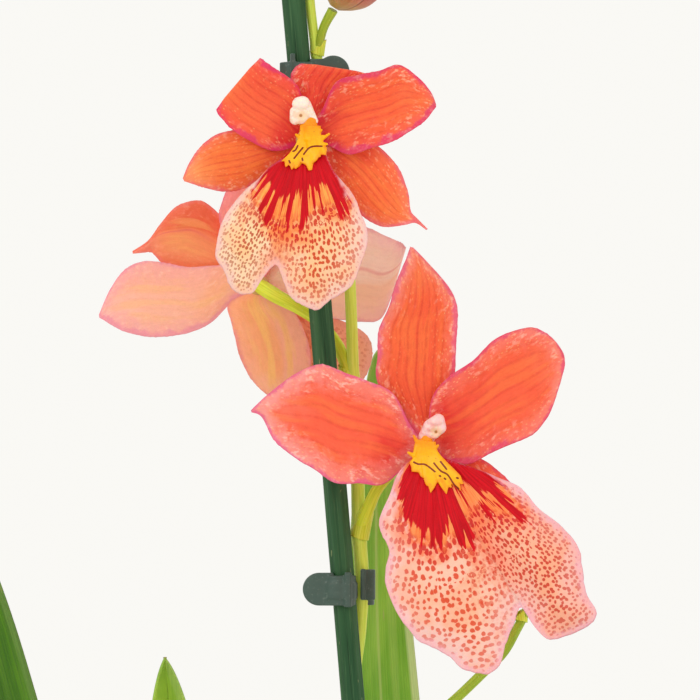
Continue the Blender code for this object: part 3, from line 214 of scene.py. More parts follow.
BACK_TEPALS = {
    "left_sepal": [
        (-1.0, -1.0, -1.0, 0.8, 0.8, 0.8, 0.8),
        (-5.2, -2.8, -5.0, 3.2, 1.4, 1.0, 1.4),
        (-9.6, -7.0, -9.4, 3.4, 2.2, 1.4, 1.8),
        (-14.2, -9.4, -13.8, 3.5, 2.6, 1.8, 2.2),
        (-19.0, -10.3, -18.4, 4.4, 3.0, 2.2, 2.6),
        (-23.4, -10.1, -23.0, 4.8, 3.2, 2.6, 2.8),
        (-27.4, -9.1, -26.8, 3.2, 3.4, 3.0, 3.0),
        (-30.4, -7.4, -29.8, -0.8, 3.6, 3.4, 3.4),
        (-32.0, -6.5, -32.1, -5.9, 3.8, 3.8, 3.8),
    ],
    "left_petal": [
        (-1.0, 0.2, -0.4, 1.6, 2.0, 2.0, 2.0),
        (-6.0, 2.6, -4.6, 8.6, 3.6, 3.2, 3.8),
        (-11.0, 2.6, -8.2, 14.0, 4.4, 3.8, 4.8),
        (-15.6, 3.0, -11.8, 17.0, 5.0, 4.2, 5.4),
        (-19.2, 4.4, -16.4, 15.9, 5.4, 4.4, 5.4),
        (-21.4, 6.6, -19.6, 12.5, 5.6, 4.8, 5.4),
        (-23.2, 6.6, -22.2, 9.0, 5.8, 5.4, 5.6),
        (-25.3, 6.4, -25.4, 6.9, 6.2, 6.2, 6.2),
    ],
    "dorsal_sepal": [
        (-1.0, 1.2, 1.0, 1.2, 0.8, 0.8, 0.8),
        (-5.4, 7.6, 4.0, 7.6, 1.2, 1.0, 1.4),
        (-7.8, 13.4, 4.4, 13.8, 1.6, 1.4, 2.0),
        (-7.2, 17.0, 3.8, 18.0, 2.0, 1.6, 2.4),
        (-5.6, 20.6, 2.0, 21.0, 2.4, 2.2, 2.8),
        (-2.8, 24.2, -1.8, 24.3, 3.0, 3.0, 3.0),
    ],
    "right_petal": [
        (0.6, 1.6, 1.2, 0.2, 2.0, 2.0, 2.0),
        (5.0, 5.4, 5.0, -2.0, 3.6, 3.0, 3.4),
        (10.0, 9.0, 10.4, -4.6, 4.6, 3.8, 4.6),
        (15.6, 11.4, 15.8, -6.6, 5.2, 4.4, 5.4),
        (21.0, 11.8, 20.6, -7.3, 5.4, 4.8, 5.8),
        (25.6, 9.9, 24.4, -6.8, 5.4, 5.0, 6.0),
        (28.6, 8.6, 26.6, -2.6, 5.2, 5.0, 5.8),
        (29.5, 7.8, 28.6, 4.2, 5.0, 5.0, 5.4),
        (29.6, 7.5, 29.4, 6.8, 5.0, 5.0, 5.0),
    ],
    "right_sepal": [
        (-1.0, -1.0, 1.0, -1.2, 0.8, 0.8, 0.8),
        (-5.2, -3.6, 4.4, -3.4, 1.4, 1.0, 1.4),
        (-5.0, -7.2, 7.6, -6.8, 1.2, 1.4, 2.0),
        (-4.6, -10.8, 9.8, -11.0, 1.2, 1.8, 2.2),
        (-3.7, -14.4, 10.6, -15.6, 1.6, 2.0, 2.4),
        (-1.6, -18.6, 9.0, -19.6, 2.2, 2.2, 2.6),
        (1.2, -21.6, 6.8, -21.8, 2.6, 2.6, 2.6),
        (3.4, -22.8, 4.4, -22.8, 2.8, 2.8, 2.8),
    ],
}

# A lip's margin, from its left shoulder round the two lobes to its right shoulder: (across, height)
UPPER_LIP = [
    (-3.2, -3.6), (-5.6, -4.6), (-7.6, -6.0), (-9.6, -8.2), (-11.8, -10.0), (-13.8, -12.2),
    (-16.2, -15.6), (-17.4, -19.2), (-17.9, -23.4), (-16.4, -26.0), (-15.2, -29.0), (-13.4, -30.8),
    (-10.6, -30.6), (-8.6, -27.8), (-6.8, -25.6), (-5.7, -25.2), (-4.9, -27.0), (-3.2, -31.2),
    (-0.4, -33.2), (2.4, -34.0), (5.0, -32.0), (8.8, -29.6), (10.6, -26.0), (12.2, -20.8),
    (12.0, -17.4), (10.8, -14.6), (10.0, -12.2), (8.4, -9.8), (6.2, -7.6), (4.8, -5.0), (4.0, -3.0),
]
LOWER_LIP = [
    (-3.2, -2.6), (-5.6, -5.4), (-7.2, -9.6), (-9.1, -14.0), (-8.8, -17.0), (-7.2, -20.4),
    (-7.9, -24.0), (-7.8, -27.6), (-5.8, -32.6), (-3.0, -36.6), (-1.2, -38.5), (2.4, -40.2),
    (5.0, -41.8), (7.4, -44.0), (12.0, -45.1), (14.8, -43.2), (15.9, -39.2), (17.6, -35.0),
    (18.7, -32.0), (19.9, -32.7), (21.6, -35.5), (24.6, -38.2), (28.6, -37.3), (32.8, -35.2),
    (34.0, -32.6), (32.0, -29.0), (31.3, -24.4), (30.4, -19.8), (27.0, -15.6), (22.4, -12.0),
    (19.0, -8.0), (15.0, -6.2), (10.6, -4.4), (6.0, -3.0), (2.6, -2.4),
]
BACK_LIP = [
    (-2.0, -4.0), (-3.4, -9.0), (-2.6, -14.0), (0.6, -18.0), (5.0, -20.6), (9.0, -20.2),
    (12.0, -21.6), (16.4, -22.0), (20.4, -19.8), (22.8, -15.0), (22.2, -10.6), (18.4, -7.8),
    (11.0, -5.2), (4.0, -2.6),
]
LIP_ROOT_LEFT = (-1.6, -1.5)
LIP_ROOT_RIGHT = (1.6, -1.5)

# The stake's middle line: across, depth, height
STAKE_LINE = [
    (18.0, 0.0, 14.0),
    (11.2, 0.0, 95.0),
    (-3.0, 0.0, 262.0),
    (-11.4, 0.0, 360.0),
    (-15.1, 0.0, 404.0),
    (-17.9, 0.0, 438.0),
    (-23.3, 0.0, 500.0),
    (-25.9, 0.0, 530.0),
]

# The spike's stem from the medium to its tip: across, depth, height, radius
STEM_LINE = [
    (3.0, 12.0, 84.0, 2.4),
    (3.0, 11.6, 110.0, 2.3),
    (2.0, 9.0, 150.0, 2.2),
    (-2.0, 6.6, 210.0, 2.0),
    (-5.8, 5.4, 270.0, 1.9),
    (-9.6, 5.0, 320.0, 1.8),
    (-11.6, 4.8, 358.0, 1.6),
    (-10.2, 3.9, 374.0, 1.5),
    (-9.6, 3.2, 384.0, 1.45),
    (-10.2, 2.8, 394.0, 1.4),
    (-10.5, 2.6, 406.0, 1.35),
    (-11.2, 2.6, 420.0, 1.25),
    (-11.6, 2.6, 434.0, 1.15),
    (-12.3, 2.6, 448.0, 1.15),
    (-14.0, 2.4, 463.0, 1.1),
    (-16.6, 2.0, 477.0, 1.05),
    (-18.4, 1.7, 487.0, 1.0),
    (-20.0, 1.5, 500.0, 0.95),
    (-20.6, 1.5, 512.0, 0.9),
    (-20.2, 1.0, 524.0, 0.8),
    (-19.0, 0.5, 536.0, 0.7),
    (-17.6, 0.0, 548.0, 0.6),
]
# Side stems that are fused to the spike: across, depth, height, radius
SIDE_STEMS = {
    "lower_pedicel": [
        (-10.3, 2.8, 393.0, 1.3), (-9.3, 1.6, 396.2, 1.5), (-8.0, 0.2, 399.2, 1.3),
        (-6.4, -1.6, 402.4, 1.15), (-3.2, -4.2, 406.4, 1.15), (1.6, -8.1, 409.6, 1.2),
    ],
    "upper_pedicel": [
        (-13.0, 2.5, 456.0, 1.1), (-13.8, 0.4, 459.6, 1.15), (-15.4, -3.4, 464.4, 1.15),
        (-18.2, -7.4, 468.8, 1.2), (-20.2, -10.1, 471.3, 1.2),
    ],
    "back_pedicel": [
        (-11.8, 2.6, 424.0, 1.2), (-13.4, 3.7, 428.6, 1.25), (-14.9, 4.8, 431.6, 1.2),
        (-18.0, 5.9, 435.4, 1.15), (-22.0, 6.6, 438.2, 1.2), (-26.6, 7.2, 440.7, 1.3),
        (-29.2, 8.8, 442.3, 1.3), (-30.3, 11.4, 443.0, 1.2),
    ],
    "first_bud_pedicel": [(-18.6, 1.6, 489.5, 0.9), (-17.3, 0.4, 494.4, 0.85), (-15.4, -0.8, 498.0, 1.0)],
    "second_bud_pedicel": [(-20.6, 1.5, 509.0, 0.8), (-22.0, 4.4, 513.6, 0.75), (-24.0, 6.6, 517.0, 0.9)],
    "third_bud_pedicel": [(-20.3, 1.2, 521.0, 0.7), (-17.4, -0.6, 525.6, 0.65), (-15.6, -2.2, 528.6, 0.8)],
    "fourth_bud_pedicel": [(-19.2, 0.6, 534.0, 0.6), (-21.2, -1.0, 538.4, 0.55), (-22.6, -2.2, 541.4, 0.7)],
    "side_branch": [
        (-10.8, 4.8, 340.0, 1.4), (-6.0, 7.4, 345.0, 1.15), (2.0, 9.0, 353.6, 1.05),
        (9.6, 9.0, 360.4, 1.0), (15.2, 8.6, 365.8, 1.0), (18.8, 8.2, 369.4, 0.95),
        (21.2, 8.0, 373.6, 0.95), (23.6, 8.0, 378.4, 0.9), (25.4, 8.2, 384.4, 0.85),
    ],
    "side_bud_pedicel": [(23.4, 8.0, 378.0, 0.7), (22.6, 9.4, 381.0, 0.6), (21.9, 10.4, 383.2, 0.7)],
}
# Clasping bracts on the spike: place, direction of the tip, length and base radius
BRACTS = [
    ((-10.3, 2.9, 392.6), (0.30, -0.20, 0.93), 6.0, 2.0),
    ((-12.0, 2.7, 423.6), (-0.30, 0.20, 0.93), 4.2, 1.7),
    ((-13.0, 2.6, 455.4), (0.25, -0.20, 0.95), 3.8, 1.6),
    ((-18.7, 1.8, 489.2), (0.30, -0.10, 0.95), 3.4, 1.4),
    ((-20.6, 1.5, 508.8), (-0.25, 0.25, 0.93), 3.0, 1.2),
    ((-11.0, 4.9, 339.0), (0.35, 0.10, 0.93), 9.0, 2.4),
    ((-7.0, 5.3, 288.0), (-0.10, 0.10, 0.99), 13.0, 2.6),
    ((-2.4, 6.5, 216.0), (0.10, 0.10, 0.99), 15.0, 2.8),
    ((2.3, 9.6, 144.0), (-0.05, 0.10, 0.99), 16.0, 3.1),
    ((22.2, 8.0, 375.6), (0.20, 0.10, 0.97), 3.2, 1.3),
]
# Buds: base point, direction, length and radius
BUDS = [
    ((-15.1, -1.1, 498.5), (0.55, -0.12, 0.83), 17.0, 6.2),
    ((-24.3, 6.9, 517.5), (-0.52, 0.42, 0.74), 15.0, 5.0),
    ((-15.3, -2.5, 529.1), (0.48, -0.36, 0.80), 12.5, 4.0),
    ((-22.8, -2.4, 541.9), (-0.48, -0.30, 0.82), 10.0, 3.1),
    ((-17.55, 0.0, 548.5), (0.14, -0.05, 0.99), 8.0, 2.3),
    ((25.6, 8.3, 384.9), (0.30, 0.12, 0.95), 9.0, 3.0),
    ((21.7, 10.6, 383.7), (-0.24, 0.40, 0.88), 7.0, 2.2),
]

# Pseudobulbs: middle across, middle depth, turn about the vertical in degrees, half width, half
# thickness, top height
BULBS = [
    (21.0, 23.0, 8.0, 14.0, 8.5, 162.0),
    (-10.5, 25.0, -12.0, 13.0, 8.5, 152.0),
    (-36.0, 4.0, 62.0, 13.0, 8.5, 146.0),
]
BULB_FOOT = 84.0

# Leaves: points of the middle line (across, depth, height), the turn of the blade's width about the
# vertical in degrees, half width, and the fold of its V in degrees at the base and at the tip
LEAVES = {
    "leaf_1": ([(20.0, 25.0, 161.8), (11.0, 31.0, 232.0), (-1.0, 36.0, 302.0), (-6.6, 39.5, 372.0),
                (-6.4, 42.0, 430.0)], 22.0, 10.4, 62.0, 16.0),
    "leaf_2": ([(33.6, 23.4, 147.0), (38.6, 21.0, 216.0), (53.0, 17.0, 288.0), (76.0, 13.0, 334.0),
                (96.0, 10.0, 346.0)], -84.0, 12.0, 60.0, 22.0),
    "leaf_3": ([(40.0, 25.4, 88.0), (42.0, 25.0, 130.0), (54.0, 22.0, 186.0), (82.0, 16.0, 232.0),
                (112.0, 8.0, 236.0)], -80.0, 11.0, 58.0, 20.0),
    "leaf_4": ([(-12.6, 25.6, 151.5), (-22.0, 25.0, 220.0), (-36.0, 23.0, 288.0), (-46.0, 21.0, 336.0),
                (-49.3, 20.0, 368.2)], 4.0, 13.5, 58.0, 34.0),
    "leaf_5": ([(0.0, 23.4, 138.0), (3.0, 34.0, 200.0), (8.0, 58.0, 268.0), (16.0, 88.0, 308.0),
                (22.0, 114.0, 314.0)], -36.0, 12.0, 60.0, 20.0),
    "leaf_6": ([(-37.0, 3.0, 146.4), (-49.0, 0.0, 220.0), (-69.2, -6.0, 300.0), (-88.2, -13.0, 378.0),
                (-108.0, -22.0, 440.0)], 56.0, 13.0, 58.0, 26.0),
    "leaf_7": ([(-44.4, -11.4, 88.0), (-47.0, -15.0, 126.0), (-60.0, -32.0, 180.0), (-82.0, -58.0, 216.0),
                (-104.0, -84.0, 222.0)], 146.0, 11.0, 58.0, 20.0),
    "leaf_8": ([(12.5, -29.0, 86.0), (11.5, -31.0, 130.0), (5.0, -41.0, 186.0), (-7.0, -58.0, 232.0),
                (-19.0, -76.0, 250.0)], 150.0, 9.5, 62.0, 24.0),
    "leaf_9": ([(24.0, -22.0, 86.0), (26.0, -23.0, 120.0), (38.0, -31.0, 166.0), (58.0, -45.0, 198.0),
                (82.0, -61.0, 204.0)], -123.0, 9.0, 62.0, 22.0),
    "leaf_10": ([(18.0, -16.0, 86.0), (18.0, -15.0, 120.0), (19.0, -16.0, 170.0), (24.0, -20.0, 226.0),
                 (32.0, -25.0, 268.0)], -123.0, 8.0, 66.0, 34.0),
    "leaf_11": ([(-30.2, 30.6, 88.0), (-31.4, 32.0, 130.0), (-39.0, 44.0, 184.0), (-57.0, 68.0, 224.0),
                 (-78.0, 92.0, 226.0)], 55.0, 11.0, 58.0, 20.0),
}

# Clips: height of the middle, place of the stem there (across, depth), stem radius, side of the flap
CLIPS = {
    "clip_upper": (485.6, (-18.2, 1.75), 1.05, 1),
    "clip_lower": (382.2, (-9.7, 3.3), 1.5, -1),
    "clip_bottom": (262.0, (-5.2, 5.5), 1.95, -1),
}



def spline_values(rows, place):
    """Values on a smooth curve through rows of numbers, at a place from 0 (first) to 1 (last)."""
    last = len(rows) - 1
    at = min(max(place, 0.0), 1.0) * last
    i = min(int(at), last - 1)
    f = at - i
    near = (rows[max(i - 1, 0)], rows[i], rows[i + 1], rows[min(i + 2, last)])
    return [
        b + 0.5 * f * (c - a + f * (2.0 * a - 5.0 * b + 4.0 * c - d + f * (3.0 * (b - c) + d - a)))
        for a, b, c, d in zip(*near)
    ]


def smooth(value, low, high):
    """0 at low, 1 at high, with an even turn between them."""
    f = np.clip((value - low) / (high - low), 0.0, 1.0)
    return f * f * (3.0 - 2.0 * f)


def wobble(x, y=0.0, z=0.0):
    """Smooth noise from about -1 to 1."""
    return noise.noise(Vector((x, y, z)))


class Graph:
    """A node tree in the making. Each call adds one node."""

    def __init__(self, tree):
        self.tree = tree

    def node(self, kind, inputs=None, **settings):
        made = self.tree.nodes.new(kind)
        for key, value in settings.items():
            setattr(made, key, value)
        for key, value in (inputs or {}).items():
            live = [s for s in made.inputs if s.enabled]
            socket = made.inputs[key] if isinstance(key, int) else next(s for s in live if s.name == key)
            if isinstance(value, bpy.types.NodeSocket):
                self.tree.links.new(value, socket)
            else:
                socket.default_value = value
        return made

    def out(self, kind, inputs=None, **settings):
        """The first live output of a new node."""
        made = self.node(kind, inputs, **settings)
        return next(s for s in made.outputs if s.enabled)

    def calc(self, operation, *values):
        return self.out("ShaderNodeMath", dict(enumerate(values)), operation=operation)

    def vector(self, operation, *values):
        return self.out("ShaderNodeVectorMath", dict(enumerate(values)), operation=operation)

    def combine(self, x=0.0, y=0.0, z=0.0):
        return self.out("ShaderNodeCombineXYZ", {0: x, 1: y, 2: z})

    def parts(self, vector):
        return self.node("ShaderNodeSeparateXYZ", {0: vector}).outputs

    def noise(self, vector, scale, detail=2.0, roughness=0.5):
        return self.out("ShaderNodeTexNoise", {"Vector": vector, "Scale": scale, "Detail": detail,
                                               "Roughness": roughness})

    def step(self, value, low, high, start=0.0, end=1.0):
        """start up to low, end past high, with an even turn between them; high may be under low."""
        if high < low:
            low, high, start, end = high, low, end, start
        return self.out("ShaderNodeMapRange", {"Value": value, "From Min": low, "From Max": high,
                                               "To Min": start, "To Max": end},
                        interpolation_type="SMOOTHSTEP")


class Growth(Graph):
    """A Geometry Nodes tree that starts from a guide mesh and ends as one plain mesh."""

    def __init__(self, name, sizes):
        super().__init__(bpy.data.node_groups.new(name, "GeometryNodeTree"))
        face = self.tree.interface
        face.new_socket("Geometry", in_out="OUTPUT", socket_type="NodeSocketGeometry")
        face.new_socket("Geometry", in_out="INPUT", socket_type="NodeSocketGeometry")
        for label, value in sizes.items():
            kind = "NodeSocketInt" if isinstance(value, int) else "NodeSocketFloat"
            face.new_socket(label, in_out="INPUT", socket_type=kind).default_value = value
        face.new_socket("Material", in_out="INPUT", socket_type="NodeSocketMaterial")
        self.inlet = self.node("NodeGroupInput").outputs

    def named(self, name, kind="FLOAT"):
        return self.out("GeometryNodeInputNamedAttribute", {"Name": name}, data_type=kind)

    def store(self, geometry, name, value, kind="FLOAT", **more):
        inputs = {"Geometry": geometry, "Name": name, "Value": value}
        inputs.update(more)
        return self.out("GeometryNodeStoreNamedAttribute", inputs, data_type=kind, domain="POINT")

    def finish(self, geometry):
        smoothed = self.out("GeometryNodeSetShadeSmooth", {"Geometry": geometry})
        real = self.out("GeometryNodeRealizeInstances", {"Geometry": smoothed})
        coated = self.out("GeometryNodeSetMaterial", {"Geometry": real, "Material": self.inlet["Material"]})
        outlet = self.tree.nodes.new("NodeGroupOutput")
        self.tree.links.new(coated, outlet.inputs[0])
        return self.tree


def grown(name, guide, tree, **sizes):
    """The plain mesh that a tree grows from a guide mesh."""
    thing = bpy.data.objects.new(name + "_guide", guide)
    bpy.context.scene.collection.objects.link(thing)
    growth = thing.modifiers.new("growth", "NODES")
    growth.node_group = tree
    for item in tree.interface.items_tree:
        key = item.name.replace(" ", "_").lower()
        if item.in_out == "INPUT" and key in sizes:
            growth[item.identifier] = sizes[key]
    graph = bpy.context.evaluated_depsgraph_get()
    mesh = bpy.data.meshes.new_from_object(thing.evaluated_get(graph))
    mesh.name = name
    bpy.data.objects.remove(thing)
    return mesh


def piece(name, mesh, slot, *nodes, material=None):
    """Add a finished mesh to the scene as a piece that stands for these solids."""
    thing = bpy.data.objects.new(name, mesh)
    bpy.context.scene.collection.objects.link(thing)
    if material:
        mesh.materials.clear()
        mesh.materials.append(material)
    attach(thing, "root")
    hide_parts(*nodes)
    return thing


def guide_line(name, points, **values):
    """A mesh line through points in millimetres, with a number kept at each point under each name."""
    mesh = bpy.data.meshes.new(name)
    mesh.from_pydata([Vector(p[:3]) * MM for p in points], [(i, i + 1) for i in range(len(points) - 1)], [])
    for key, numbers in values.items():
        mesh.attributes.new(key, "FLOAT", "POINT").data.foreach_set("value", [float(n) for n in numbers])
    return mesh


def sweep_tree():
    """A round body along a path: girth is its radius, and ribbing says where ribs or grooves show."""
    g = Growth("swept_stem", {"Sides": 16, "Ribs": 0.0, "Rib Depth": 0.0})
    path = g.out("GeometryNodeMeshToCurve", {"Mesh": g.inlet["Geometry"]})
    length = g.node("GeometryNodeSplineParameter").outputs["Length"]
    path = g.store(path, "run", length)
    ring = g.out("GeometryNodeCurvePrimitiveCircle", {"Resolution": g.inlet["Sides"], "Radius": 1.0}, mode="RADIUS")
    round_place = g.node("GeometryNodeSplineParameter").outputs["Factor"]
    ring = g.store(ring, "turn", round_place)
    body = g.out("GeometryNodeCurveToMesh", {"Curve": path, "Profile Curve": ring, "Scale": g.named("girth"),
                                             "Fill Caps": True})
    wave = g.calc("COSINE", g.calc("MULTIPLY", g.calc("MULTIPLY", g.named("turn"), g.inlet["Ribs"]), TAU))
    push = g.calc("MULTIPLY", g.calc("MULTIPLY", wave, g.inlet["Rib Depth"]), g.named("ribbing"))
    out = g.vector("SCALE", g.node("GeometryNodeInputNormal").outputs[0])
    g.tree.links.new(push, out.node.inputs["Scale"])
    body = g.out("GeometryNodeSetPosition", {"Geometry": body, "Offset": out})
    return g.finish(body)


def swept(name, points, sides=16, ribs=0.0, rib_depth=0.0, ribbing=None, material=None):
    """A stem, bud, cane or root along points of (across, depth, height, radius) in millimetres."""
    mesh = guide_line(name + "_line", points, girth=[p[3] * MM for p in points],
                      ribbing=ribbing or [1.0] * len(points))
    return grown(name, mesh, TREES["sweep"], sides=sides, ribs=float(ribs), rib_depth=rib_depth * MM,
                 material=material)


def joined(name, meshes):
    """One mesh from several, with their attributes kept."""
    things = []
    for mesh in meshes:
        thing = bpy.data.objects.new(name, mesh)
        bpy.context.scene.collection.objects.link(thing)
        things.append(thing)
    with bpy.context.temp_override(active_object=things[0], selected_editable_objects=things,
                                   selected_objects=things):
        bpy.ops.object.join()
    mesh = things[0].data
    bpy.data.objects.remove(things[0])
    mesh.name = name
    return mesh


def sheet_mesh(name, grid, thickness, values, front=None):
    """A closed thin body over a grid of points in millimetres, with its thickness at each point.

    values holds numbers for each point under their names; place.z is 1 on the front and 0 on the back."""
    rows, columns = grid.shape[:2]
    down = np.gradient(grid, axis=0)
    across = np.gradient(grid, axis=1)
    normal = np.cross(across, down)
    length = np.linalg.norm(normal, axis=2, keepdims=True)
    normal = normal / np.maximum(length, 1e-9)
    if front is not None and (normal * np.array(front)).sum() < 0.0:
        normal = -normal
    half = 0.5 * thickness[..., None] * normal
    points = np.concatenate([(grid + half).reshape(-1, 3), (grid - half).reshape(-1, 3)]) * MM
    count = rows * columns
    index = np.arange(count).reshape(rows, columns)
    quads = np.stack([index[:-1, :-1], index[:-1, 1:], index[1:, 1:], index[1:, :-1]], -1).reshape(-1, 4)
    border = np.concatenate([index[0], index[1:, -1], index[-1, -2::-1], index[-2:0:-1, 0]])
    following = np.roll(border, -1)
    rim = np.stack([following, border, border + count, following + count], -1)
    faces = np.concatenate([quads, quads[:, ::-1] + count, rim])
    mesh = bpy.data.meshes.new(name)
    mesh.from_pydata(points.tolist(), [], faces.tolist())
    for key, numbers in values.items():
        flat = np.asarray(numbers, dtype=np.float32)
        kind = "FLOAT_VECTOR" if flat.ndim == 3 else "FLOAT"
        both = np.concatenate([flat.reshape(count, -1), flat.reshape(count, -1)])
        if key == "place":
            both[:count, 2] = 1.0
            both[count:, 2] = 0.0
        data = mesh.attributes.new(key, kind, "POINT").data
        data.foreach_set("vector" if flat.ndim == 3 else "value", both.ravel())
    bm = bmesh.new()
    bm.from_mesh(mesh)
    bmesh.ops.recalc_face_normals(bm, faces=bm.faces)
    bm.to_mesh(mesh)
    bm.free()
    mesh.shade_smooth()
    return mesh


def blade_values(grid, along, side):
    """place = (across, along, front) and flat = (mm from the rib, mm from the base, mm from the margin)."""
    steps = np.linalg.norm(np.diff(grid, axis=0), axis=2)
    middle = steps[:, steps.shape[1] // 2]
    run = np.concatenate([[0.0], np.cumsum(middle)])
    width = np.linalg.norm(np.diff(grid, axis=1), axis=2).sum(axis=1) / 2.0
    run_grid = np.repeat(run[:, None], grid.shape[1], axis=1)
    half = np.repeat(width[:, None], grid.shape[1], axis=1)
    rim = np.minimum((1.0 - np.abs(side)) * half, (run[-1] - run_grid) * 0.8 + 0.25 * (1.0 - np.abs(side)) * half)
    place = np.stack([side, along, np.zeros_like(side)], -1)
    flat = np.stack([side * half, run_grid, rim], -1)
    return {"place": place, "flat": flat}


TEPAL_ROWS = 64
TEPAL_COLUMNS = 40
TEPAL_MIDDLE_THICKNESS = 0.62
TEPAL_RIM_THICKNESS = 0.16
TEPAL_RIM_REACH = 3.0
TEPAL_BASE_SPREAD = 0.16


def tepal_mesh(name, stations, middle, facing, seed, ripple=0.35):
    """A petal or sepal: bowed, slightly rippled towards its margins, thick at its base and thin at its rim."""
    grid = np.zeros((TEPAL_ROWS + 1, TEPAL_COLUMNS + 1, 3))
    side_grid = np.zeros((TEPAL_ROWS + 1, TEPAL_COLUMNS + 1))
    along_grid = np.zeros_like(side_grid)
    for i in range(TEPAL_ROWS + 1):
        along = i / TEPAL_ROWS
        x_a, z_a, x_b, z_b, y_a, y_rib, y_b = spline_values(stations, along)
        width = math.hypot(x_b - x_a, z_b - z_a)
        settle = float(smooth(along, 0.12, 0.5)) * min(1.0, width / 8.0)
        for j in range(TEPAL_COLUMNS + 1):
            even = 2.0 * j / TEPAL_COLUMNS - 1.0
            side = 0.5 * even + 0.5 * math.sin(0.5 * math.pi * even)
            ragged = 0.26 * settle * wobble(along * 30.0, 3.0 * math.copysign(1.0, side), seed) * abs(side) ** 6
            f = 0.5 + 0.5 * side * (1.0 + TEPAL_BASE_SPREAD * float(smooth(along, 0.45, 0.12)))
            f += math.copysign(ragged, side) / max(width, 1.0)
            depth = y_a * side * (side - 1.0) / 2.0 + y_rib * (1.0 - side * side)
            depth += y_b * side * (side + 1.0) / 2.0
            waves = wobble(along * 5.0, side * 1.3 + 9.0, seed * 3.1) + 0.5 * wobble(along * 13.0, side, seed)
            depth += ripple * settle * abs(side) ** 2.5 * waves
            depth += 0.16 * settle * wobble(along * 4.0, side * 2.4, seed + 40.0)
            depth += 0.18 * facing * math.exp(-((side / 0.09) ** 2)) * (1.0 - along) * settle
            grid[i, j] = (middle[0] + x_a + (x_b - x_a) * f, middle[1] + depth, middle[2] + z_a + (z_b - z_a) * f)
            side_grid[i, j] = side
            along_grid[i, j] = along
    values = blade_values(grid, along_grid, side_grid)
    rim = values["flat"][..., 2]
    body = TEPAL_MIDDLE_THICKNESS * (1.0 + 0.5 * (1.0 - along_grid) ** 3)
    thickness = TEPAL_RIM_THICKNESS + (body - TEPAL_RIM_THICKNESS) * smooth(rim, 0.0, TEPAL_RIM_REACH)
    return sheet_mesh(name, grid, thickness, values, front=(0.0, -facing, 0.0))


LIP_ROWS = 62
LIP_COLUMNS = 168
LIP_MIDDLE_THICKNESS = 0.6
LIP_RIM_THICKNESS = 0.15
# Where a lip's stripes and spots fan out from: across and height from the bloom's middle
LIP_FOCUS = {"upper": (-0.2, 3.0), "lower": (0.6, 2.2), "back": (-0.4, 2.6)}
# How far the red patch reaches from that focus, by the angle from straight down in degrees
RED_PATCH = {
    "upper": [(-60, 3.0), (-44, 6.0), (-40, 12.0), (-37, 15.6), (-30, 17.3), (-20, 18.6), (-9, 17.8), (0, 17.6),
              (8, 15.8), (17, 15.4), (24, 17.0), (28, 14.6), (33, 11.0), (38, 5.0), (60, 3.0)],
    "lower": [(-60, 4.0), (-38, 7.0), (-30, 10.5), (-26, 12.6), (-20, 14.6), (-13, 16.6), (-8, 19.2), (-2, 20.0),
              (4, 19.0), (8, 21.4), (12, 19.0), (16, 18.6), (20, 22.6), (25, 17.0), (31, 15.0), (37, 16.0),
              (42, 19.0), (48, 21.4), (53, 21.0), (56, 17.0), (60, 8.0), (70, 4.0)],
    "back": [(-70, 3.0), (-40, 7.0), (-30, 12.0), (0, 14.0), (30, 12.0), (50, 10.0), (70, 4.0)],
}
# Creases in a lip: angle in degrees, width in degrees, depth in millimetres, where it starts from the focus
LIP_CREASES = {
    "upper": [(-14.0, 5.0, 0.9, 16.0), (2.0, 3.0, 0.5, 8.0), (26.0, 4.0, -0.5, 14.0), (-30.0, 5.0, -0.5, 12.0)],
    "lower": [(31.0, 6.0, 0.9, 16.0), (4.0, 3.0, 0.4, 8.0), (40.0, 5.0, -0.8, 12.0), (20.0, 5.0, -0.7, 14.0),
              (-26.0, 4.0, 0.7, 16.0)],
    "back": [(20.0, 5.0, 0.8, 10.0)],
}


def patch_reach(reaches, degrees):
    for (a, low), (b, high) in zip(reaches, reaches[1:]):
        if a <= degrees <= b:
            return low + (high - low) * float(smooth(degrees, a, b))
    return 0.0


def margin_distance(x, z, margin_x, margin_z):
    """How far points lie from the nearest point of a margin."""
    nearest = np.full(x.shape, 99.0)
    for rim_x, rim_z in zip(margin_x, margin_z):
        nearest = np.minimum(nearest, np.hypot(x - rim_x, z - rim_z))
    return nearest


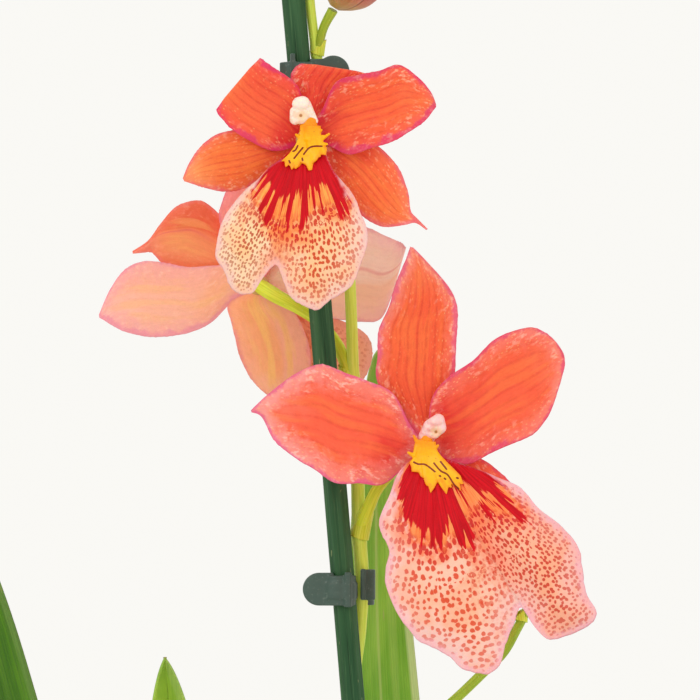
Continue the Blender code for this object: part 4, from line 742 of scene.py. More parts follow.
def lip_mesh(name, bloom, margin, middle, facing, seed):
    """A lip: it swells from its root, droops at its frilled margin, and is pleated from its focus."""
    focus = LIP_FOCUS[bloom]
    shape = (LIP_ROWS + 1, LIP_COLUMNS + 1)
    across = np.zeros(shape)
    height = np.zeros(shape)
    place = np.zeros((*shape, 3))
    for j in range(LIP_COLUMNS + 1):
        s = j / LIP_COLUMNS
        rim_x, rim_z = spline_values(margin, s)
        root_x = LIP_ROOT_LEFT[0] + (LIP_ROOT_RIGHT[0] - LIP_ROOT_LEFT[0]) * s
        root_z = LIP_ROOT_LEFT[1]
        reach = math.hypot(rim_x - root_x, rim_z - root_z)
        nibble = 0.24 * wobble(s * 95.0, seed) + 0.2 * wobble(s * 230.0, seed + 5.0)
        nibble *= float(smooth(reach, 8.0, 14.0)) / max(reach, 1.0)
        for i in range(LIP_ROWS + 1):
            t = 1.0 - (1.0 - i / LIP_ROWS) ** 1.15
            spread = t * (1.0 + nibble * t ** 8)
            across[i, j] = root_x + (rim_x - root_x) * spread
            height[i, j] = root_z + (rim_z - root_z) * spread
            place[i, j] = (s, t, reach * t)
    rim = margin_distance(across, height, across[-1], height[-1])
    for j in range(LIP_COLUMNS + 1):
        rim[:, j] = np.minimum(rim[:, j], 0.25 + 0.35 * min(j, LIP_COLUMNS - j))
    longest = place[..., 2].max()
    grid = np.zeros((*shape, 3))
    flat = np.zeros((*shape, 3))
    patch = np.zeros(shape)
    for i in range(LIP_ROWS + 1):
        for j in range(LIP_COLUMNS + 1):
            x, z, distance = across[i, j], height[i, j], place[i, j, 2]
            angle = math.atan2(x - focus[0], focus[1] - z)
            radius = math.hypot(x - focus[0], z - focus[1])
            degrees = math.degrees(angle)
            near = math.exp(-((rim[i, j] / 4.5) ** 2)) * float(smooth(distance, 7.0, 14.0))
            frill = 0.6 * math.sin(angle * 9.0 + seed) + 0.6 * wobble(angle * 6.0, seed + 2.0)
            ahead = LIP_ROOT_AHEAD + LIP_SWELL * (1.0 - math.exp(-distance / LIP_SWELL_REACH))
            ahead += -LIP_DROOP * (distance / longest) ** 3 + (frill - 0.5) * near
            for crease, width, depth, start in LIP_CREASES[bloom]:
                bend = math.exp(-(((degrees - crease) / width) ** 2))
                ahead -= depth * bend * float(smooth(radius, start, start + 7.0)) * (1.0 - 0.4 * near)
            pleat = math.sin(angle * 44.0 + 2.0 * wobble(angle * 5.0, radius * 0.1, seed))
            ahead += 0.11 * pleat * float(smooth(radius, 6.0, 9.0) * smooth(radius, 22.0, 14.0))
            ahead += 0.4 * wobble(x * 0.16, z * 0.16, seed) * float(smooth(distance, 5.0, 14.0))
            y = RECEPTACLE_DEPTH - facing * ahead
            grid[i, j] = (middle[0] + x, middle[1] + y, middle[2] + z)
            flat[i, j] = (angle, radius, rim[i, j])
            patch[i, j] = patch_reach(RED_PATCH[bloom], degrees) - radius
    thickness = LIP_RIM_THICKNESS + (LIP_MIDDLE_THICKNESS - LIP_RIM_THICKNESS) * smooth(rim, 0.0, 3.0)
    values = {"flat": flat, "place": place, "patch": patch}
    return sheet_mesh(name, grid, thickness, values, front=(0.0, -facing, 0.0))


def fused_blobs(name, blobs, pitch, rounds=4, sheets=()):
    """Overlapping ellipsoids of (middle, radii, tilt about the depth in degrees) and sheets as one body."""
    bm = bmesh.new()
    for sheet in sheets:
        bm.from_mesh(sheet)
    for centre, radii, tilt in blobs:
        shape = Matrix.Translation(Vector(centre) * MM) @ Matrix.Rotation(math.radians(tilt), 4, "Y")
        shape = shape @ Matrix.Diagonal((*(Vector(radii) * MM), 1.0))
        bmesh.ops.create_icosphere(bm, subdivisions=3, radius=1.0, matrix=shape)
    mesh = bpy.data.meshes.new(name + "_blobs")
    bm.to_mesh(mesh)
    bm.free()
    thing = bpy.data.objects.new(name, mesh)
    bpy.context.scene.collection.objects.link(thing)
    melt = thing.modifiers.new("melt", "REMESH")
    melt.mode = "VOXEL"
    melt.voxel_size = pitch * MM
    relax = thing.modifiers.new("relax", "SMOOTH")
    relax.iterations = rounds
    relax.factor = 0.5
    graph = bpy.context.evaluated_depsgraph_get()
    body = bpy.data.meshes.new_from_object(thing.evaluated_get(graph))
    bpy.data.objects.remove(thing)
    body.name = name
    body.shade_smooth()
    return body


def points_of(mesh):
    """A mesh's points in millimetres."""
    flat = np.zeros(len(mesh.vertices) * 3, np.float32)
    mesh.vertices.foreach_get("co", flat)
    return flat.reshape(-1, 3).astype(float) / MM


def set_points(mesh, points):
    mesh.vertices.foreach_set("co", (points * MM).astype(np.float32).ravel())
    mesh.update()


def keep(mesh, name, numbers):
    """Keep one number for each point of a mesh."""
    mesh.attributes.new(name, "FLOAT", "POINT").data.foreach_set("value", np.asarray(numbers, np.float32))


def finger(start, end, thick, steps=7):
    """Blobs along a short finger that narrows to its tip."""
    blobs = []
    for i in range(steps):
        f = i / (steps - 1)
        centre = [a + (b - a) * f for a, b in zip(start, end)]
        radius = thick * (1.0 - 0.5 * f)
        blobs.append((centre, (radius, radius, radius), 0.0))
    return blobs


# A callus: its neck's ends (across, height) where the fan hangs from it, and the fan's toothed outline from
# left to right, all from the bloom's middle
CALLUS_NECKS = {"upper": ((-0.8, 2.9), (2.6, 2.6)), "lower": ((-1.4, 1.6), (1.7, 1.2)),
                "back": ((-0.8, 2.6), (1.8, 2.6))}
CALLUS_FANS = {
    "upper": [(-4.9, -4.5), (-4.2, -4.5), (-4.1, -5.7), (-3.4, -4.9), (-2.8, -6.2), (-2.5, -5.1), (-2.1, -6.1),
              (-1.5, -5.7), (-1.0, -4.7), (0.0, -5.2), (0.6, -6.4), (1.3, -6.2), (1.5, -4.8), (2.3, -4.2),
              (2.3, -3.8), (3.0, -3.6), (2.9, -3.1), (4.0, -3.3), (4.2, -2.2), (3.9, -1.8)],
    "lower": [(-3.2, -3.0), (-2.8, -3.8), (-2.7, -4.8), (-1.4, -4.9), (-0.9, -5.8), (-0.1, -6.2), (0.2, -7.6),
              (0.9, -7.4), (1.0, -9.1), (1.8, -8.0), (2.5, -6.6), (3.3, -6.5), (3.9, -7.9), (4.2, -9.4), (4.6, -7.8),
              (5.3, -8.0), (4.9, -6.6), (6.1, -7.4), (7.1, -8.6), (6.8, -7.1), (7.6, -7.3), (7.0, -5.6),
              (5.6, -4.2), (3.6, -2.3)],
    "back": [(-3.6, -4.2), (-3.0, -5.0), (-2.2, -4.6), (-1.4, -5.8), (-0.6, -5.0), (0.4, -6.2), (1.2, -5.0),
             (2.2, -5.6), (2.6, -4.6), (3.6, -4.2)],
}
# Fringed wings beside the neck: (across, height) of each wing's root and tip
CALLUS_WINGS = {
    "upper": [((2.4, -0.6), (4.6, 0.9)), ((2.2, 0.0), (3.4, 0.5)), ((-0.9, 0.0), (-1.9, 0.8)),
              ((2.6, -1.0), (4.2, -1.1)), ((2.4, 1.2), (3.1, 1.7))],
    "lower": [((-1.4, 0.6), (-2.3, 2.3)), ((-2.0, -1.8), (-3.4, -1.0)), ((1.4, -0.6), (2.5, 0.4)),
              ((-1.7, 0.4), (-2.3, -1.6))],
    "back": [((-0.6, 0.9), (-2.0, 1.4)), ((1.4, 0.9), (2.8, 1.4))],
}
# Brown lines on a callus: points across and up from the bloom's middle
CALLUS_LINES = {
    "upper": [[(-0.4, -3.1), (0.6, -1.9), (1.7, -1.5), (3.2, -1.5)], [(-0.6, -1.8), (-1.5, -2.9), (-2.3, -3.9)],
              [(-1.6, -1.4), (-2.0, -2.2), (-2.5, -2.5)], [(-3.3, -4.4), (-3.1, -4.8)], [(-0.7, -3.9), (-0.6, -4.3)]],
    "lower": [[(-2.3, -2.9), (-1.4, -3.3), (0.0, -3.4), (1.9, -4.8)],
              [(1.7, -3.1), (3.0, -4.6), (4.4, -5.4), (5.6, -7.2), (6.6, -8.2)], [(3.0, -2.8), (4.2, -4.3)],
              [(2.8, -5.6), (3.0, -5.7)], [(3.8, -6.1), (4.0, -6.3)], [(6.2, -6.0), (6.5, -6.1)]],
    "back": [[(-1.4, -3.4), (0.4, -1.4)]],
}
CALLUS_COLUMNS = 150
CALLUS_ROWS = 36
CALLUS_LIFT = 1.0
CALLUS_FLARE = 2.2
CALLUS_PITCH = 0.135


def lip_front(x, z):
    """How far a lip stands ahead of the bloom's middle near its root."""
    distance = math.hypot(x, min(z - LIP_ROOT_LEFT[1], 0.0))
    return LIP_ROOT_AHEAD + LIP_SWELL * (1.0 - math.exp(-distance / LIP_SWELL_REACH))


def along_line(points, place):
    """The point at a share of the way through a row of points, with its corners kept."""
    at = min(max(place, 0.0), 1.0) * (len(points) - 1)
    i = min(int(at), len(points) - 2)
    return [a + (b - a) * (at - i) for a, b in zip(points[i], points[i + 1])]


def callus_mesh(name, bloom, middle, facing):
    """A callus: a stout neck that opens into a fleshy toothed fan, with fringed wings, and brown lines."""
    left, right = CALLUS_NECKS[bloom]

    def spot(x, z, lift):
        return (middle[0] + x, middle[1] + RECEPTACLE_DEPTH - facing * (lip_front(x, z) + lift), middle[2] + z)

    grid = np.zeros((CALLUS_ROWS + 1, CALLUS_COLUMNS + 1, 3))
    thickness = np.zeros((CALLUS_ROWS + 1, CALLUS_COLUMNS + 1))
    for j in range(CALLUS_COLUMNS + 1):
        s = j / CALLUS_COLUMNS
        rim_x, rim_z = along_line(CALLUS_FANS[bloom], s)
        for i in range(CALLUS_ROWS + 1):
            t = i / CALLUS_ROWS
            root_x = left[0] + (right[0] - left[0]) * s
            root_z = left[1] + (right[1] - left[1]) * s
            x = root_x + (rim_x - root_x) * t ** CALLUS_FLARE
            z = root_z + (rim_z - root_z) * t
            hump = math.sin(math.pi * s) ** 0.5
            fold = 0.16 * math.sin(TAU * 4.5 * s + 1.0) * t
            grid[i, j] = spot(x, z, CALLUS_LIFT - 0.35 * t + 0.7 * hump * (1.0 - t) + fold)
            thickness[i, j] = 0.42 + 1.5 * hump * (1.0 - t) ** 0.8 + 0.3 * (1.0 - t)
    fan = sheet_mesh(name + "_fan", grid, thickness, {})
    blobs = []
    for i in range(12):
        f = i / 11.0
        x = 0.5 * (left[0] + right[0])
        z = 0.5 * (left[1] + right[1]) + 0.9 - 3.6 * f
        blobs.append((spot(x, z, 1.2), (0.42 * (right[0] - left[0]), 1.1, 0.9), 0.0))
    for (x_a, z_a), (x_b, z_b) in CALLUS_WINGS[bloom]:
        blobs += finger(spot(x_a, z_a, 0.8), spot(x_b, z_b, 1.3), 0.55)
    mesh = fused_blobs(name, blobs, CALLUS_PITCH, 2, [fan])
    points = points_of(mesh)
    x = points[:, 0] - middle[0]
    z = points[:, 2] - middle[2]
    nearest = np.full(len(points), 9.0)
    for line in CALLUS_LINES[bloom]:
        for i in range(40):
            line_x, line_z = spline_values(line, i / 39.0)
            nearest = np.minimum(nearest, np.hypot(x - line_x, z - line_z))
    fan_edge = np.array([along_line(CALLUS_FANS[bloom], i / 239.0) for i in range(240)])
    outline = margin_distance(x, z, fan_edge[:, 0], fan_edge[:, 1])
    keep(mesh, "brown", smooth(nearest, 0.22, 0.08))
    keep(mesh, "rim", smooth(outline, 0.7, 0.1))
    keep(mesh, "down", left[1] - z)
    return mesh


# A column: chains of balls from (across, ahead of the middle, height, radius) to another
COLUMN_CHAINS = {
    "upper": [((-1.3, 5.4, 6.9, 1.45), (-0.6, 5.4, 7.0, 1.5)), ((-0.8, 4.9, 6.2, 1.7), (-0.8, 4.6, 4.9, 2.1)),
              ((-2.1, 4.8, 5.4, 1.1), (-2.1, 5.0, 3.9, 1.15)), ((0.0, 5.1, 6.6, 1.2), (1.9, 4.9, 3.5, 0.62)),
              ((-0.6, 4.6, 4.6, 1.7), (0.6, 4.2, 3.8, 1.3)), ((0.6, 3.6, 3.4, 1.3), (0.8, 2.6, 2.2, 1.3))],
    "lower": [((-0.5, 4.2, 2.2, 0.95), (0.9, 4.7, 4.2, 1.35)), ((0.9, 4.8, 4.2, 1.4), (2.6, 5.4, 5.5, 1.25)),
              ((2.6, 5.4, 5.2, 1.3), (3.0, 5.2, 3.9, 1.2)), ((2.9, 5.0, 3.6, 0.95), (1.9, 4.6, 2.6, 0.9)),
              ((0.2, 4.3, 2.6, 1.1), (1.9, 4.6, 3.0, 1.1)), ((1.0, 3.6, 2.6, 1.3), (0.4, 2.6, 1.4, 1.3))],
}
# Brown stains on a column, and its hollow: (across, height, radius) and the hollow's depth
COLUMN_STAINS = {"upper": [(-1.0, 4.6, 0.42), (1.5, 3.6, 0.2), (1.4, 3.3, 0.2), (0.2, 3.1, 0.14)],
                 "lower": [(2.1, 3.1, 0.4), (0.0, 1.6, 0.2)]}
COLUMN_HOLLOWS = {"upper": (-0.8, 4.5, 0.9, 0.55), "lower": (2.1, 3.1, 0.7, 0.5)}


def column_mesh(name, bloom, middle, facing):
    """The white column in the bloom's middle, with its cap, side wings and stained hollow."""
    blobs = []
    for start, end in COLUMN_CHAINS[bloom]:
        for i in range(9):
            x, ahead, z, radius = [a + (b - a) * i / 8.0 for a, b in zip(start, end)]
            place = (middle[0] + x, middle[1] + RECEPTACLE_DEPTH - facing * ahead, middle[2] + z)
            blobs.append((place, (radius, 0.85 * radius, radius), 0.0))
    mesh = fused_blobs(name, blobs, 0.13, 9)
    points = points_of(mesh)
    x = points[:, 0] - middle[0]
    z = points[:, 2] - middle[2]
    ahead = facing * (middle[1] + RECEPTACLE_DEPTH - points[:, 1])
    hollow_x, hollow_z, width, depth = COLUMN_HOLLOWS[bloom]
    near = np.hypot(x - hollow_x, z - hollow_z)
    points[:, 1] += facing * depth * np.exp(-(near / width) ** 2) * smooth(ahead, 4.6, 5.6)
    brow = np.exp(-((z - hollow_z - 1.2 - 0.15 * (x - hollow_x) ** 2) / 0.35) ** 2)
    points[:, 1] += facing * 0.22 * brow * smooth(ahead, 4.6, 5.6)
    set_points(mesh, points)
    stain = np.zeros(len(points))
    for stain_x, stain_z, radius in COLUMN_STAINS[bloom]:
        close = np.hypot(x - stain_x, z - stain_z)
        stain = np.maximum(stain, smooth(close, radius, 0.5 * radius) * smooth(ahead, 4.0, 4.8))
    keep(mesh, "stain", stain)
    keep(mesh, "halo", smooth(near, 1.8, 0.4) * smooth(ahead, 4.0, 4.8))
    keep(mesh, "cap", smooth(z, hollow_z + 1.0, hollow_z + 2.4))
    return mesh


def heart_mesh(name, middle, facing):
    """The short neck behind a bloom, where its petals and sepals meet."""
    x, y, z = middle
    blobs = [((x, y + RECEPTACLE_DEPTH, z), (2.2, 1.9, 2.2), 0.0),
             ((x, y + RECEPTACLE_DEPTH - 1.6 * facing, z - 1.0), (1.9, 1.6, 1.7), 0.0),
             ((x, y + RECEPTACLE_DEPTH + 1.2 * facing, z), (1.6, 1.4, 1.6), 0.0)]
    return fused_blobs(name, blobs, 0.3, 3)


def denser(line, count):
    return [spline_values(line, i / (count - 1)) for i in range(count)]


# Heights of the joints in the spike's stem, where it is a little thicker
STEM_JOINTS = (144.0, 216.0, 288.0, 339.0, 393.0, 424.0, 456.0, 489.5, 509.0)
OVARY_SWELL = 0.12


def stem_mesh(name, line, count, material, joints=()):
    points = denser(line, count)
    for p in points:
        p[3] += sum(0.22 * math.exp(-(((p[2] - height) / 1.5) ** 2)) for height in joints)
    return swept(name, points, 28, 5.0, 0.035, material=material)


def pedicel_mesh(name, line, material):
    """A pedicel: its last stretch, behind the bloom or bud, is the swollen and ribbed ovary."""
    count = 70
    points = denser(line, count)
    ribbing = []
    for i, p in enumerate(points):
        swell = float(smooth(i / (count - 1), 0.5, 0.8)) if "bud" not in name else 0.3
        p[3] += OVARY_SWELL * swell * (1.0 - 0.5 * float(smooth(i / (count - 1), 0.9, 1.0)))
        ribbing.append(swell)
    return swept(name, points, 36, 6.0, 0.09, ribbing, material)


# A bud's outline: radius at each share of its length
BUD_OUTLINE = [(0.0, 0.18), (0.04, 0.36), (0.1, 0.58), (0.22, 0.84), (0.42, 1.0), (0.6, 0.97), (0.76, 0.82),
               (0.88, 0.58), (0.96, 0.32), (1.0, 0.06)]


def bud_mesh(name, base, direction, length, radius, material):
    """A bud: three sepals close over it, with a groove between each two, and its tip nods a little."""
    aim = Vector(direction).normalized()
    nod = Vector((aim.x, aim.y, 0.0)) * 0.06 * length
    points = []
    ribbing = []
    for i in range(44):
        f = i / 43.0
        share, full = spline_values(BUD_OUTLINE, f)
        place = Vector(base) + aim * (length * share) + nod * share * share
        points.append((*place, max(radius * full, 0.05)))
        ribbing.append(float(smooth(share, 0.02, 0.3)) * float(smooth(share, 1.0, 0.9)))
    return swept(name, points, 48, 3.0, 0.055 * radius, ribbing, material)


def bract_mesh(name, base, direction, length, radius):
    """A papery bract that clasps the stem and ends in a point."""
    rows, columns = 26, 18
    aim = Vector(direction).normalized()
    turn = aim.to_track_quat("Z", "Y").to_matrix()
    lean = Vector((aim.x, aim.y, 0.0))
    lean = lean.normalized() if lean.length > 0.01 else Vector((1.0, 0.0, 0.0))
    open_side = turn.transposed() @ -lean
    start = math.atan2(open_side.y, open_side.x) + math.pi
    grid = np.zeros((rows + 1, columns + 1, 3))
    side = np.zeros((rows + 1, columns + 1))
    along = np.zeros_like(side)
    for i in range(rows + 1):
        u = i / rows
        reach = math.radians(172.0) * (1.0 - u ** 1.7) ** 0.75 + 0.05
        girth = radius * (1.02 - 0.42 * u) + 0.12 * radius * u * u
        for j in range(columns + 1):
            w = 2.0 * j / columns - 1.0
            angle = start + w * reach
            shift = 0.04 * wobble(u * 3.0, w * 2.0, radius)
            local = Vector((girth * math.cos(angle), girth * math.sin(angle), length * u)) * (1.0 + 0.2 * shift)
            grid[i, j] = Vector(base) + turn @ local
            side[i, j] = w
            along[i, j] = u
    thickness = 0.1 + 0.22 * (1.0 - along) * (1.0 - side ** 2)
    return sheet_mesh(name, grid, thickness, blade_values(grid, along, side))


def leaf_tree():
    """A strap leaf: a V-folded blade that follows its middle line, with ribs and a little waving."""
    g = Growth("strap_leaf", {"Turn": 0.0, "Half Width": 0.01, "Fold Base": 1.0, "Fold Tip": 0.5, "Length": 0.3,
                              "Thickness": 0.0009, "Point": 0.66, "Rows": 120, "Columns": 19, "Seed": 0.0})
    size = g.inlet
    blade = g.node("GeometryNodeMeshGrid", {"Size X": 2.0, "Size Y": 1.0, "Vertices X": size["Columns"],
                                            "Vertices Y": size["Rows"]}).outputs["Mesh"]
    spot = g.parts(g.node("GeometryNodeInputPosition").outputs[0])
    side = spot[0]
    along = g.calc("ADD", spot[1], 0.5)
    here = g.calc("ROUND", g.calc("MULTIPLY", along, g.calc("SUBTRACT", size["Rows"], 1.0)))

    def line_point(shift):
        index = g.calc("ADD", here, shift)
        return g.out("GeometryNodeSampleIndex", {"Geometry": size["Geometry"], "Index": index,
                                                 "Value": g.node("GeometryNodeInputPosition").outputs[0]},
                     data_type="FLOAT_VECTOR", domain="POINT", clamp=True)

    way = g.vector("NORMALIZE", g.vector("SUBTRACT", line_point(2.0), line_point(-2.0)))
    flat_side = g.combine(g.calc("COSINE", size["Turn"]), g.calc("SINE", size["Turn"]))
    lean = g.node("ShaderNodeVectorMath", {0: flat_side, 1: way}, operation="DOT_PRODUCT").outputs["Value"]
    slip = g.node("ShaderNodeVectorMath", {0: way, "Scale": lean}, operation="SCALE").outputs[0]
    across = g.vector("NORMALIZE", g.vector("SUBTRACT", flat_side, slip))
    up = g.vector("CROSS_PRODUCT", across, way)

    widen = g.calc("MINIMUM", g.calc("MULTIPLY_ADD", along, 1.6, 0.52), 1.0)
    taper = g.calc("POWER", g.calc("SUBTRACT", 1.002, g.calc("POWER", along, 3.2)), size["Point"])
    half = g.calc("MULTIPLY", size["Half Width"], g.calc("MULTIPLY", widen, taper))
    opened = g.calc("MINIMUM", g.calc("MULTIPLY", along, 1.5), 1.0)
    change = g.calc("SUBTRACT", size["Fold Tip"], size["Fold Base"])
    fold = g.calc("ADD", size["Fold Base"], g.calc("MULTIPLY", change, opened))
    bowl = g.calc("SUBTRACT", g.calc("SQRT", g.calc("MULTIPLY_ADD", side, side, 0.012)), 0.1095)
    out = g.calc("MULTIPLY", g.calc("MULTIPLY", side, half), g.calc("COSINE", fold))
    rise = g.calc("MULTIPLY", g.calc("MULTIPLY", bowl, half), g.calc("SINE", fold))
    wave_place = g.combine(g.calc("MULTIPLY", side, 0.7), g.calc("MULTIPLY", along, 7.0), size["Seed"])
    wave = g.calc("SUBTRACT", g.noise(wave_place, 1.0, 1.0), 0.5)
    rise = g.calc("ADD", rise, g.calc("MULTIPLY", g.calc("MULTIPLY", wave, g.calc("ABSOLUTE", side)),
                                      g.calc("MULTIPLY", half, 0.22)))
    middle = line_point(0.0)
    to_side = g.node("ShaderNodeVectorMath", {0: across, "Scale": out}, operation="SCALE").outputs[0]
    to_top = g.node("ShaderNodeVectorMath", {0: up, "Scale": rise}, operation="SCALE").outputs[0]
    place = g.vector("ADD", middle, g.vector("ADD", to_side, to_top))

    rim = g.calc("MULTIPLY", g.calc("SUBTRACT", 1.0, g.calc("ABSOLUTE", side)), half)
    facts = g.combine(side, along, 0.0)
    sizes = g.combine(g.calc("MULTIPLY", g.calc("MULTIPLY", side, half), 1000.0),
                      g.calc("MULTIPLY", g.calc("MULTIPLY", along, size["Length"]), 1000.0),
                      g.calc("MULTIPLY", rim, 1000.0))
    blade = g.store(blade, "place", facts, "FLOAT_VECTOR")
    blade = g.store(blade, "flat", sizes, "FLOAT_VECTOR")
    blade = g.out("GeometryNodeSetPosition", {"Geometry": blade, "Position": place})
    thick = g.node("GeometryNodeExtrudeMesh", {"Mesh": blade, "Offset Scale": size["Thickness"],
                                               "Individual": False}, mode="FACES")
    upper = g.store(thick.outputs["Mesh"], "under", 0.0)
    lower = g.store(g.node("GeometryNodeFlipFaces", {"Mesh": blade}).outputs["Mesh"], "under", 1.0)
    both = g.node("GeometryNodeJoinGeometry")
    g.tree.links.new(upper, both.inputs[0])
    g.tree.links.new(lower, both.inputs[0])
    whole = g.out("GeometryNodeMergeByDistance", {"Geometry": both.outputs[0], "Distance": 0.000002})
    return g.finish(whole)


LEAF_ROWS = 120


# How far a leaf's foot runs down into its bulb, and where the feet that clasp a bulb's side begin
LEAF_SEAT = 2.5
LEAF_POINTS = {"leaf_4": 0.9}
CLASPING_FEET = {"leaf_2": (36.0, 22.6, 91.0), "leaf_5": (2.6, 22.6, 90.0)}


def leaf_mesh(name, spec, seed, material):
    points, turn, half_width, fold_base, fold_tip = spec
    leaf = name.removeprefix("strap_")
    if leaf in CLASPING_FEET:
        points = [CLASPING_FEET[leaf]] + points
    else:
        seat = (Vector(points[0]) - Vector(points[1])).normalized() * LEAF_SEAT
        points = [tuple(Vector(points[0]) + seat)] + points[1:]
    line = denser(points, LEAF_ROWS)
    length = sum((Vector(b) - Vector(a)).length for a, b in zip(line, line[1:]))
    guide = guide_line(name + "_line", line)
    return grown(name, guide, TREES["leaf"], turn=math.radians(turn), half_width=half_width * MM,
                 fold_base=math.radians(fold_base), fold_tip=math.radians(fold_tip), length=length * MM,
                 thickness=LEAF_THICKNESS * MM * 0.8, point=LEAF_POINTS.get(leaf, 0.66), rows=LEAF_ROWS, columns=25, seed=float(seed),
                 material=material)


# A pseudobulb's outline: share of its height and of its greatest radius, from the top down
BULB_OUTLINE = [(1.0, 0.02), (0.995, 0.13), (0.98, 0.2), (0.95, 0.26), (0.92, 0.31), (0.78, 0.56), (0.60, 0.82),
                (0.42, 0.97), (0.26, 1.0), (0.12, 0.86), (0.02, 0.60), (0.0, 0.5), (0.0, 0.02)]


def bulb_point(spec, share, full, angle, extra=0.0):
    x, y, turn, half_width, half_thickness, top = spec
    spin = math.radians(turn)
    out_x = (half_width * full + extra) * math.cos(angle)
    out_y = (half_thickness * full + extra) * math.sin(angle)
    return (x + out_x * math.cos(spin) - out_y * math.sin(spin), y + out_x * math.sin(spin) + out_y * math.cos(spin),
            BULB_FOOT + (top - BULB_FOOT) * share)


def bulb_mesh(name, spec, seed):
    """A flattened pseudobulb with low lengthwise ribs and wrinkles."""
    rings, around = 70, 96
    verts = []
    facts = []
    for i in range(rings + 1):
        share, full = spline_values(BULB_OUTLINE, i / rings)
        share = min(max(share, 0.0), 1.0)
        for k in range(around):
            angle = TAU * k / around
            ribs = 0.16 * math.cos(9.0 * angle + 1.5 * wobble(share * 2.0, angle, seed))
            ribs += 0.22 * wobble(6.0 * math.cos(angle), 6.0 * math.sin(angle), share * 1.3 + seed)
            ribs *= min(1.0, 1.4 * full)
            verts.append(Vector(bulb_point(spec, share, max(full, 0.02), angle, ribs)) * MM)
            facts.append((k / around, share, 1.0))
    faces = []
    for i in range(rings):
        for k in range(around):
            n = (k + 1) % around
            faces.append((i * around + k, (i + 1) * around + k, (i + 1) * around + n, i * around + n))
    faces.append(tuple(range(around)))
    faces.append(tuple(reversed(range(rings * around, (rings + 1) * around))))
    mesh = bpy.data.meshes.new(name)
    mesh.from_pydata(verts, [], faces)
    mesh.attributes.new("place", "FLOAT_VECTOR", "POINT").data.foreach_set(
        "vector", np.array(facts, np.float32).ravel())
    bm = bmesh.new()
    bm.from_mesh(mesh)
    bmesh.ops.recalc_face_normals(bm, faces=bm.faces)
    bm.to_mesh(mesh)
    bm.free()
    mesh.shade_smooth()
    return mesh


def bulb_full(share):
    """A pseudobulb's share of its greatest radius at a share of its height."""
    rows = BULB_OUTLINE[:-1][::-1]
    for (low, a), (high, b) in zip(rows, rows[1:]):
        if low <= share <= high and high > low:
            return a + (b - a) * (share - low) / (high - low)
    return rows[0][1]


def sheath_mesh(name, spec, start, reach, height, seed):
    """A dry papery sheath that wraps part of a pseudobulb and ends in a torn point."""
    rows, columns = 46, 40
    grid = np.zeros((rows + 1, columns + 1, 3))
    side = np.zeros((rows + 1, columns + 1))
    along = np.zeros_like(side)
    for j in range(columns + 1):
        w = 2.0 * j / columns - 1.0
        torn = 0.05 * wobble(w * 9.0, seed) + 0.03 * wobble(w * 31.0, seed)
        tall = height * (1.0 - 0.55 * abs(w) ** 1.6) * (1.0 + torn)
        for i in range(rows + 1):
            u = i / rows
            share = 0.015 + (tall - 0.015) * u
            lift = 0.5 + 1.3 * u ** 5 * (0.5 + 0.5 * wobble(w * 3.0, seed + 4.0)) + 0.2 * wobble(w * 8.0, u * 3.0, seed)
            angle = math.radians(start + reach * w)
            grid[i, j] = bulb_point(spec, share, bulb_full(share), angle, max(lift, 0.35))
            side[i, j] = w
            along[i, j] = u
    thickness = np.full_like(side, 0.22)
    return sheet_mesh(name, grid, thickness, blade_values(grid, along, side))


def bark_tree():
    """Bark chips that lie over the top of the medium, each turned, sized and broken differently."""
    g = Growth("bark_chips", {"Spacing": 0.005, "Seed": 3, "Chip Length": 0.013, "Chip Width": 0.008,
                              "Chip Depth": 0.0045, "Tip": 0.45, "Roughness": 0.0012,
                              "Reach": 0.054})
    size = g.inlet
    spread = g.node("GeometryNodeDistributePointsOnFaces", {"Mesh": size["Geometry"], "Distance Min": size["Spacing"],
                                                            "Density Max": 90000.0, "Seed": size["Seed"]},
                    distribute_method="POISSON")
    chip = g.node("GeometryNodeMeshCube", {"Size": g.combine(size["Chip Length"], size["Chip Width"],
                                                             size["Chip Depth"]),
                                           "Vertices X": 7, "Vertices Y": 5, "Vertices Z": 4}).outputs["Mesh"]
    low = g.combine(g.calc("MULTIPLY", size["Tip"], -1.0), g.calc("MULTIPLY", size["Tip"], -1.0), 0.0)
    turn = g.out("FunctionNodeRandomValue", {"Min": low, "Max": g.combine(size["Tip"], size["Tip"], TAU),
                                             "Seed": 11}, data_type="FLOAT_VECTOR")
    scale = g.out("FunctionNodeRandomValue", {"Min": (0.55, 0.6, 0.6), "Max": (1.35, 1.3, 1.25), "Seed": 12},
                  data_type="FLOAT_VECTOR")
    placed = g.node("GeometryNodeInstanceOnPoints", {"Points": spread.outputs["Points"], "Instance": chip,
                                                     "Rotation": turn, "Scale": scale}).outputs["Instances"]
    shade = g.out("FunctionNodeRandomValue", {"Min": 0.0, "Max": 1.0, "Seed": 13}, data_type="FLOAT")
    placed = g.out("GeometryNodeStoreNamedAttribute", {"Geometry": placed, "Name": "chip", "Value": shade},
                   data_type="FLOAT", domain="INSTANCE")
    real = g.out("GeometryNodeRealizeInstances", {"Geometry": placed})
    spot = g.node("GeometryNodeInputPosition").outputs[0]
    coarse = g.node("ShaderNodeTexNoise", {"Vector": spot, "Scale": 260.0, "Detail": 3.0}).outputs["Color"]
    push = g.vector("SUBTRACT", coarse, (0.5, 0.5, 0.5))
    push = g.node("ShaderNodeVectorMath", {0: push, "Scale": g.calc("MULTIPLY", size["Roughness"], 3.0)},
                  operation="SCALE").outputs[0]
    moved = g.vector("ADD", spot, push)
    level = g.parts(moved)
    out = g.node("ShaderNodeVectorMath", {0: g.combine(level[0], level[1], 0.0)}, operation="LENGTH").outputs["Value"]
    inward = g.calc("MINIMUM", g.calc("DIVIDE", size["Reach"], out), 1.0)
    moved = g.combine(g.calc("MULTIPLY", level[0], inward), g.calc("MULTIPLY", level[1], inward), level[2])
    rough = g.out("GeometryNodeSetPosition", {"Geometry": real, "Position": moved})
    return g.finish(rough)


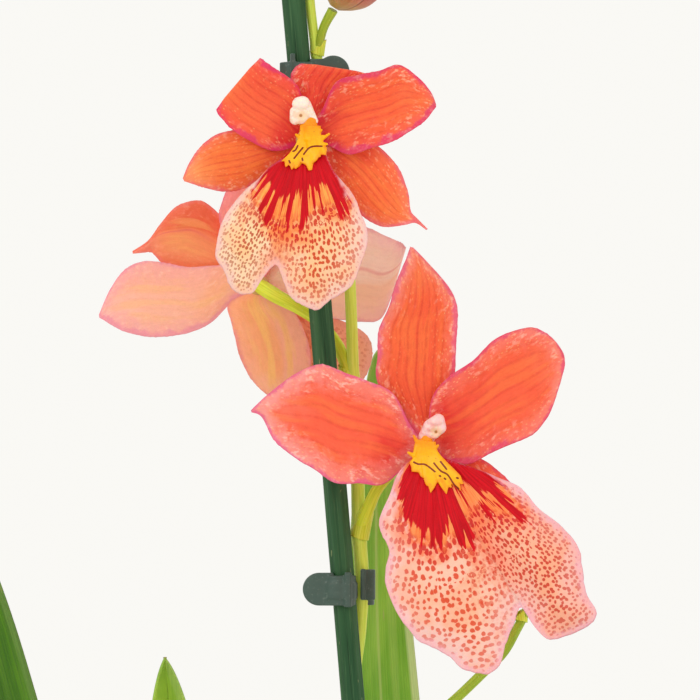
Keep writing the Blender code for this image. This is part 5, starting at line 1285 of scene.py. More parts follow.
def pot_outline():
    """(radius, height) down the pot's outer side, under its foot and up its inner side."""
    top = POT_TOP_RADIUS
    rim_foot = POT_HEIGHT - RIM_HEIGHT
    inner = top - RIM_STEP - POT_WALL
    foot_in = POT_FOOT_RADIUS - POT_WALL
    line = [(inner + 0.3, POT_HEIGHT - 0.9), (inner + 0.9, POT_HEIGHT - 0.2), (top - 1.4, POT_HEIGHT),
            (top - 0.5, POT_HEIGHT - 0.3), (top, POT_HEIGHT - 1.2), (top - 0.1, POT_HEIGHT - 2.6),
            (top - 0.55, POT_HEIGHT - 3.4), (top - 0.5, rim_foot + 2.2), (top - 0.2, rim_foot + 1.2),
            (top - 0.5, rim_foot + 0.3), (top - 1.4, rim_foot), (top - RIM_STEP - 1.3, rim_foot - 0.6)]
    bands = 26
    start = (top - RIM_STEP - 1.6, rim_foot - 1.4)
    end = (POT_FOOT_RADIUS + 0.1, 4.0)
    for i in range(bands + 1):
        f = i / bands
        line.append((start[0] + (end[0] - start[0]) * f, start[1] + (end[1] - start[1]) * f))
    line += [(POT_FOOT_RADIUS + 0.3, 3.2), (POT_FOOT_RADIUS + 0.3, 1.0), (POT_FOOT_RADIUS - 0.2, 0.2),
             (POT_FOOT_RADIUS - 1.2, 0.0), (POT_FOOT_RADIUS - 4.0, 0.0), (POT_FOOT_RADIUS - 5.0, 0.7), (0.0, 0.7),
             (0.0, POT_FLOOR), (foot_in - 1.0, POT_FLOOR), (foot_in, POT_FLOOR + 1.0), (inner, POT_HEIGHT - 2.0),
             (inner + 0.3, POT_HEIGHT - 0.9)]
    return line


def lathe_mesh(name, outline, steps, cutters=None):
    """A turned body from (radius, height) in millimetres, with holes cut by a collection of cutters."""
    mesh = bpy.data.meshes.new(name + "_outline")
    mesh.from_pydata([(r * MM, 0.0, z * MM) for r, z in outline], [(i, i + 1) for i in range(len(outline) - 1)], [])
    thing = bpy.data.objects.new(name, mesh)
    bpy.context.scene.collection.objects.link(thing)
    turn = thing.modifiers.new("turn", "SCREW")
    turn.steps = turn.render_steps = steps
    turn.use_merge_vertices = True
    turn.merge_threshold = 0.00001
    turn.use_normal_calculate = True
    if cutters:
        cut = thing.modifiers.new("drains", "BOOLEAN")
        cut.operation = "DIFFERENCE"
        cut.operand_type = "COLLECTION"
        cut.collection = cutters
    graph = bpy.context.evaluated_depsgraph_get()
    body = bpy.data.meshes.new_from_object(thing.evaluated_get(graph))
    bpy.data.objects.remove(thing)
    bm = bmesh.new()
    bm.from_mesh(body)
    bmesh.ops.remove_doubles(bm, verts=bm.verts, dist=0.000005)
    bmesh.ops.recalc_face_normals(bm, faces=bm.faces)
    bm.to_mesh(body)
    bm.free()
    body.name = name
    body.shade_smooth()
    body.set_sharp_from_angle(angle=math.radians(38.0))
    return body


POT_SEGMENTS = 160


def pot_mesh(name):
    cutters = bpy.data.collections.new("drain_cutters")
    for i in range(DRAIN_COUNT):
        angle = TAU * (i + 0.3) / DRAIN_COUNT
        bm = bmesh.new()
        drum(bm, (DRAIN_RING_RADIUS * math.cos(angle), DRAIN_RING_RADIUS * math.sin(angle), 0.5 * POT_FLOOR),
             DRAIN_RADIUS, 3.0 * POT_FLOOR, sides=32)
        mesh = bpy.data.meshes.new("drain_cutter")
        bm.to_mesh(mesh)
        bm.free()
        cutters.objects.link(bpy.data.objects.new("drain_cutter", mesh))
    body = lathe_mesh(name, pot_outline(), POT_SEGMENTS, cutters)
    for cutter in list(cutters.objects):
        bpy.data.objects.remove(cutter)
    bpy.data.collections.remove(cutters)
    return body


def stake_x(height):
    """Where the stake's middle line passes a height."""
    for low, high in zip(STAKE_LINE, STAKE_LINE[1:]):
        if low[2] <= height <= high[2]:
            f = (height - low[2]) / (high[2] - low[2])
            return low[0] + (high[0] - low[0]) * f
    raise ValueError("the height is off the stake")


def slab_blobs(bm, low, high):
    """A plain box between two corners, in millimetres."""
    size = Vector(high) - Vector(low)
    middle = (Vector(high) + Vector(low)) / 2.0
    bmesh.ops.create_cube(bm, size=1.0, matrix=Matrix.Translation(middle * MM) @ Matrix.Diagonal((*(size * MM), 1.0)))


def drum(bm, middle, radius, height, axis="Z", sides=48):
    spin = Matrix.Rotation(math.radians(90.0), 4, "X") if axis == "Y" else Matrix.Identity(4)
    bmesh.ops.create_cone(bm, cap_ends=True, segments=sides, radius1=radius * MM, radius2=radius * MM,
                          depth=height * MM, matrix=Matrix.Translation(Vector(middle) * MM) @ spin)


CLIP_PITCH = 0.2


def clip_mesh(name, height, stem, stem_radius, flap_side):
    """A moulded clip: a ribbed band round the stake, a loop round the stem, a round flap and a short tab."""
    x_stake = stake_x(height)
    x_stem, y_stem = stem
    loop = STAKE_RADIUS + FIT_GAP + CLIP_WALL
    small = stem_radius + FIT_GAP + CLIP_WALL
    low = height - CLIP_HEIGHT / 2.0
    high = height + CLIP_HEIGHT / 2.0
    bm = bmesh.new()
    sunk = 1.3 if flap_side > 0 else 0.6
    x_band = x_stake - (1.0 if flap_side < 0 else 0.0)
    drum(bm, (x_band, 0.0, height - sunk / 2.0), loop, CLIP_HEIGHT - sunk)
    drum(bm, (x_band, 0.0, height - 0.3), loop + 0.3, CLIP_HEIGHT - 3.4)
    drum(bm, (x_stem, y_stem + (1.8 if flap_side < 0 else 0.0), height - sunk / 2.0), small, CLIP_HEIGHT - sunk)
    front = -2.6 if flap_side < 0 else -1.6
    reach = CLIP_FLAP_REACH - 3.3 + (CLIP_LONG_FLAP if flap_side > 0 else 0.0)
    ends = (x_stake + 2.0 * flap_side, x_stake + reach * flap_side)
    slab_blobs(bm, (min(ends), front, low), (max(ends), front + 1.8, high - sunk + 0.6))
    drum(bm, (ends[1], front + 0.9, height), 0.5 * CLIP_HEIGHT, 1.8, "Y")
    if flap_side < 0:
        drum(bm, (x_stem + small - 1.2, y_stem, height + 0.85), 1.4, CLIP_HEIGHT - 0.5)
        slab_blobs(bm, (x_stem - 0.2, y_stem - small - 0.3, low + 1.1), (x_stem + 0.8, y_stem, high + 0.7))
        slab_blobs(bm, (x_stake + 0.2, -loop - 0.4, low - 0.3), (x_stake + 1.6, -1.2, high + 0.1))
    else:
        slab_blobs(bm, (x_stake - loop - 0.5, -2.6, low + 0.4), (x_stake - 1.6, 0.2, high - 1.4))
        slab_blobs(bm, (x_stake - 1.9, -loop - 0.3, low + 0.2), (x_stake - 0.9, -1.0, high + 0.4))
    mesh = bpy.data.meshes.new(name + "_parts")
    bm.to_mesh(mesh)
    bm.free()
    thing = bpy.data.objects.new(name, mesh)
    bpy.context.scene.collection.objects.link(thing)
    melt = thing.modifiers.new("melt", "REMESH")
    melt.mode = "VOXEL"
    melt.voxel_size = CLIP_PITCH * MM
    relax = thing.modifiers.new("relax", "SMOOTH")
    relax.iterations = 7
    relax.factor = 0.5
    graph = bpy.context.evaluated_depsgraph_get()
    body = bpy.data.meshes.new_from_object(thing.evaluated_get(graph))
    bpy.data.objects.remove(thing)
    body.name = name
    body.shade_smooth()
    return body


# Aerial roots over the bark: bearing of the root's start, its radius there, bearing and radius where it dips
ROOTS = [(20.0, 17.0, 70.0, 47.0, 1.5), (115.0, 20.0, 160.0, 46.0, 1.3), (200.0, 26.0, 236.0, 49.0, 1.6),
         (300.0, 12.0, 262.0, 44.0, 1.2), (340.0, 22.0, 12.0, 50.0, 1.4), (80.0, 30.0, 112.0, 50.0, 1.1)]


def root_mesh(name, root, seed, material):
    """A pale root that arches over the bark and dips back into it."""
    bearing, start, end_bearing, end, girth = root
    points = []
    ribbing = []
    for i in range(60):
        f = i / 59.0
        angle = math.radians(bearing + (end_bearing - bearing) * f + 9.0 * wobble(f * 3.0, seed))
        reach = start + (end - start) * f + 2.0 * wobble(f * 4.0, seed + 7.0)
        height = MEDIUM_TOP - 1.0 + 8.0 * math.sin(math.pi * min(1.0, f * 1.06)) ** 0.7 if f < 0.94 else MEDIUM_TOP - 1.5
        height += 0.7 * wobble(f * 7.0, seed + 3.0)
        points.append((reach * math.cos(angle), reach * math.sin(angle), height,
                       girth * (1.0 + 0.1 * wobble(f * 12.0, seed)) * (1.0 - 0.3 * f)))
        ribbing.append(1.0)
    return swept(name, points, 20, 3.0, 0.04, ribbing, material)


def tint(*levels):
    """A colour for a shader, from red, green and blue levels of 0 to 255 as a screen shows them."""
    return tuple(((level / 255.0 + 0.055) / 1.055) ** 2.4 for level in levels) + (1.0,)


class Finish(Graph):
    """A procedural surface finish. Its patterns are laid out in millimetres."""

    def __init__(self, name, **settings):
        self.material = bpy.data.materials.new(name)
        self.material.use_nodes = True
        super().__init__(self.material.node_tree)
        self.tree.nodes.clear()
        self.shader = self.node("ShaderNodeBsdfPrincipled")
        for key, value in settings.items():
            self.shader.inputs[key.replace("_", " ")].default_value = value
        self.node("ShaderNodeOutputMaterial", {"Surface": self.shader.outputs[0]})

    def kept(self, name):
        """The three numbers kept at each point under a name."""
        return self.parts(self.node("ShaderNodeAttribute", attribute_name=name).outputs["Vector"])

    def kept_number(self, name):
        return self.node("ShaderNodeAttribute", attribute_name=name).outputs["Fac"]

    def solid_place(self, stretch=(1.0, 1.0, 1.0)):
        """The place on the piece in millimetres, times a stretch."""
        place = self.node("ShaderNodeTexCoord").outputs["Object"]
        return self.vector("MULTIPLY", place, tuple(1000.0 * s for s in stretch))

    def blend(self, share, low, high):
        return self.out("ShaderNodeMix", {"Factor": share, "A": low, "B": high}, data_type="RGBA")

    def cells(self, place, scale=1.0, feature="F1", randomness=1.0, flat=False):
        return self.out("ShaderNodeTexVoronoi", {"Vector": place, "Scale": scale, "Randomness": randomness},
                        feature=feature, voronoi_dimensions="2D" if flat else "3D")

    def product(self, *values):
        result = values[0]
        for value in values[1:]:
            result = self.calc("MULTIPLY", result, value)
        return result

    def line(self, value, width):
        """1 on thin lines at each whole number of value, 0 between them."""
        return self.step(self.calc("PINGPONG", value, 0.5), width, 0.0)

    def done(self, colour, height=None, depth=0.1, roughness=None):
        """Join the colour and the relief, which is depth millimetres from 0 to 1, to the shader."""
        self.tree.links.new(colour, self.shader.inputs["Base Color"])
        if height is not None:
            bump = self.node("ShaderNodeBump", {"Height": height, "Distance": depth * MM, "Strength": 1.0})
            self.tree.links.new(bump.outputs[0], self.shader.inputs["Normal"])
        if roughness is not None:
            self.tree.links.new(roughness, self.shader.inputs["Roughness"])
        return self.material


# Looks of a plain petal or sepal: colours from base to tip, of its veins, its pale flecks, the blush inside
# its margin and the margin; a second colour for one half; shares; widths in millimetres of the margin
PLAIN_TEPAL = {
    "base": (214, 46, 44), "middle": (244, 102, 64), "tip": (247, 116, 70), "vein": (206, 44, 42), "veins": 0.4,
    "half": (243, 98, 62), "half_share": 0.0, "glow": (250, 130, 66), "glow_share": 0.35,
    "pale": (255, 206, 176), "flecks": 0.32, "mottling": 0.6, "mottled_reach": 3.4,
    "blush": (236, 88, 98), "blush_share": 0.45, "blush_reach": 3.2,
    "margin": (214, 48, 112), "margin_low": 0.6, "margin_high": 0.45,
    "behind": (246, 150, 122), "behind_share": 0.45,
}
BACK_TEPAL = {"veins": 0.12, "flecks": 0.1, "mottling": 0.25, "mottled_reach": 6.0, "blush": (240, 140, 146),
              "blush_share": 0.75, "blush_reach": 5.5, "margin": (226, 110, 150), "margin_low": 0.35,
              "margin_high": 0.35, "behind_share": 0.35, "glow": (252, 186, 104), "glow_share": 0.5}
TEPAL_LOOKS = {
    "upper_left_petal": {"base": (222, 44, 48), "blush": (232, 62, 74), "blush_share": 0.7, "margin_low": 1.0, "margin_high": 0.7, "mottling": 0.25,
                         "half": (232, 66, 58), "half_share": 0.35, "glow_share": 0.25},
    "upper_right_petal": {"base": (206, 22, 50), "middle": (245, 100, 60), "tip": (240, 124, 80),
                          "margin_low": 1.0, "margin_high": 0.6, "mottling": 0.6, "mottled_reach": 5.0},
    "upper_dorsal_sepal": {"base": (214, 52, 44), "middle": (238, 82, 58), "tip": (238, 96, 66), "veins": 0.6,
                           "blush_share": 0.3, "margin_low": 0.3, "margin_high": 0.3},
    "upper_left_sepal": {"base": (226, 72, 46), "middle": (243, 116, 58), "tip": (248, 154, 92), "veins": 0.4,
                         "blush": (236, 112, 100), "margin": (226, 96, 124), "margin_low": 0.35,
                         "margin_high": 0.35, "glow": (250, 146, 66)},
    "upper_right_sepal": {"base": (228, 70, 48), "middle": (248, 112, 62), "tip": (250, 142, 78), "veins": 0.4,
                          "blush": (240, 120, 110), "margin": (228, 104, 128), "margin_low": 0.35,
                          "margin_high": 0.35, "mottling": 0.6, "mottled_reach": 3.8, "glow": (252, 150, 70)},
    "lower_left_petal": {"base": (226, 56, 50), "middle": (248, 100, 70), "tip": (246, 130, 108), "mottling": 0.7, "veins": 0.3,
                         "mottled_reach": 6.0, "blush": (244, 158, 152), "blush_share": 0.85, "blush_reach": 6.4,
                         "margin": (222, 76, 140), "pale": (253, 200, 186)},
    "lower_right_petal": {"base": (224, 56, 50), "middle": (244, 98, 66), "tip": (244, 118, 86), "blush": (242, 134, 122),
                          "blush_share": 0.75, "blush_reach": 5.0, "margin_low": 0.7, "margin_high": 0.55,
                          "mottling": 0.5, "mottled_reach": 5.0, "pale": (252, 196, 176), "veins": 0.3},
    "lower_dorsal_sepal": {"base": (232, 84, 50), "middle": (240, 96, 58), "tip": (243, 118, 80), "veins": 0.42,
                           "vein": (196, 44, 36), "blush": (243, 146, 132), "blush_share": 0.7,
                           "margin": (222, 84, 136), "mottling": 0.65, "mottled_reach": 4.6,
                           "glow": (250, 134, 66)},
    "lower_left_sepal": {}, "lower_right_sepal": {},
    # Most of the back bloom's colours, above all its behind colours, are painted lighter than its petals' own: painted
    # light that stands in for light shining through petals that the front blooms shade.
    "back_left_sepal": {**BACK_TEPAL, "base": (254, 166, 96), "middle": (254, 178, 150), "tip": (253, 182, 172),
                        "behind": (254, 196, 172), "mottling": 0.4, "pale": (255, 216, 192),
                        "half": (252, 160, 120), "half_share": 0.35, "margin": (224, 96, 160),
                        "blush": (244, 146, 166), "margin_low": 0.8, "margin_high": 0.5},
    # fold, here and below, places a painted shade line along the petal's crease.
    "back_left_petal": {**BACK_TEPAL, "base": (250, 140, 84), "middle": (246, 150, 98), "tip": (246, 140, 122),
                        "behind": (246, 142, 100), "half": (228, 62, 24), "half_share": 1.0, "blush_share": 0.5,
                        "blush": (242, 126, 110), "margin": (236, 120, 130), "fold": 0.12},
    "back_dorsal_sepal": {**BACK_TEPAL, "base": (250, 130, 100), "middle": (250, 138, 128), "tip": (250, 146, 140),
                          "behind": (250, 146, 136), "glow_share": 0.1},
    "back_right_petal": {**BACK_TEPAL, "base": (255, 204, 160), "middle": (255, 216, 198), "tip": (255, 214, 204),
                         "behind": (255, 216, 198), "half": (255, 178, 132), "half_share": 0.6, "mottling": 0.35,
                         "glow_share": 0.1, "blush": (250, 172, 184), "fold": -0.1},
    "back_right_sepal": {**BACK_TEPAL, "base": (253, 160, 98), "middle": (253, 172, 118), "tip": (254, 206, 150),
                         "behind": (253, 170, 124), "half": (254, 178, 164), "half_share": 0.85,
                         "glow": (255, 206, 110), "glow_share": 0.75, "blush": (253, 176, 160)},
}


def tepal_finish(name, seed):
    """Coral or orange with long darker veins, a speckled blush inside the margin, a magenta edge, and on a creased
    petal a painted shade line along its fold.
    """
    look = {**PLAIN_TEPAL, **TEPAL_LOOKS[name]}
    g = Finish(name + "_skin", Roughness=0.5, Specular_IOR_Level=0.14, Subsurface_Weight=0.15,
               Subsurface_Scale=0.001)
    side, along, front = g.kept("place")
    across, run, rim = g.kept("flat")
    spot = g.combine(across, run, seed * 7.3)
    broad = g.noise(spot, 0.16, 2.0)
    patches = g.noise(spot, 0.6, 3.0, 0.6)
    sparkle = g.noise(spot, 3.4, 2.0, 0.6)
    grain = g.noise(spot, 6.0, 2.0, 0.6)
    bands = g.noise(g.combine(g.product(across, 0.5), g.product(run, 0.07), seed), 1.0, 2.0)
    tone = g.calc("MULTIPLY_ADD", g.calc("SUBTRACT", broad, 0.5), 0.6, along)
    colour = g.blend(g.step(tone, 0.04, 0.4), tint(*look["base"]), tint(*look["middle"]))
    colour = g.blend(g.step(tone, 0.5, 1.0), colour, tint(*look["tip"]))
    if look["half_share"]:
        half = g.step(g.calc("MULTIPLY_ADD", g.calc("SUBTRACT", bands, 0.5), 0.8, side), -0.05, 0.35)
        colour = g.blend(g.product(half, look["half_share"]), colour, tint(*look["half"]))
    glow = g.product(g.step(bands, 0.46, 0.62), g.step(rim, 1.5, 4.0), look["glow_share"])
    colour = g.blend(glow, colour, tint(*look["glow"]))

    drift = g.calc("SUBTRACT", g.noise(g.combine(g.product(side, 1.5), g.product(run, 0.1), seed), 1.0, 1.0), 0.5)
    lanes = g.calc("MULTIPLY_ADD", drift, 0.6, g.product(side, 4.5))
    main = g.line(g.calc("MULTIPLY_ADD", g.calc("SUBTRACT", sparkle, 0.5), 0.3, lanes), 0.26)
    twigs = g.line(g.calc("MULTIPLY_ADD", g.calc("SUBTRACT", patches, 0.5), 1.6, g.product(side, 13.0)), 0.3)
    net = g.step(g.cells(g.combine(g.product(across, 0.9), g.product(run, 0.4), 0.0), 1.0, "DISTANCE_TO_EDGE",
                         flat=True), 0.16, 0.0)
    veins = g.calc("MAXIMUM", g.product(main, g.step(patches, 0.3, 0.6, 0.35, 1.0)),
                   g.product(twigs, g.step(patches, 0.4, 0.6), 0.5))
    veins = g.calc("MAXIMUM", veins, g.product(net, 0.25))
    veins = g.product(veins, g.step(along, 1.0, 0.55, 0.2, 1.0), g.step(rim, 0.3, 3.0), look["veins"])
    colour = g.blend(veins, colour, tint(*look["vein"]))
    # Painted shade: a darker pink-red line along the crease of a folded petal, where the fold is shaded.
    if "fold" in look:
        crease = g.calc("MULTIPLY_ADD", drift, 0.3, g.calc("SUBTRACT", side, look["fold"]))
        crease = g.product(g.step(g.calc("ABSOLUTE", crease), 0.07, 0.0), g.step(along, 0.1, 0.5))
        colour = g.blend(g.product(crease, 0.6), colour, tint(222, 70, 92))
    middle_rib = g.product(g.step(g.calc("ABSOLUTE", across), 0.4, 0.0), g.step(along, 0.95, 0.3))
    colour = g.blend(g.product(middle_rib, 0.4 * look["veins"]), colour, tint(*look["vein"]))

    reach = look["blush_reach"]
    uneven = g.calc("MULTIPLY_ADD", g.calc("SUBTRACT", patches, 0.5), 1.2 * reach, rim)
    rosy = g.product(g.step(uneven, reach, 0.0), g.step(along, 0.3, 0.8, 0.5, 1.0), look["blush_share"])
    colour = g.blend(rosy, colour, tint(*look["blush"]))
    reach = look["mottled_reach"]
    near = g.step(g.calc("MULTIPLY_ADD", g.calc("SUBTRACT", broad, 0.5), 2.0 * reach, rim), reach, 0.2)
    crumbs = g.noise(g.combine(across, g.product(run, 0.5), seed), 1.3, 2.0, 0.6)
    specks = g.product(g.step(crumbs, 0.48, 0.68), near, g.step(patches, 0.38, 0.56), look["mottling"])
    colour = g.blend(specks, colour, tint(*look["pale"]))
    fleck = g.step(g.cells(g.combine(g.product(across, 1.3), g.product(run, 0.7), 0.0), flat=True), 0.2, 0.1)
    fleck = g.product(fleck, g.step(g.noise(spot, 0.4, 1.0), 0.44, 0.56), g.step(rim, 7.0, 1.5), look["flecks"])
    colour = g.blend(fleck, colour, tint(255, 206, 140))

    width = g.step(side, -0.3, 0.3, look["margin_low"], look["margin_high"])
    width = g.product(width, g.step(g.noise(spot, 0.22, 1.0), 0.36, 0.66, 0.15, 1.5))
    ragged = g.calc("MULTIPLY_ADD", g.calc("SUBTRACT", g.noise(spot, 1.1, 3.0, 0.6), 0.5), 1.6, rim)
    edge = g.step(g.calc("SUBTRACT", ragged, width), 0.75, -0.35)
    colour = g.blend(g.product(edge, 0.65), colour, tint(*look["margin"]))

    behind = g.product(g.step(front, 0.6, 0.4), look["behind_share"])
    colour = g.blend(behind, colour, tint(*look["behind"]))
    shade = g.calc("MULTIPLY_ADD", grain, 0.16, g.calc("MULTIPLY_ADD", crumbs, 0.14, 0.85))
    colour = g.out("ShaderNodeMix", {"Factor": 1.0, "A": colour, "B": g.combine(shade, shade, shade)},
                   data_type="RGBA", blend_type="MULTIPLY")
    relief = g.calc("SUBTRACT", g.calc("MULTIPLY_ADD", sparkle, 0.5, g.product(patches, 0.7)), g.product(veins, 0.6))
    return g.done(colour, relief, 0.16)


# How far from a lip's focus more rows of spots begin, in millimetres
FORK_RADII = (20.0, 29.0)
# Looks of a lip: ground and margin colours of its left and right lobes; the colour between its streaks and
# the blush below them; for each lobe the spots' colour, count across, ring spacing and size; fold is the
# angle of the painted shade line along its crease
LIP_LOOKS = {
    "upper": {"left": (250, 214, 166), "right": (250, 198, 150), "left_rim": (249, 212, 182),
              "right_rim": (249, 206, 186), "inner": (253, 172, 82), "blush": (240, 94, 44),
              "left_spots": ((186, 82, 44), 27.0, 0.088, 0.34), "right_spots": ((206, 60, 18), 21.0, 0.074, 0.35),
              "rim_pink": (240, 190, 190), "streak": 17.0, "reach": (3.2, 3.4), "fold": -0.22},
    "lower": {"left": (247, 194, 170), "right": (245, 180, 152), "left_rim": (247, 198, 190),
              "right_rim": (245, 184, 174), "inner": (250, 150, 84), "blush": (242, 94, 62),
              "left_spots": ((220, 72, 36), 14.0, 0.054, 0.33), "right_spots": ((206, 58, 40), 23.0, 0.07, 0.34),
              "rim_pink": (242, 178, 194), "streak": 11.0, "reach": (2.0, 4.2), "fold": 0.5},
    "back": {"left": (246, 178, 134), "right": (244, 168, 128), "left_rim": (246, 190, 160),
             "right_rim": (244, 182, 150), "inner": (240, 138, 78), "blush": (240, 110, 80),
             "left_spots": ((190, 70, 50), 20.0, 0.08, 0.3), "right_spots": ((190, 70, 50), 20.0, 0.08, 0.3),
             "rim_pink": (246, 186, 184), "streak": 9.0, "reach": (3.0, 3.0), "fold": 0.35},
}


def lip_finish(bloom, seed):
    """Cream to pink, with a crimson patch that ends in streaks, spots that shrink towards the margin, and a painted
    shade line along its crease.
    """
    look = LIP_LOOKS[bloom]
    g = Finish(bloom + "_lip_skin", Roughness=0.5, Specular_IOR_Level=0.14, Subsurface_Weight=0.15,
               Subsurface_Scale=0.001)
    across, down, front = g.kept("place")
    angle, radius, rim = g.kept("flat")
    patch = g.kept_number("patch")
    spot = g.combine(g.product(angle, radius), radius, seed * 5.1)
    broad = g.noise(spot, 0.14, 2.0)
    patches = g.noise(spot, 0.7, 3.0, 0.6)
    sparkle = g.noise(spot, 3.4, 2.0, 0.6)
    grain = g.noise(spot, 6.0, 2.0, 0.6)
    streak = g.noise(g.combine(g.product(angle, look["streak"]), g.product(radius, 0.045), seed), 1.0, 2.0, 0.5)
    thin_streak = g.noise(g.combine(g.product(angle, 46.0), g.product(radius, 0.12), seed + 9.0), 1.0, 2.0, 0.6)

    right = g.step(g.calc("MULTIPLY_ADD", g.calc("SUBTRACT", broad, 0.5), 0.3, across), 0.4, 0.62)
    ground = g.blend(right, tint(*look["left"]), tint(*look["right"]))
    border = g.blend(right, tint(*look["left_rim"]), tint(*look["right_rim"]))
    colour = g.blend(g.step(g.calc("MULTIPLY_ADD", g.calc("SUBTRACT", patches, 0.5), 6.0, rim), 7.5, 0.6), ground,
                     border)
    blush = g.product(g.step(g.calc("MULTIPLY_ADD", g.calc("SUBTRACT", broad, 0.5), 14.0, patch), -8.0, -1.5),
                      g.step(patches, 0.3, 0.56), 0.85)
    colour = g.blend(blush, colour, tint(*look["blush"]))

    wander = g.calc("SUBTRACT", patches, 0.5)
    # Painted shade: a darker red-orange line along the lip's crease, where the fold is shaded.
    fold = g.step(g.calc("ABSOLUTE", g.calc("SUBTRACT", g.calc("MULTIPLY_ADD", wander, 0.3, angle), look["fold"])),
                  0.16, 0.0)
    colour = g.blend(g.product(fold, g.step(radius, 38.0, 24.0), 0.6), colour, tint(*look["blush"]))
    dots = []
    for lobe, share in (("left_spots", right), ("right_spots", right)):
        ink, rows, rings, size = look[lobe]
        ring = g.calc("MULTIPLY_ADD", wander, 0.5, g.product(g.calc("POWER", radius, 1.6), rings))
        reached = g.calc("MULTIPLY_ADD", wander, 8.0, radius)
        forks = [g.calc("GREATER_THAN", reached, fork) for fork in FORK_RADII]
        row = g.product(angle, g.calc("MULTIPLY_ADD", g.calc("ADD", *forks), 0.5 * rows, rows))
        row = g.calc("MULTIPLY_ADD", wander, 0.6, row)
        place = g.combine(row, ring, seed)
        girth = g.product(g.step(g.noise(place, 0.9, 1.0), 0.34, 0.62, 0.7, 1.2), g.step(rim, 0.2, 1.1))
        girth = g.calc("MULTIPLY_ADD", girth, size, g.step(patch, -6.0, 0.0, 0.0, 0.1))
        cell = g.cells(place, 1.0, randomness=0.7, flat=True)
        dots.append(g.step(g.calc("SUBTRACT", cell, girth), 0.05, -0.06))
    dot = g.out("ShaderNodeMix", {"Factor": right, "A": dots[0], "B": dots[1]}, data_type="FLOAT")
    near = g.step(g.calc("MULTIPLY_ADD", g.calc("SUBTRACT", broad, 0.5), 16.0, patch), -12.0, 0.0)
    ink = g.blend(right, tint(*look["left_spots"][0]), tint(*look["right_spots"][0]))
    ink = g.blend(near, ink, tint(206, 26, 34))
    halo = g.product(g.step(g.calc("ADD", broad, g.product(near, 0.2)), 0.45, 0.6), 0.3)
    colour = g.blend(halo, colour, tint(*look["inner"]))
    colour = g.blend(g.product(dot, g.step(rim, 1.0, 7.0, 0.62, 0.92)), colour, ink)

    lanes = g.step(streak, 0.42, 0.57, -1.0, 1.0)
    length = g.calc("MULTIPLY_ADD", g.calc("SUBTRACT", broad, 0.5), 5.0, g.step(angle, -0.1, 0.3, *look["reach"]))
    reach = g.calc("MULTIPLY_ADD", lanes, length, patch)
    reach = g.calc("MULTIPLY_ADD", g.calc("SUBTRACT", thin_streak, 0.5), g.step(angle, 0.3, 0.5, 3.0, 12.0), reach)
    between = g.product(g.step(g.calc("ADD", patch, g.product(wander, 3.0)), -2.6, 0.4), g.step(reach, 0.6, -0.4))
    lane = g.blend(g.step(thin_streak, 0.4, 0.6), tint(*look["inner"]), tint(248, 128, 66))
    colour = g.blend(g.product(between, 0.9), colour, lane)
    red = g.blend(g.step(thin_streak, 0.3, 0.7), tint(184, 4, 20), tint(216, 8, 28))
    colour = g.blend(g.step(reach, -0.3, 0.3), colour, red)

    edge = g.step(g.calc("MULTIPLY_ADD", g.calc("SUBTRACT", patches, 0.5), 3.0, rim), 1.8, 0.1)
    edge = g.product(edge, g.step(patch, 0.5, -2.5), 0.65)
    colour = g.blend(edge, colour, tint(*look["rim_pink"]))
    fringe = g.step(g.calc("MULTIPLY_ADD", g.calc("SUBTRACT", sparkle, 0.5), 0.8, rim), 0.34, 0.08)
    colour = g.blend(g.product(fringe, 0.3), colour, tint(222, 128, 158))
    colour = g.blend(g.product(g.step(front, 0.6, 0.4), 0.55), colour, tint(248, 170, 140))
    shade = g.calc("MULTIPLY_ADD", grain, 0.16, g.calc("MULTIPLY_ADD", sparkle, 0.14, 0.85))
    colour = g.out("ShaderNodeMix", {"Factor": 1.0, "A": colour, "B": g.combine(shade, shade, shade)},
                   data_type="RGBA", blend_type="MULTIPLY")
    relief = g.calc("MULTIPLY_ADD", streak, 0.5, g.calc("MULTIPLY_ADD", sparkle, 0.4, g.product(patches, 0.6)))
    return g.done(colour, relief, 0.18)


def callus_finish():
    """Egg yellow and waxy, orange towards the tips, with thin brown lines."""
    g = Finish("callus_wax", Roughness=0.34, Specular_IOR_Level=0.3, Subsurface_Weight=0.15, Subsurface_Scale=0.0008)
    spot = g.solid_place()
    patches = g.noise(spot, 0.9, 3.0, 0.6)
    down = g.kept_number("down")
    colour = g.blend(g.step(g.calc("MULTIPLY_ADD", patches, 3.0, down), 1.0, 5.0), tint(250, 150, 0),
                     tint(255, 184, 8))
    colour = g.blend(g.product(g.kept_number("rim"), 0.6), colour, tint(246, 140, 24))
    colour = g.blend(g.product(g.step(patches, 0.55, 0.7), 0.5), colour, tint(246, 160, 10))
    speck = g.step(g.cells(spot, 0.9), 0.16, 0.08)
    colour = g.blend(g.product(speck, g.step(patches, 0.45, 0.6), 0.6), colour, tint(176, 88, 16))
    colour = g.blend(g.step(g.kept_number("brown"), 0.12, 0.55), colour, tint(128, 28, 6))
    return g.done(colour, g.noise(spot, 1.2, 2.0, 0.5), 0.12)


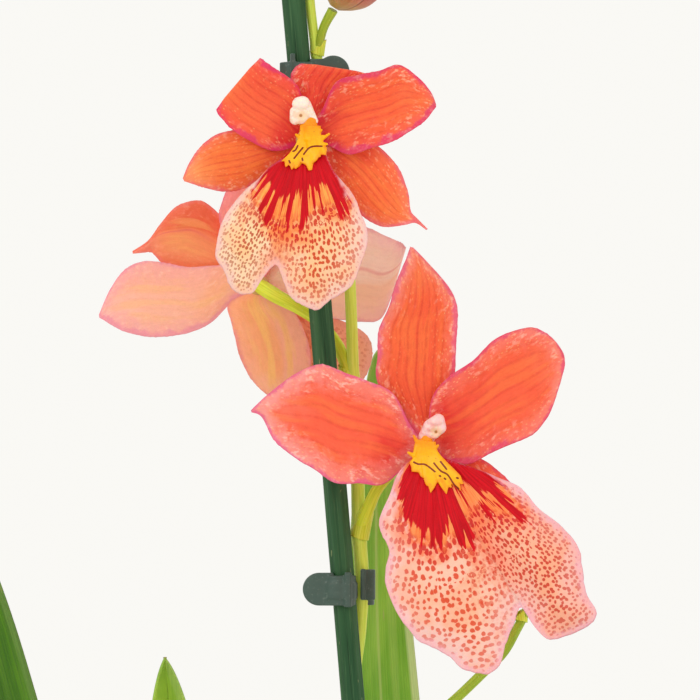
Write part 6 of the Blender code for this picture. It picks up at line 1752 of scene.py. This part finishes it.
def column_finish(bloom, cream, flush):
    """Pale and waxy, flushed towards its foot, with a few brown freckles."""
    g = Finish(bloom + "_column_wax", Roughness=0.34, Specular_IOR_Level=0.5, Subsurface_Weight=0.3,
               Subsurface_Scale=0.0012)
    spot = g.solid_place()
    patches = g.noise(spot, 0.8, 3.0, 0.6)
    colour = g.blend(g.step(patches, 0.4, 0.66), tint(*cream), tint(*flush))
    colour = g.blend(g.product(g.kept_number("cap"), 0.7), colour, tint(*cream))
    speck = g.step(g.cells(spot, 1.1), 0.15, 0.07)
    colour = g.blend(g.product(speck, g.step(patches, 0.48, 0.6), 0.6), colour, tint(186, 92, 60))
    colour = g.blend(g.product(g.kept_number("halo"), 0.8), colour, tint(246, 206, 164))
    colour = g.blend(g.product(g.kept_number("stain"), 0.95), colour, tint(184, 110, 24))
    return g.done(colour, g.noise(spot, 1.8, 3.0, 0.6), 0.1)


def heart_finish():
    """The green neck behind a bloom."""
    g = Finish("neck_skin", Roughness=0.5, Subsurface_Weight=0.15, Subsurface_Scale=0.001)
    spot = g.solid_place()
    patches = g.noise(spot, 0.5, 3.0, 0.6)
    colour = g.blend(patches, tint(186, 178, 96), tint(232, 150, 100))
    return g.done(colour, g.noise(spot, 2.5, 2.0), 0.1)


def green_finish(name, light, dark, stain, stained=0.3, along_scale=0.2, roughness=0.42, depth=0.08):
    """A smooth green skin with fine lengthwise streaks, small pale pores and a few stains."""
    g = Finish(name, Roughness=roughness, Specular_IOR_Level=0.22, Subsurface_Weight=0.1, Subsurface_Scale=0.0008)
    turn = g.kept_number("turn")
    run = g.product(g.kept_number("run"), 1000.0)
    streak = g.noise(g.combine(g.product(turn, 26.0), g.product(run, 0.12), 1.7), 1.0, 3.0, 0.6)
    spot = g.solid_place((1.0, 1.0, along_scale))
    patches = g.noise(spot, 0.5, 3.0, 0.6)
    colour = g.blend(g.step(streak, 0.32, 0.68), tint(*dark), tint(*light))
    colour = g.blend(g.product(g.step(patches, 0.52, 0.7), stained), colour, tint(*stain))
    pore = g.step(g.cells(g.solid_place((1.0, 1.0, 0.5)), 1.6), 0.16, 0.06)
    colour = g.blend(g.product(pore, 0.35), colour, tint(222, 226, 170))
    relief = g.calc("ADD", g.product(streak, 0.8), g.product(pore, 0.3))
    return g.done(colour, relief, depth)


def bud_finish():
    """Brownish pink over green at the foot, with darker seams and lengthwise streaks."""
    g = Finish("bud_skin", Roughness=0.42, Specular_IOR_Level=0.45, Subsurface_Weight=0.15, Subsurface_Scale=0.001)
    turn = g.kept_number("turn")
    run = g.product(g.kept_number("run"), 1000.0)
    streak = g.noise(g.combine(g.product(turn, 30.0), g.product(run, 0.15), 2.0), 1.0, 3.0, 0.6)
    patches = g.noise(g.solid_place(), 0.5, 3.0, 0.6)
    green = g.blend(streak, tint(176, 132, 74), tint(196, 160, 96))
    pink = g.blend(g.step(streak, 0.35, 0.65), tint(178, 82, 68), tint(208, 118, 100))
    colour = g.blend(g.step(g.calc("MULTIPLY_ADD", patches, 3.0, run), 2.2, 7.0), green, pink)
    colour = g.blend(g.product(g.step(patches, 0.54, 0.7), 0.4), colour, tint(206, 150, 112))
    seam = g.line(g.calc("MULTIPLY_ADD", turn, 3.0, 0.5), 0.035)
    colour = g.blend(g.product(seam, 0.7), colour, tint(120, 56, 40))
    return g.done(colour, g.calc("SUBTRACT", g.product(streak, 0.6), seam), 0.1)


def bract_finish():
    """Papery yellow-green with fine lengthwise lines and a dry brown tip."""
    g = Finish("bract_skin", Roughness=0.5, Specular_IOR_Level=0.35, Subsurface_Weight=0.15, Subsurface_Scale=0.0008)
    side, along, front = g.kept("place")
    across, run, rim = g.kept("flat")
    lines = g.noise(g.combine(g.product(across, 3.4), g.product(run, 0.12), 4.0), 1.0, 2.0)
    colour = g.blend(g.step(lines, 0.35, 0.65), tint(202, 212, 42), tint(228, 232, 84))
    dry = g.step(g.calc("ADD", along, g.product(g.step(rim, 0.4, 0.0), 0.2)), 0.9, 1.15)
    colour = g.blend(dry, colour, tint(172, 132, 60))
    return g.done(colour, lines, 0.08)


def cane_finish():
    """A split cane dyed dark green, with lengthwise fibres, lighter and darker lengthwise bands that are partly uneven
    dye and partly painted light and shade on its facets, and worn paler streaks.
    """
    g = Finish("dyed_cane", Roughness=0.5, Specular_IOR_Level=0.2)
    turn = g.kept_number("turn")
    run = g.product(g.kept_number("run"), 1000.0)
    fibres = g.noise(g.combine(g.product(turn, 44.0), g.product(run, 0.05), 0.0), 1.0, 4.0, 0.7)
    # Lighter and darker lengthwise bands: partly uneven dye, partly painted light and shade where the facets catch the
    # light.
    broad = g.noise(g.combine(g.product(turn, 7.0), g.product(run, 0.03), 3.0), 1.0, 2.0)
    colour = g.blend(g.step(broad, 0.3, 0.7), tint(36, 76, 44), tint(58, 98, 60))
    colour = g.blend(g.product(g.step(fibres, 0.52, 0.72), 0.6), colour, tint(86, 122, 82))
    crack = g.step(g.noise(g.combine(g.product(turn, 60.0), g.product(run, 0.035), 8.0), 1.0, 2.0), 0.64, 0.72)
    colour = g.blend(g.product(crack, 0.7), colour, tint(22, 44, 26))
    chip = g.step(g.noise(g.solid_place((1.0, 1.0, 0.25)), 1.3, 2.0), 0.7, 0.76)
    colour = g.blend(g.product(chip, 0.6), colour, tint(150, 156, 108))
    relief = g.calc("SUBTRACT", fibres, g.product(crack, 0.8))
    return g.done(colour, relief, 0.12, g.step(fibres, 0.3, 0.7, 0.42, 0.62))


def clip_finish():
    """Dark green moulded plastic, satin, with faint flow marks and dust."""
    g = Finish("clip_plastic_finish", Roughness=0.36, Specular_IOR_Level=0.35)
    spot = g.solid_place()
    flow = g.noise(g.solid_place((0.4, 0.4, 1.0)), 0.6, 3.0, 0.6)
    grain = g.noise(spot, 7.0, 2.0)
    colour = g.blend(flow, tint(58, 78, 70), tint(76, 96, 86))
    colour = g.blend(g.product(g.step(g.noise(spot, 1.6, 3.0, 0.6), 0.58, 0.7), 0.35), colour, tint(118, 134, 122))
    relief = g.calc("MULTIPLY_ADD", flow, 0.6, g.product(grain, 0.3))
    return g.done(colour, relief, 0.05, g.step(grain, 0.3, 0.7, 0.3, 0.46))


def leaf_finish(name, light, dark, seed, pale=1.0):
    """A strap leaf: fine parallel veins, a paler keel and underside, small scars and a dry tip, with painted
    highlights: a light strip inside one margin, and in part the paler keel and rims.
    """
    g = Finish(name, Roughness=0.4, Specular_IOR_Level=0.25, Subsurface_Weight=0.08, Subsurface_Scale=0.001)
    side, along, under = g.kept("place")
    across, run, rim = g.kept("flat")
    under = g.kept_number("under")
    veins = g.noise(g.combine(g.product(across, 2.2), g.product(run, 0.015), seed), 1.0, 3.0, 0.65)
    fine = g.line(g.product(side, 17.0), 0.16)
    broad = g.noise(g.combine(g.product(across, 0.15), g.product(run, 0.04), seed + 3.0), 1.0, 3.0)
    colour = g.blend(g.step(g.calc("MULTIPLY_ADD", veins, 0.5, broad), 0.55, 0.95), tint(*dark), tint(*light))
    colour = g.blend(g.product(fine, 0.2), colour, tint(*dark))
    lane = g.noise(g.combine(g.product(across, 0.45), g.product(run, 0.006), seed + 6.0), 1.0, 2.0)
    colour = g.blend(g.product(g.step(lane, 0.5, 0.68), 0.25 * pale), colour, tint(180, 204, 104))
    # The paler keel and rims are partly the leaf's own colour and partly a painted highlight along the fold and the
    # edges.
    keel = g.step(g.calc("ABSOLUTE", across), 0.6, 0.1)
    colour = g.blend(g.product(keel, 0.5 * pale), colour, tint(184, 198, 116))
    colour = g.blend(g.product(g.step(rim, 0.4, 0.1), 0.35 * pale), colour, tint(176, 196, 110))
    dry = g.step(g.calc("MULTIPLY_ADD", broad, 0.01, along), 0.999, 1.006)
    colour = g.blend(g.product(dry, 0.8), colour, tint(150, 122, 72))
    # Painted highlight: a light strip inside the margin on one side of the blade; pale scales it with the paler lanes,
    # keel, rims and underside.
    sunlit = g.product(g.step(rim, 1.9, 1.2), g.step(side, 0.2, 0.5))
    colour = g.blend(g.product(sunlit, 0.6 * pale), colour, tint(212, 220, 160))
    scar = g.step(g.cells(g.combine(g.product(across, 0.5), g.product(run, 0.06), seed), 1.0), 0.1, 0.04)
    colour = g.blend(g.product(scar, 0.6), colour, tint(164, 158, 96))
    colour = g.blend(g.product(under, 0.25 * pale), colour, tint(160, 190, 96))
    relief = g.calc("SUBTRACT", g.product(veins, 0.7), g.product(fine, 0.6))
    return g.done(colour, relief, 0.1, g.step(veins, 0.3, 0.7, 0.34, 0.48))


def bulb_finish():
    """A pseudobulb: green, yellower at its foot, with lengthwise ribs, brown freckles and scars."""
    g = Finish("bulb_skin", Roughness=0.4, Specular_IOR_Level=0.45, Subsurface_Weight=0.08, Subsurface_Scale=0.001)
    turn, height, front = g.kept("place")
    spot = g.solid_place()
    streak = g.noise(g.solid_place((1.4, 1.4, 0.08)), 0.9, 3.0, 0.6)
    patches = g.noise(spot, 0.13, 3.0, 0.6)
    colour = g.blend(g.step(streak, 0.32, 0.68), tint(88, 122, 44), tint(136, 160, 70))
    colour = g.blend(g.product(g.step(height, 0.5, 0.0), 0.6), colour, tint(176, 172, 92))
    colour = g.blend(g.product(g.step(patches, 0.54, 0.7), 0.45), colour, tint(150, 120, 60))
    speck = g.step(g.cells(spot, 0.7), 0.2, 0.1)
    colour = g.blend(g.product(speck, g.step(patches, 0.48, 0.6), 0.7), colour, tint(86, 58, 30))
    return g.done(colour, g.calc("ADD", streak, g.product(patches, 0.5)), 0.22)


def sheath_finish():
    """A dry papery sheath: straw to brown, with close lengthwise fibres and torn pale edges."""
    g = Finish("sheath_paper", Roughness=0.68, Specular_IOR_Level=0.25)
    across, run, rim = g.kept("flat")
    fibres = g.noise(g.combine(g.product(across, 1.9), g.product(run, 0.06), 0.0), 1.0, 4.0, 0.7)
    patches = g.noise(g.combine(across, g.product(run, 0.5), 6.0), 0.16, 3.0)
    colour = g.blend(g.step(fibres, 0.32, 0.68), tint(142, 108, 66), tint(206, 180, 132))
    colour = g.blend(g.product(g.step(patches, 0.46, 0.66), 0.6), colour, tint(112, 78, 46))
    colour = g.blend(g.product(g.step(rim, 1.4, 0.1), 0.5), colour, tint(222, 204, 164))
    return g.done(colour, fibres, 0.2)


def bark_finish():
    """Bark chips, each of its own brown, with fibres, cracks and paler cork."""
    g = Finish("bark_chip", Roughness=0.82, Specular_IOR_Level=0.2)
    chip = g.kept_number("chip")
    spot = g.solid_place()
    fibres = g.noise(g.solid_place((1.0, 1.0, 2.6)), 0.9, 4.0, 0.7)
    colour = g.blend(chip, tint(84, 54, 36), tint(140, 98, 66))
    colour = g.blend(g.product(g.step(fibres, 0.45, 0.7), 0.6), colour, tint(168, 126, 88))
    dark = g.step(g.cells(spot, 0.55, "DISTANCE_TO_EDGE"), 0.08, 0.0)
    colour = g.blend(g.product(dark, 0.6), colour, tint(40, 26, 18))
    return g.done(colour, g.calc("SUBTRACT", fibres, g.product(dark, 0.5)), 0.5)


def root_finish():
    """A root: silvery grey-green skin with brown rubs."""
    g = Finish("root_skin", Roughness=0.72, Specular_IOR_Level=0.3)
    spot = g.solid_place()
    patches = g.noise(spot, 0.35, 3.0, 0.6)
    fine = g.noise(spot, 2.4, 3.0, 0.6)
    colour = g.blend(g.step(fine, 0.35, 0.65), tint(176, 172, 148), tint(210, 206, 184))
    colour = g.blend(g.product(g.step(patches, 0.5, 0.66), 0.6), colour, tint(132, 138, 92))
    colour = g.blend(g.product(g.step(patches, 0.42, 0.3), 0.7), colour, tint(142, 108, 70))
    return g.done(colour, g.calc("ADD", fine, patches), 0.2)


def pot_finish():
    """Terracotta-coloured moulded plastic: satin, faintly pebbled, with a dust of lime towards the foot."""
    g = Finish("pot_moulded_plastic", Roughness=0.46, Specular_IOR_Level=0.45)
    spot = g.solid_place()
    height = g.parts(spot)[2]
    pebble = g.cells(spot, 1.5)
    cloud = g.noise(spot, 0.035, 4.0, 0.65)
    colour = g.blend(cloud, tint(158, 84, 56), tint(178, 100, 70))
    film = g.product(g.step(g.noise(spot, 0.11, 4.0, 0.7), 0.48, 0.68), g.step(height, 55.0, 4.0), 0.4)
    colour = g.blend(film, colour, tint(206, 172, 148))
    rub = g.product(g.step(g.noise(g.solid_place((1.0, 1.0, 4.0)), 0.25, 3.0), 0.58, 0.7), g.step(height, 94.0, 99.0))
    colour = g.blend(g.product(rub, 0.3), colour, tint(198, 132, 104))
    relief = g.calc("MULTIPLY_ADD", g.noise(spot, 0.5, 2.0), 0.5, g.product(pebble, 0.5))
    return g.done(colour, relief, 0.06, g.step(cloud, 0.3, 0.7, 0.38, 0.54))


def floor_finish():
    """A plain pale floor with barely any grain."""
    g = Finish("floor_paint", Roughness=0.85, Specular_IOR_Level=0.2)
    cloud = g.noise(g.solid_place(), 0.01, 3.0)
    return g.done(g.blend(cloud, tint(236, 234, 229), tint(242, 240, 235)))


TREES = {"sweep": sweep_tree(), "leaf": leaf_tree(), "bark": bark_tree()}
BLOOMS = {"upper": (UPPER_MIDDLE, UPPER_TEPALS, UPPER_LIP, 1.0), "lower": (LOWER_MIDDLE, LOWER_TEPALS, LOWER_LIP, 1.0),
          "back": (BACK_MIDDLE, BACK_TEPALS, BACK_LIP, -1.0)}
# The cream and the flush of each bloom's column
COLUMN_COLOURS = {"upper": ((250, 232, 216), (240, 206, 182)), "lower": ((246, 204, 200), (236, 162, 160)),
                  "back": ((248, 222, 204), (240, 190, 166))}


def add_blooms():
    callus = callus_finish()
    neck = heart_finish()
    for count, (bloom, (middle, tepals, margin, facing)) in enumerate(BLOOMS.items()):
        node = bloom + "_bloom"
        for order, (part, stations) in enumerate(tepals.items()):
            name = f"{bloom}_{part}"
            seed = 11.0 * count + 2.0 * order + 1.0
            mesh = tepal_mesh(name, stations, middle, facing, seed)
            piece(name, mesh, "tepal", node + "_tepals", material=tepal_finish(name, seed))
        piece(bloom + "_neck", heart_mesh(bloom + "_neck", middle, facing), "tepal", node + "_tepals", material=neck)
        lip = lip_mesh(bloom + "_lip", bloom, margin, middle, facing, 4.0 + count)
        piece(bloom + "_lip", lip, "lip", node + "_lip", material=lip_finish(bloom, 4.0 + count))
        crest = callus_mesh(bloom + "_callus", bloom, middle, facing)
        piece(bloom + "_callus", crest, "callus", node + "_callus", material=callus)
        shape = "lower" if bloom == "lower" else "upper"
        column = column_mesh(bloom + "_column", shape, middle, facing)
        wax = column_finish(bloom, *COLUMN_COLOURS[bloom])
        piece(bloom + "_column", column, "column", node + "_column", material=wax)


def add_spike():
    stem_green = green_finish("stem_skin", (224, 240, 104), (204, 226, 80), (196, 202, 70), 0.2)
    stalk_green = green_finish("stalk_skin", (228, 236, 72), (200, 214, 40), (226, 190, 70), 0.12)
    branch_green = green_finish("branch_skin", (176, 196, 62), (146, 172, 44), (140, 140, 54), 0.2)
    stem = stem_mesh("spike_stem", STEM_LINE, 420, stem_green, STEM_JOINTS)
    piece("spike_stem", stem, "green_stem", "flower_spike")
    stalks = [pedicel_mesh(name, line, stalk_green) for name, line in SIDE_STEMS.items() if name.startswith(
        ("lower", "upper", "back"))]
    piece("bloom_stalks", joined("bloom_stalks", stalks), "green_stem", "flower_spike")
    bud_stalks = [pedicel_mesh(name, line, branch_green) for name, line in SIDE_STEMS.items() if "bud" in name]
    piece("bud_stalks", joined("bud_stalks", bud_stalks), "green_stem", "flower_spike")
    branch = stem_mesh("side_branch", SIDE_STEMS["side_branch"], 120, branch_green)
    piece("side_branch", branch, "green_stem", "flower_spike")
    bracts = [bract_mesh(f"bract_{i}", *row) for i, row in enumerate(BRACTS)]
    piece("spike_bracts", joined("spike_bracts", bracts), "green_stem", "flower_spike", material=bract_finish())
    skin = bud_finish()
    for i, row in enumerate(BUDS):
        name = f"closed_bud_{i + 1}"
        piece(name, bud_mesh(name, *row, skin), "bud", f"bud_{i + 1}")


def add_stake():
    count = 300
    line = denser(STAKE_LINE, count)
    points = []
    ribbing = []
    for i, (x, y, z) in enumerate(line):
        end = min(i, count - 1 - i)
        worn = 0.0 if end else 0.35
        points.append((x, y, z, STAKE_RADIUS * (1.0 + 0.012 * wobble(z * 0.05, 2.0)) - worn - 0.1))
        ribbing.append(1.0 + 0.8 * wobble(z * 0.03, 5.0))
    cane = swept("green_cane", points, 63, 7.0, 0.09, ribbing, cane_finish())
    piece("green_cane", cane, "cane", "stake")
    plastic = clip_finish()
    for name, (height, stem, stem_radius, flap_side) in CLIPS.items():
        shape = clip_mesh("moulded_" + name, height, stem, stem_radius, flap_side)
        piece("moulded_" + name, shape, "clip_plastic", name, material=plastic)


def add_leaves():
    tall = leaf_finish("tall_leaf_skin", (146, 190, 66), (108, 160, 40), 1.0)
    young = leaf_finish("young_leaf_skin", (166, 200, 62), (128, 170, 44), 5.0, pale=0.2)
    deep = leaf_finish("deep_leaf_skin", (84, 134, 12), (56, 104, 2), 8.0, pale=0.15)
    for i, (name, spec) in enumerate(LEAVES.items()):
        blade = "strap_" + name
        material = young if name in ("leaf_4", "leaf_10") else deep if name in ("leaf_6", "leaf_3") else tall
        piece(blade, leaf_mesh(blade, spec, i + 1, material), "leaf", name)


# Sheaths: the bulb, the bearing of the middle of the wrap, half its reach, in degrees, and its height share
SHEATHS = [(0, 200.0, 84.0, 0.62), (0, 20.0, 70.0, 0.48), (1, 250.0, 86.0, 0.56), (1, 60.0, 74.0, 0.42),
           (2, 220.0, 84.0, 0.6), (2, 30.0, 74.0, 0.4)]


def add_bulbs():
    skin = bulb_finish()
    paper = sheath_finish()
    for i, spec in enumerate(BULBS):
        name = f"ribbed_bulb_{i + 1}"
        piece(name, bulb_mesh(name, spec, 3.0 + 7.0 * i), "pseudobulb", f"pseudobulb_{i + 1}", material=skin)
        dry = [sheath_mesh("dry_sheath", spec, start, reach, height, 5.0 * start)
               for bulb, start, reach, height in SHEATHS if bulb == i]
        name = f"dry_sheaths_{i + 1}"
        piece(name, joined(name, dry), "pseudobulb", f"pseudobulb_{i + 1}", material=paper)


def dome_height(radius):
    return MEDIUM_TOP + MEDIUM_DOME * (1.0 - (radius / 56.0) ** 2)


BARK_REACH = 50.5
BARK_BED_DROP = 3.0


def add_pot():
    piece("terracotta_pot", pot_mesh("terracotta_pot"), "pot_plastic", "pot", material=pot_finish())
    bark = bark_finish()
    top = bpy.data.meshes.new("bark_top")
    bm = bmesh.new()
    bmesh.ops.create_circle(bm, cap_ends=True, cap_tris=True, segments=48, radius=BARK_REACH * MM)
    bmesh.ops.subdivide_edges(bm, edges=bm.edges, cuts=6, use_grid_fill=True)
    for vert in bm.verts:
        vert.co.z = (dome_height(vert.co.xy.length / MM) - 2.0) * MM
    bm.to_mesh(top)
    bm.free()
    chips = grown("bark_chips", top, TREES["bark"], material=bark, spacing=0.0052, seed=5)
    piece("bark_chips", chips, "bark", "bark_medium")
    outline = [(0.0, 3.2), (POT_FOOT_RADIUS - POT_WALL - 2.0, 3.2)]
    outline += [(55.4, MEDIUM_TOP - BARK_BED_DROP - 1.5), (54.6, MEDIUM_TOP - BARK_BED_DROP)]
    outline += [(r, dome_height(r) - BARK_BED_DROP) for r in (48.0, 36.0, 24.0, 12.0, 0.0)]
    bed = lathe_mesh("bark_bed", outline, 96)
    keep(bed, "chip", np.zeros(len(bed.vertices)))
    piece("bark_bed", bed, "bark", "bark_medium", material=bark)
    skin = root_finish()
    roots = [root_mesh(f"root_{i}", root, 3.0 * i + 1.0, skin) for i, root in enumerate(ROOTS)]
    piece("aerial_roots", joined("aerial_roots", roots), "bark", "bark_medium")


def add_floor():
    bm = bmesh.new()
    bmesh.ops.create_circle(bm, cap_ends=True, segments=128, radius=5.0)
    mesh = bpy.data.meshes.new("studio_floor")
    bm.to_mesh(mesh)
    bm.free()
    mesh.materials.append(floor_finish())
    floor = bpy.data.objects.new("studio_floor", mesh)
    bpy.context.scene.collection.objects.link(floor)


# Lamps: place and aim in metres, width and height in metres, power in watts
LAMPS = {"key": ((-1.3, -2.0, 1.7), (-0.01, 0.0, 0.43), 1.5, 1.2, 13.0),
         "fill": ((1.5, -2.2, 0.8), (-0.01, 0.0, 0.43), 1.6, 1.4, 6.0)}
SKY = (0.955, 0.945, 0.91)


def add_light():
    for name, (place, aim, width, height, power) in LAMPS.items():
        lamp = bpy.data.lights.new(name + "_softbox", "AREA")
        lamp.shape = "RECTANGLE"
        lamp.size = width
        lamp.size_y = height
        lamp.energy = power
        thing = bpy.data.objects.new(name + "_softbox", lamp)
        thing.location = place
        thing.rotation_euler = (Vector(aim) - Vector(place)).to_track_quat("-Z", "Y").to_euler()
        thing.visible_camera = False
        bpy.context.scene.collection.objects.link(thing)
    world = bpy.data.worlds.new("studio_sky")
    world.use_nodes = True
    g = Graph(world.node_tree)
    g.tree.nodes.clear()
    sky = g.node("ShaderNodeBackground", {"Color": (*SKY, 1.0), "Strength": 1.0})
    g.node("ShaderNodeOutputWorld", {"Surface": sky.outputs[0]})
    bpy.context.scene.world = world
    bpy.context.scene.view_settings.view_transform = "Standard"


def add_camera():
    camera = bpy.data.cameras.new("photo_camera")
    camera.sensor_width = SENSOR_WIDTH
    camera.lens = SENSOR_WIDTH * CAMERA_DISTANCE / FRAME_WIDTH
    camera.clip_end = 50.0
    thing = bpy.data.objects.new("photo_camera", camera)
    thing.location = (FRAME_MIDDLE[0] * MM, -CAMERA_DISTANCE * MM, FRAME_MIDDLE[1] * MM)
    thing.rotation_euler = (math.radians(90.0), 0.0, 0.0)
    bpy.context.scene.collection.objects.link(thing)
    bpy.context.scene.camera = thing


add_camera()
add_light()
add_floor()
add_pot()
add_bulbs()
add_leaves()
add_stake()
add_spike()
add_blooms()
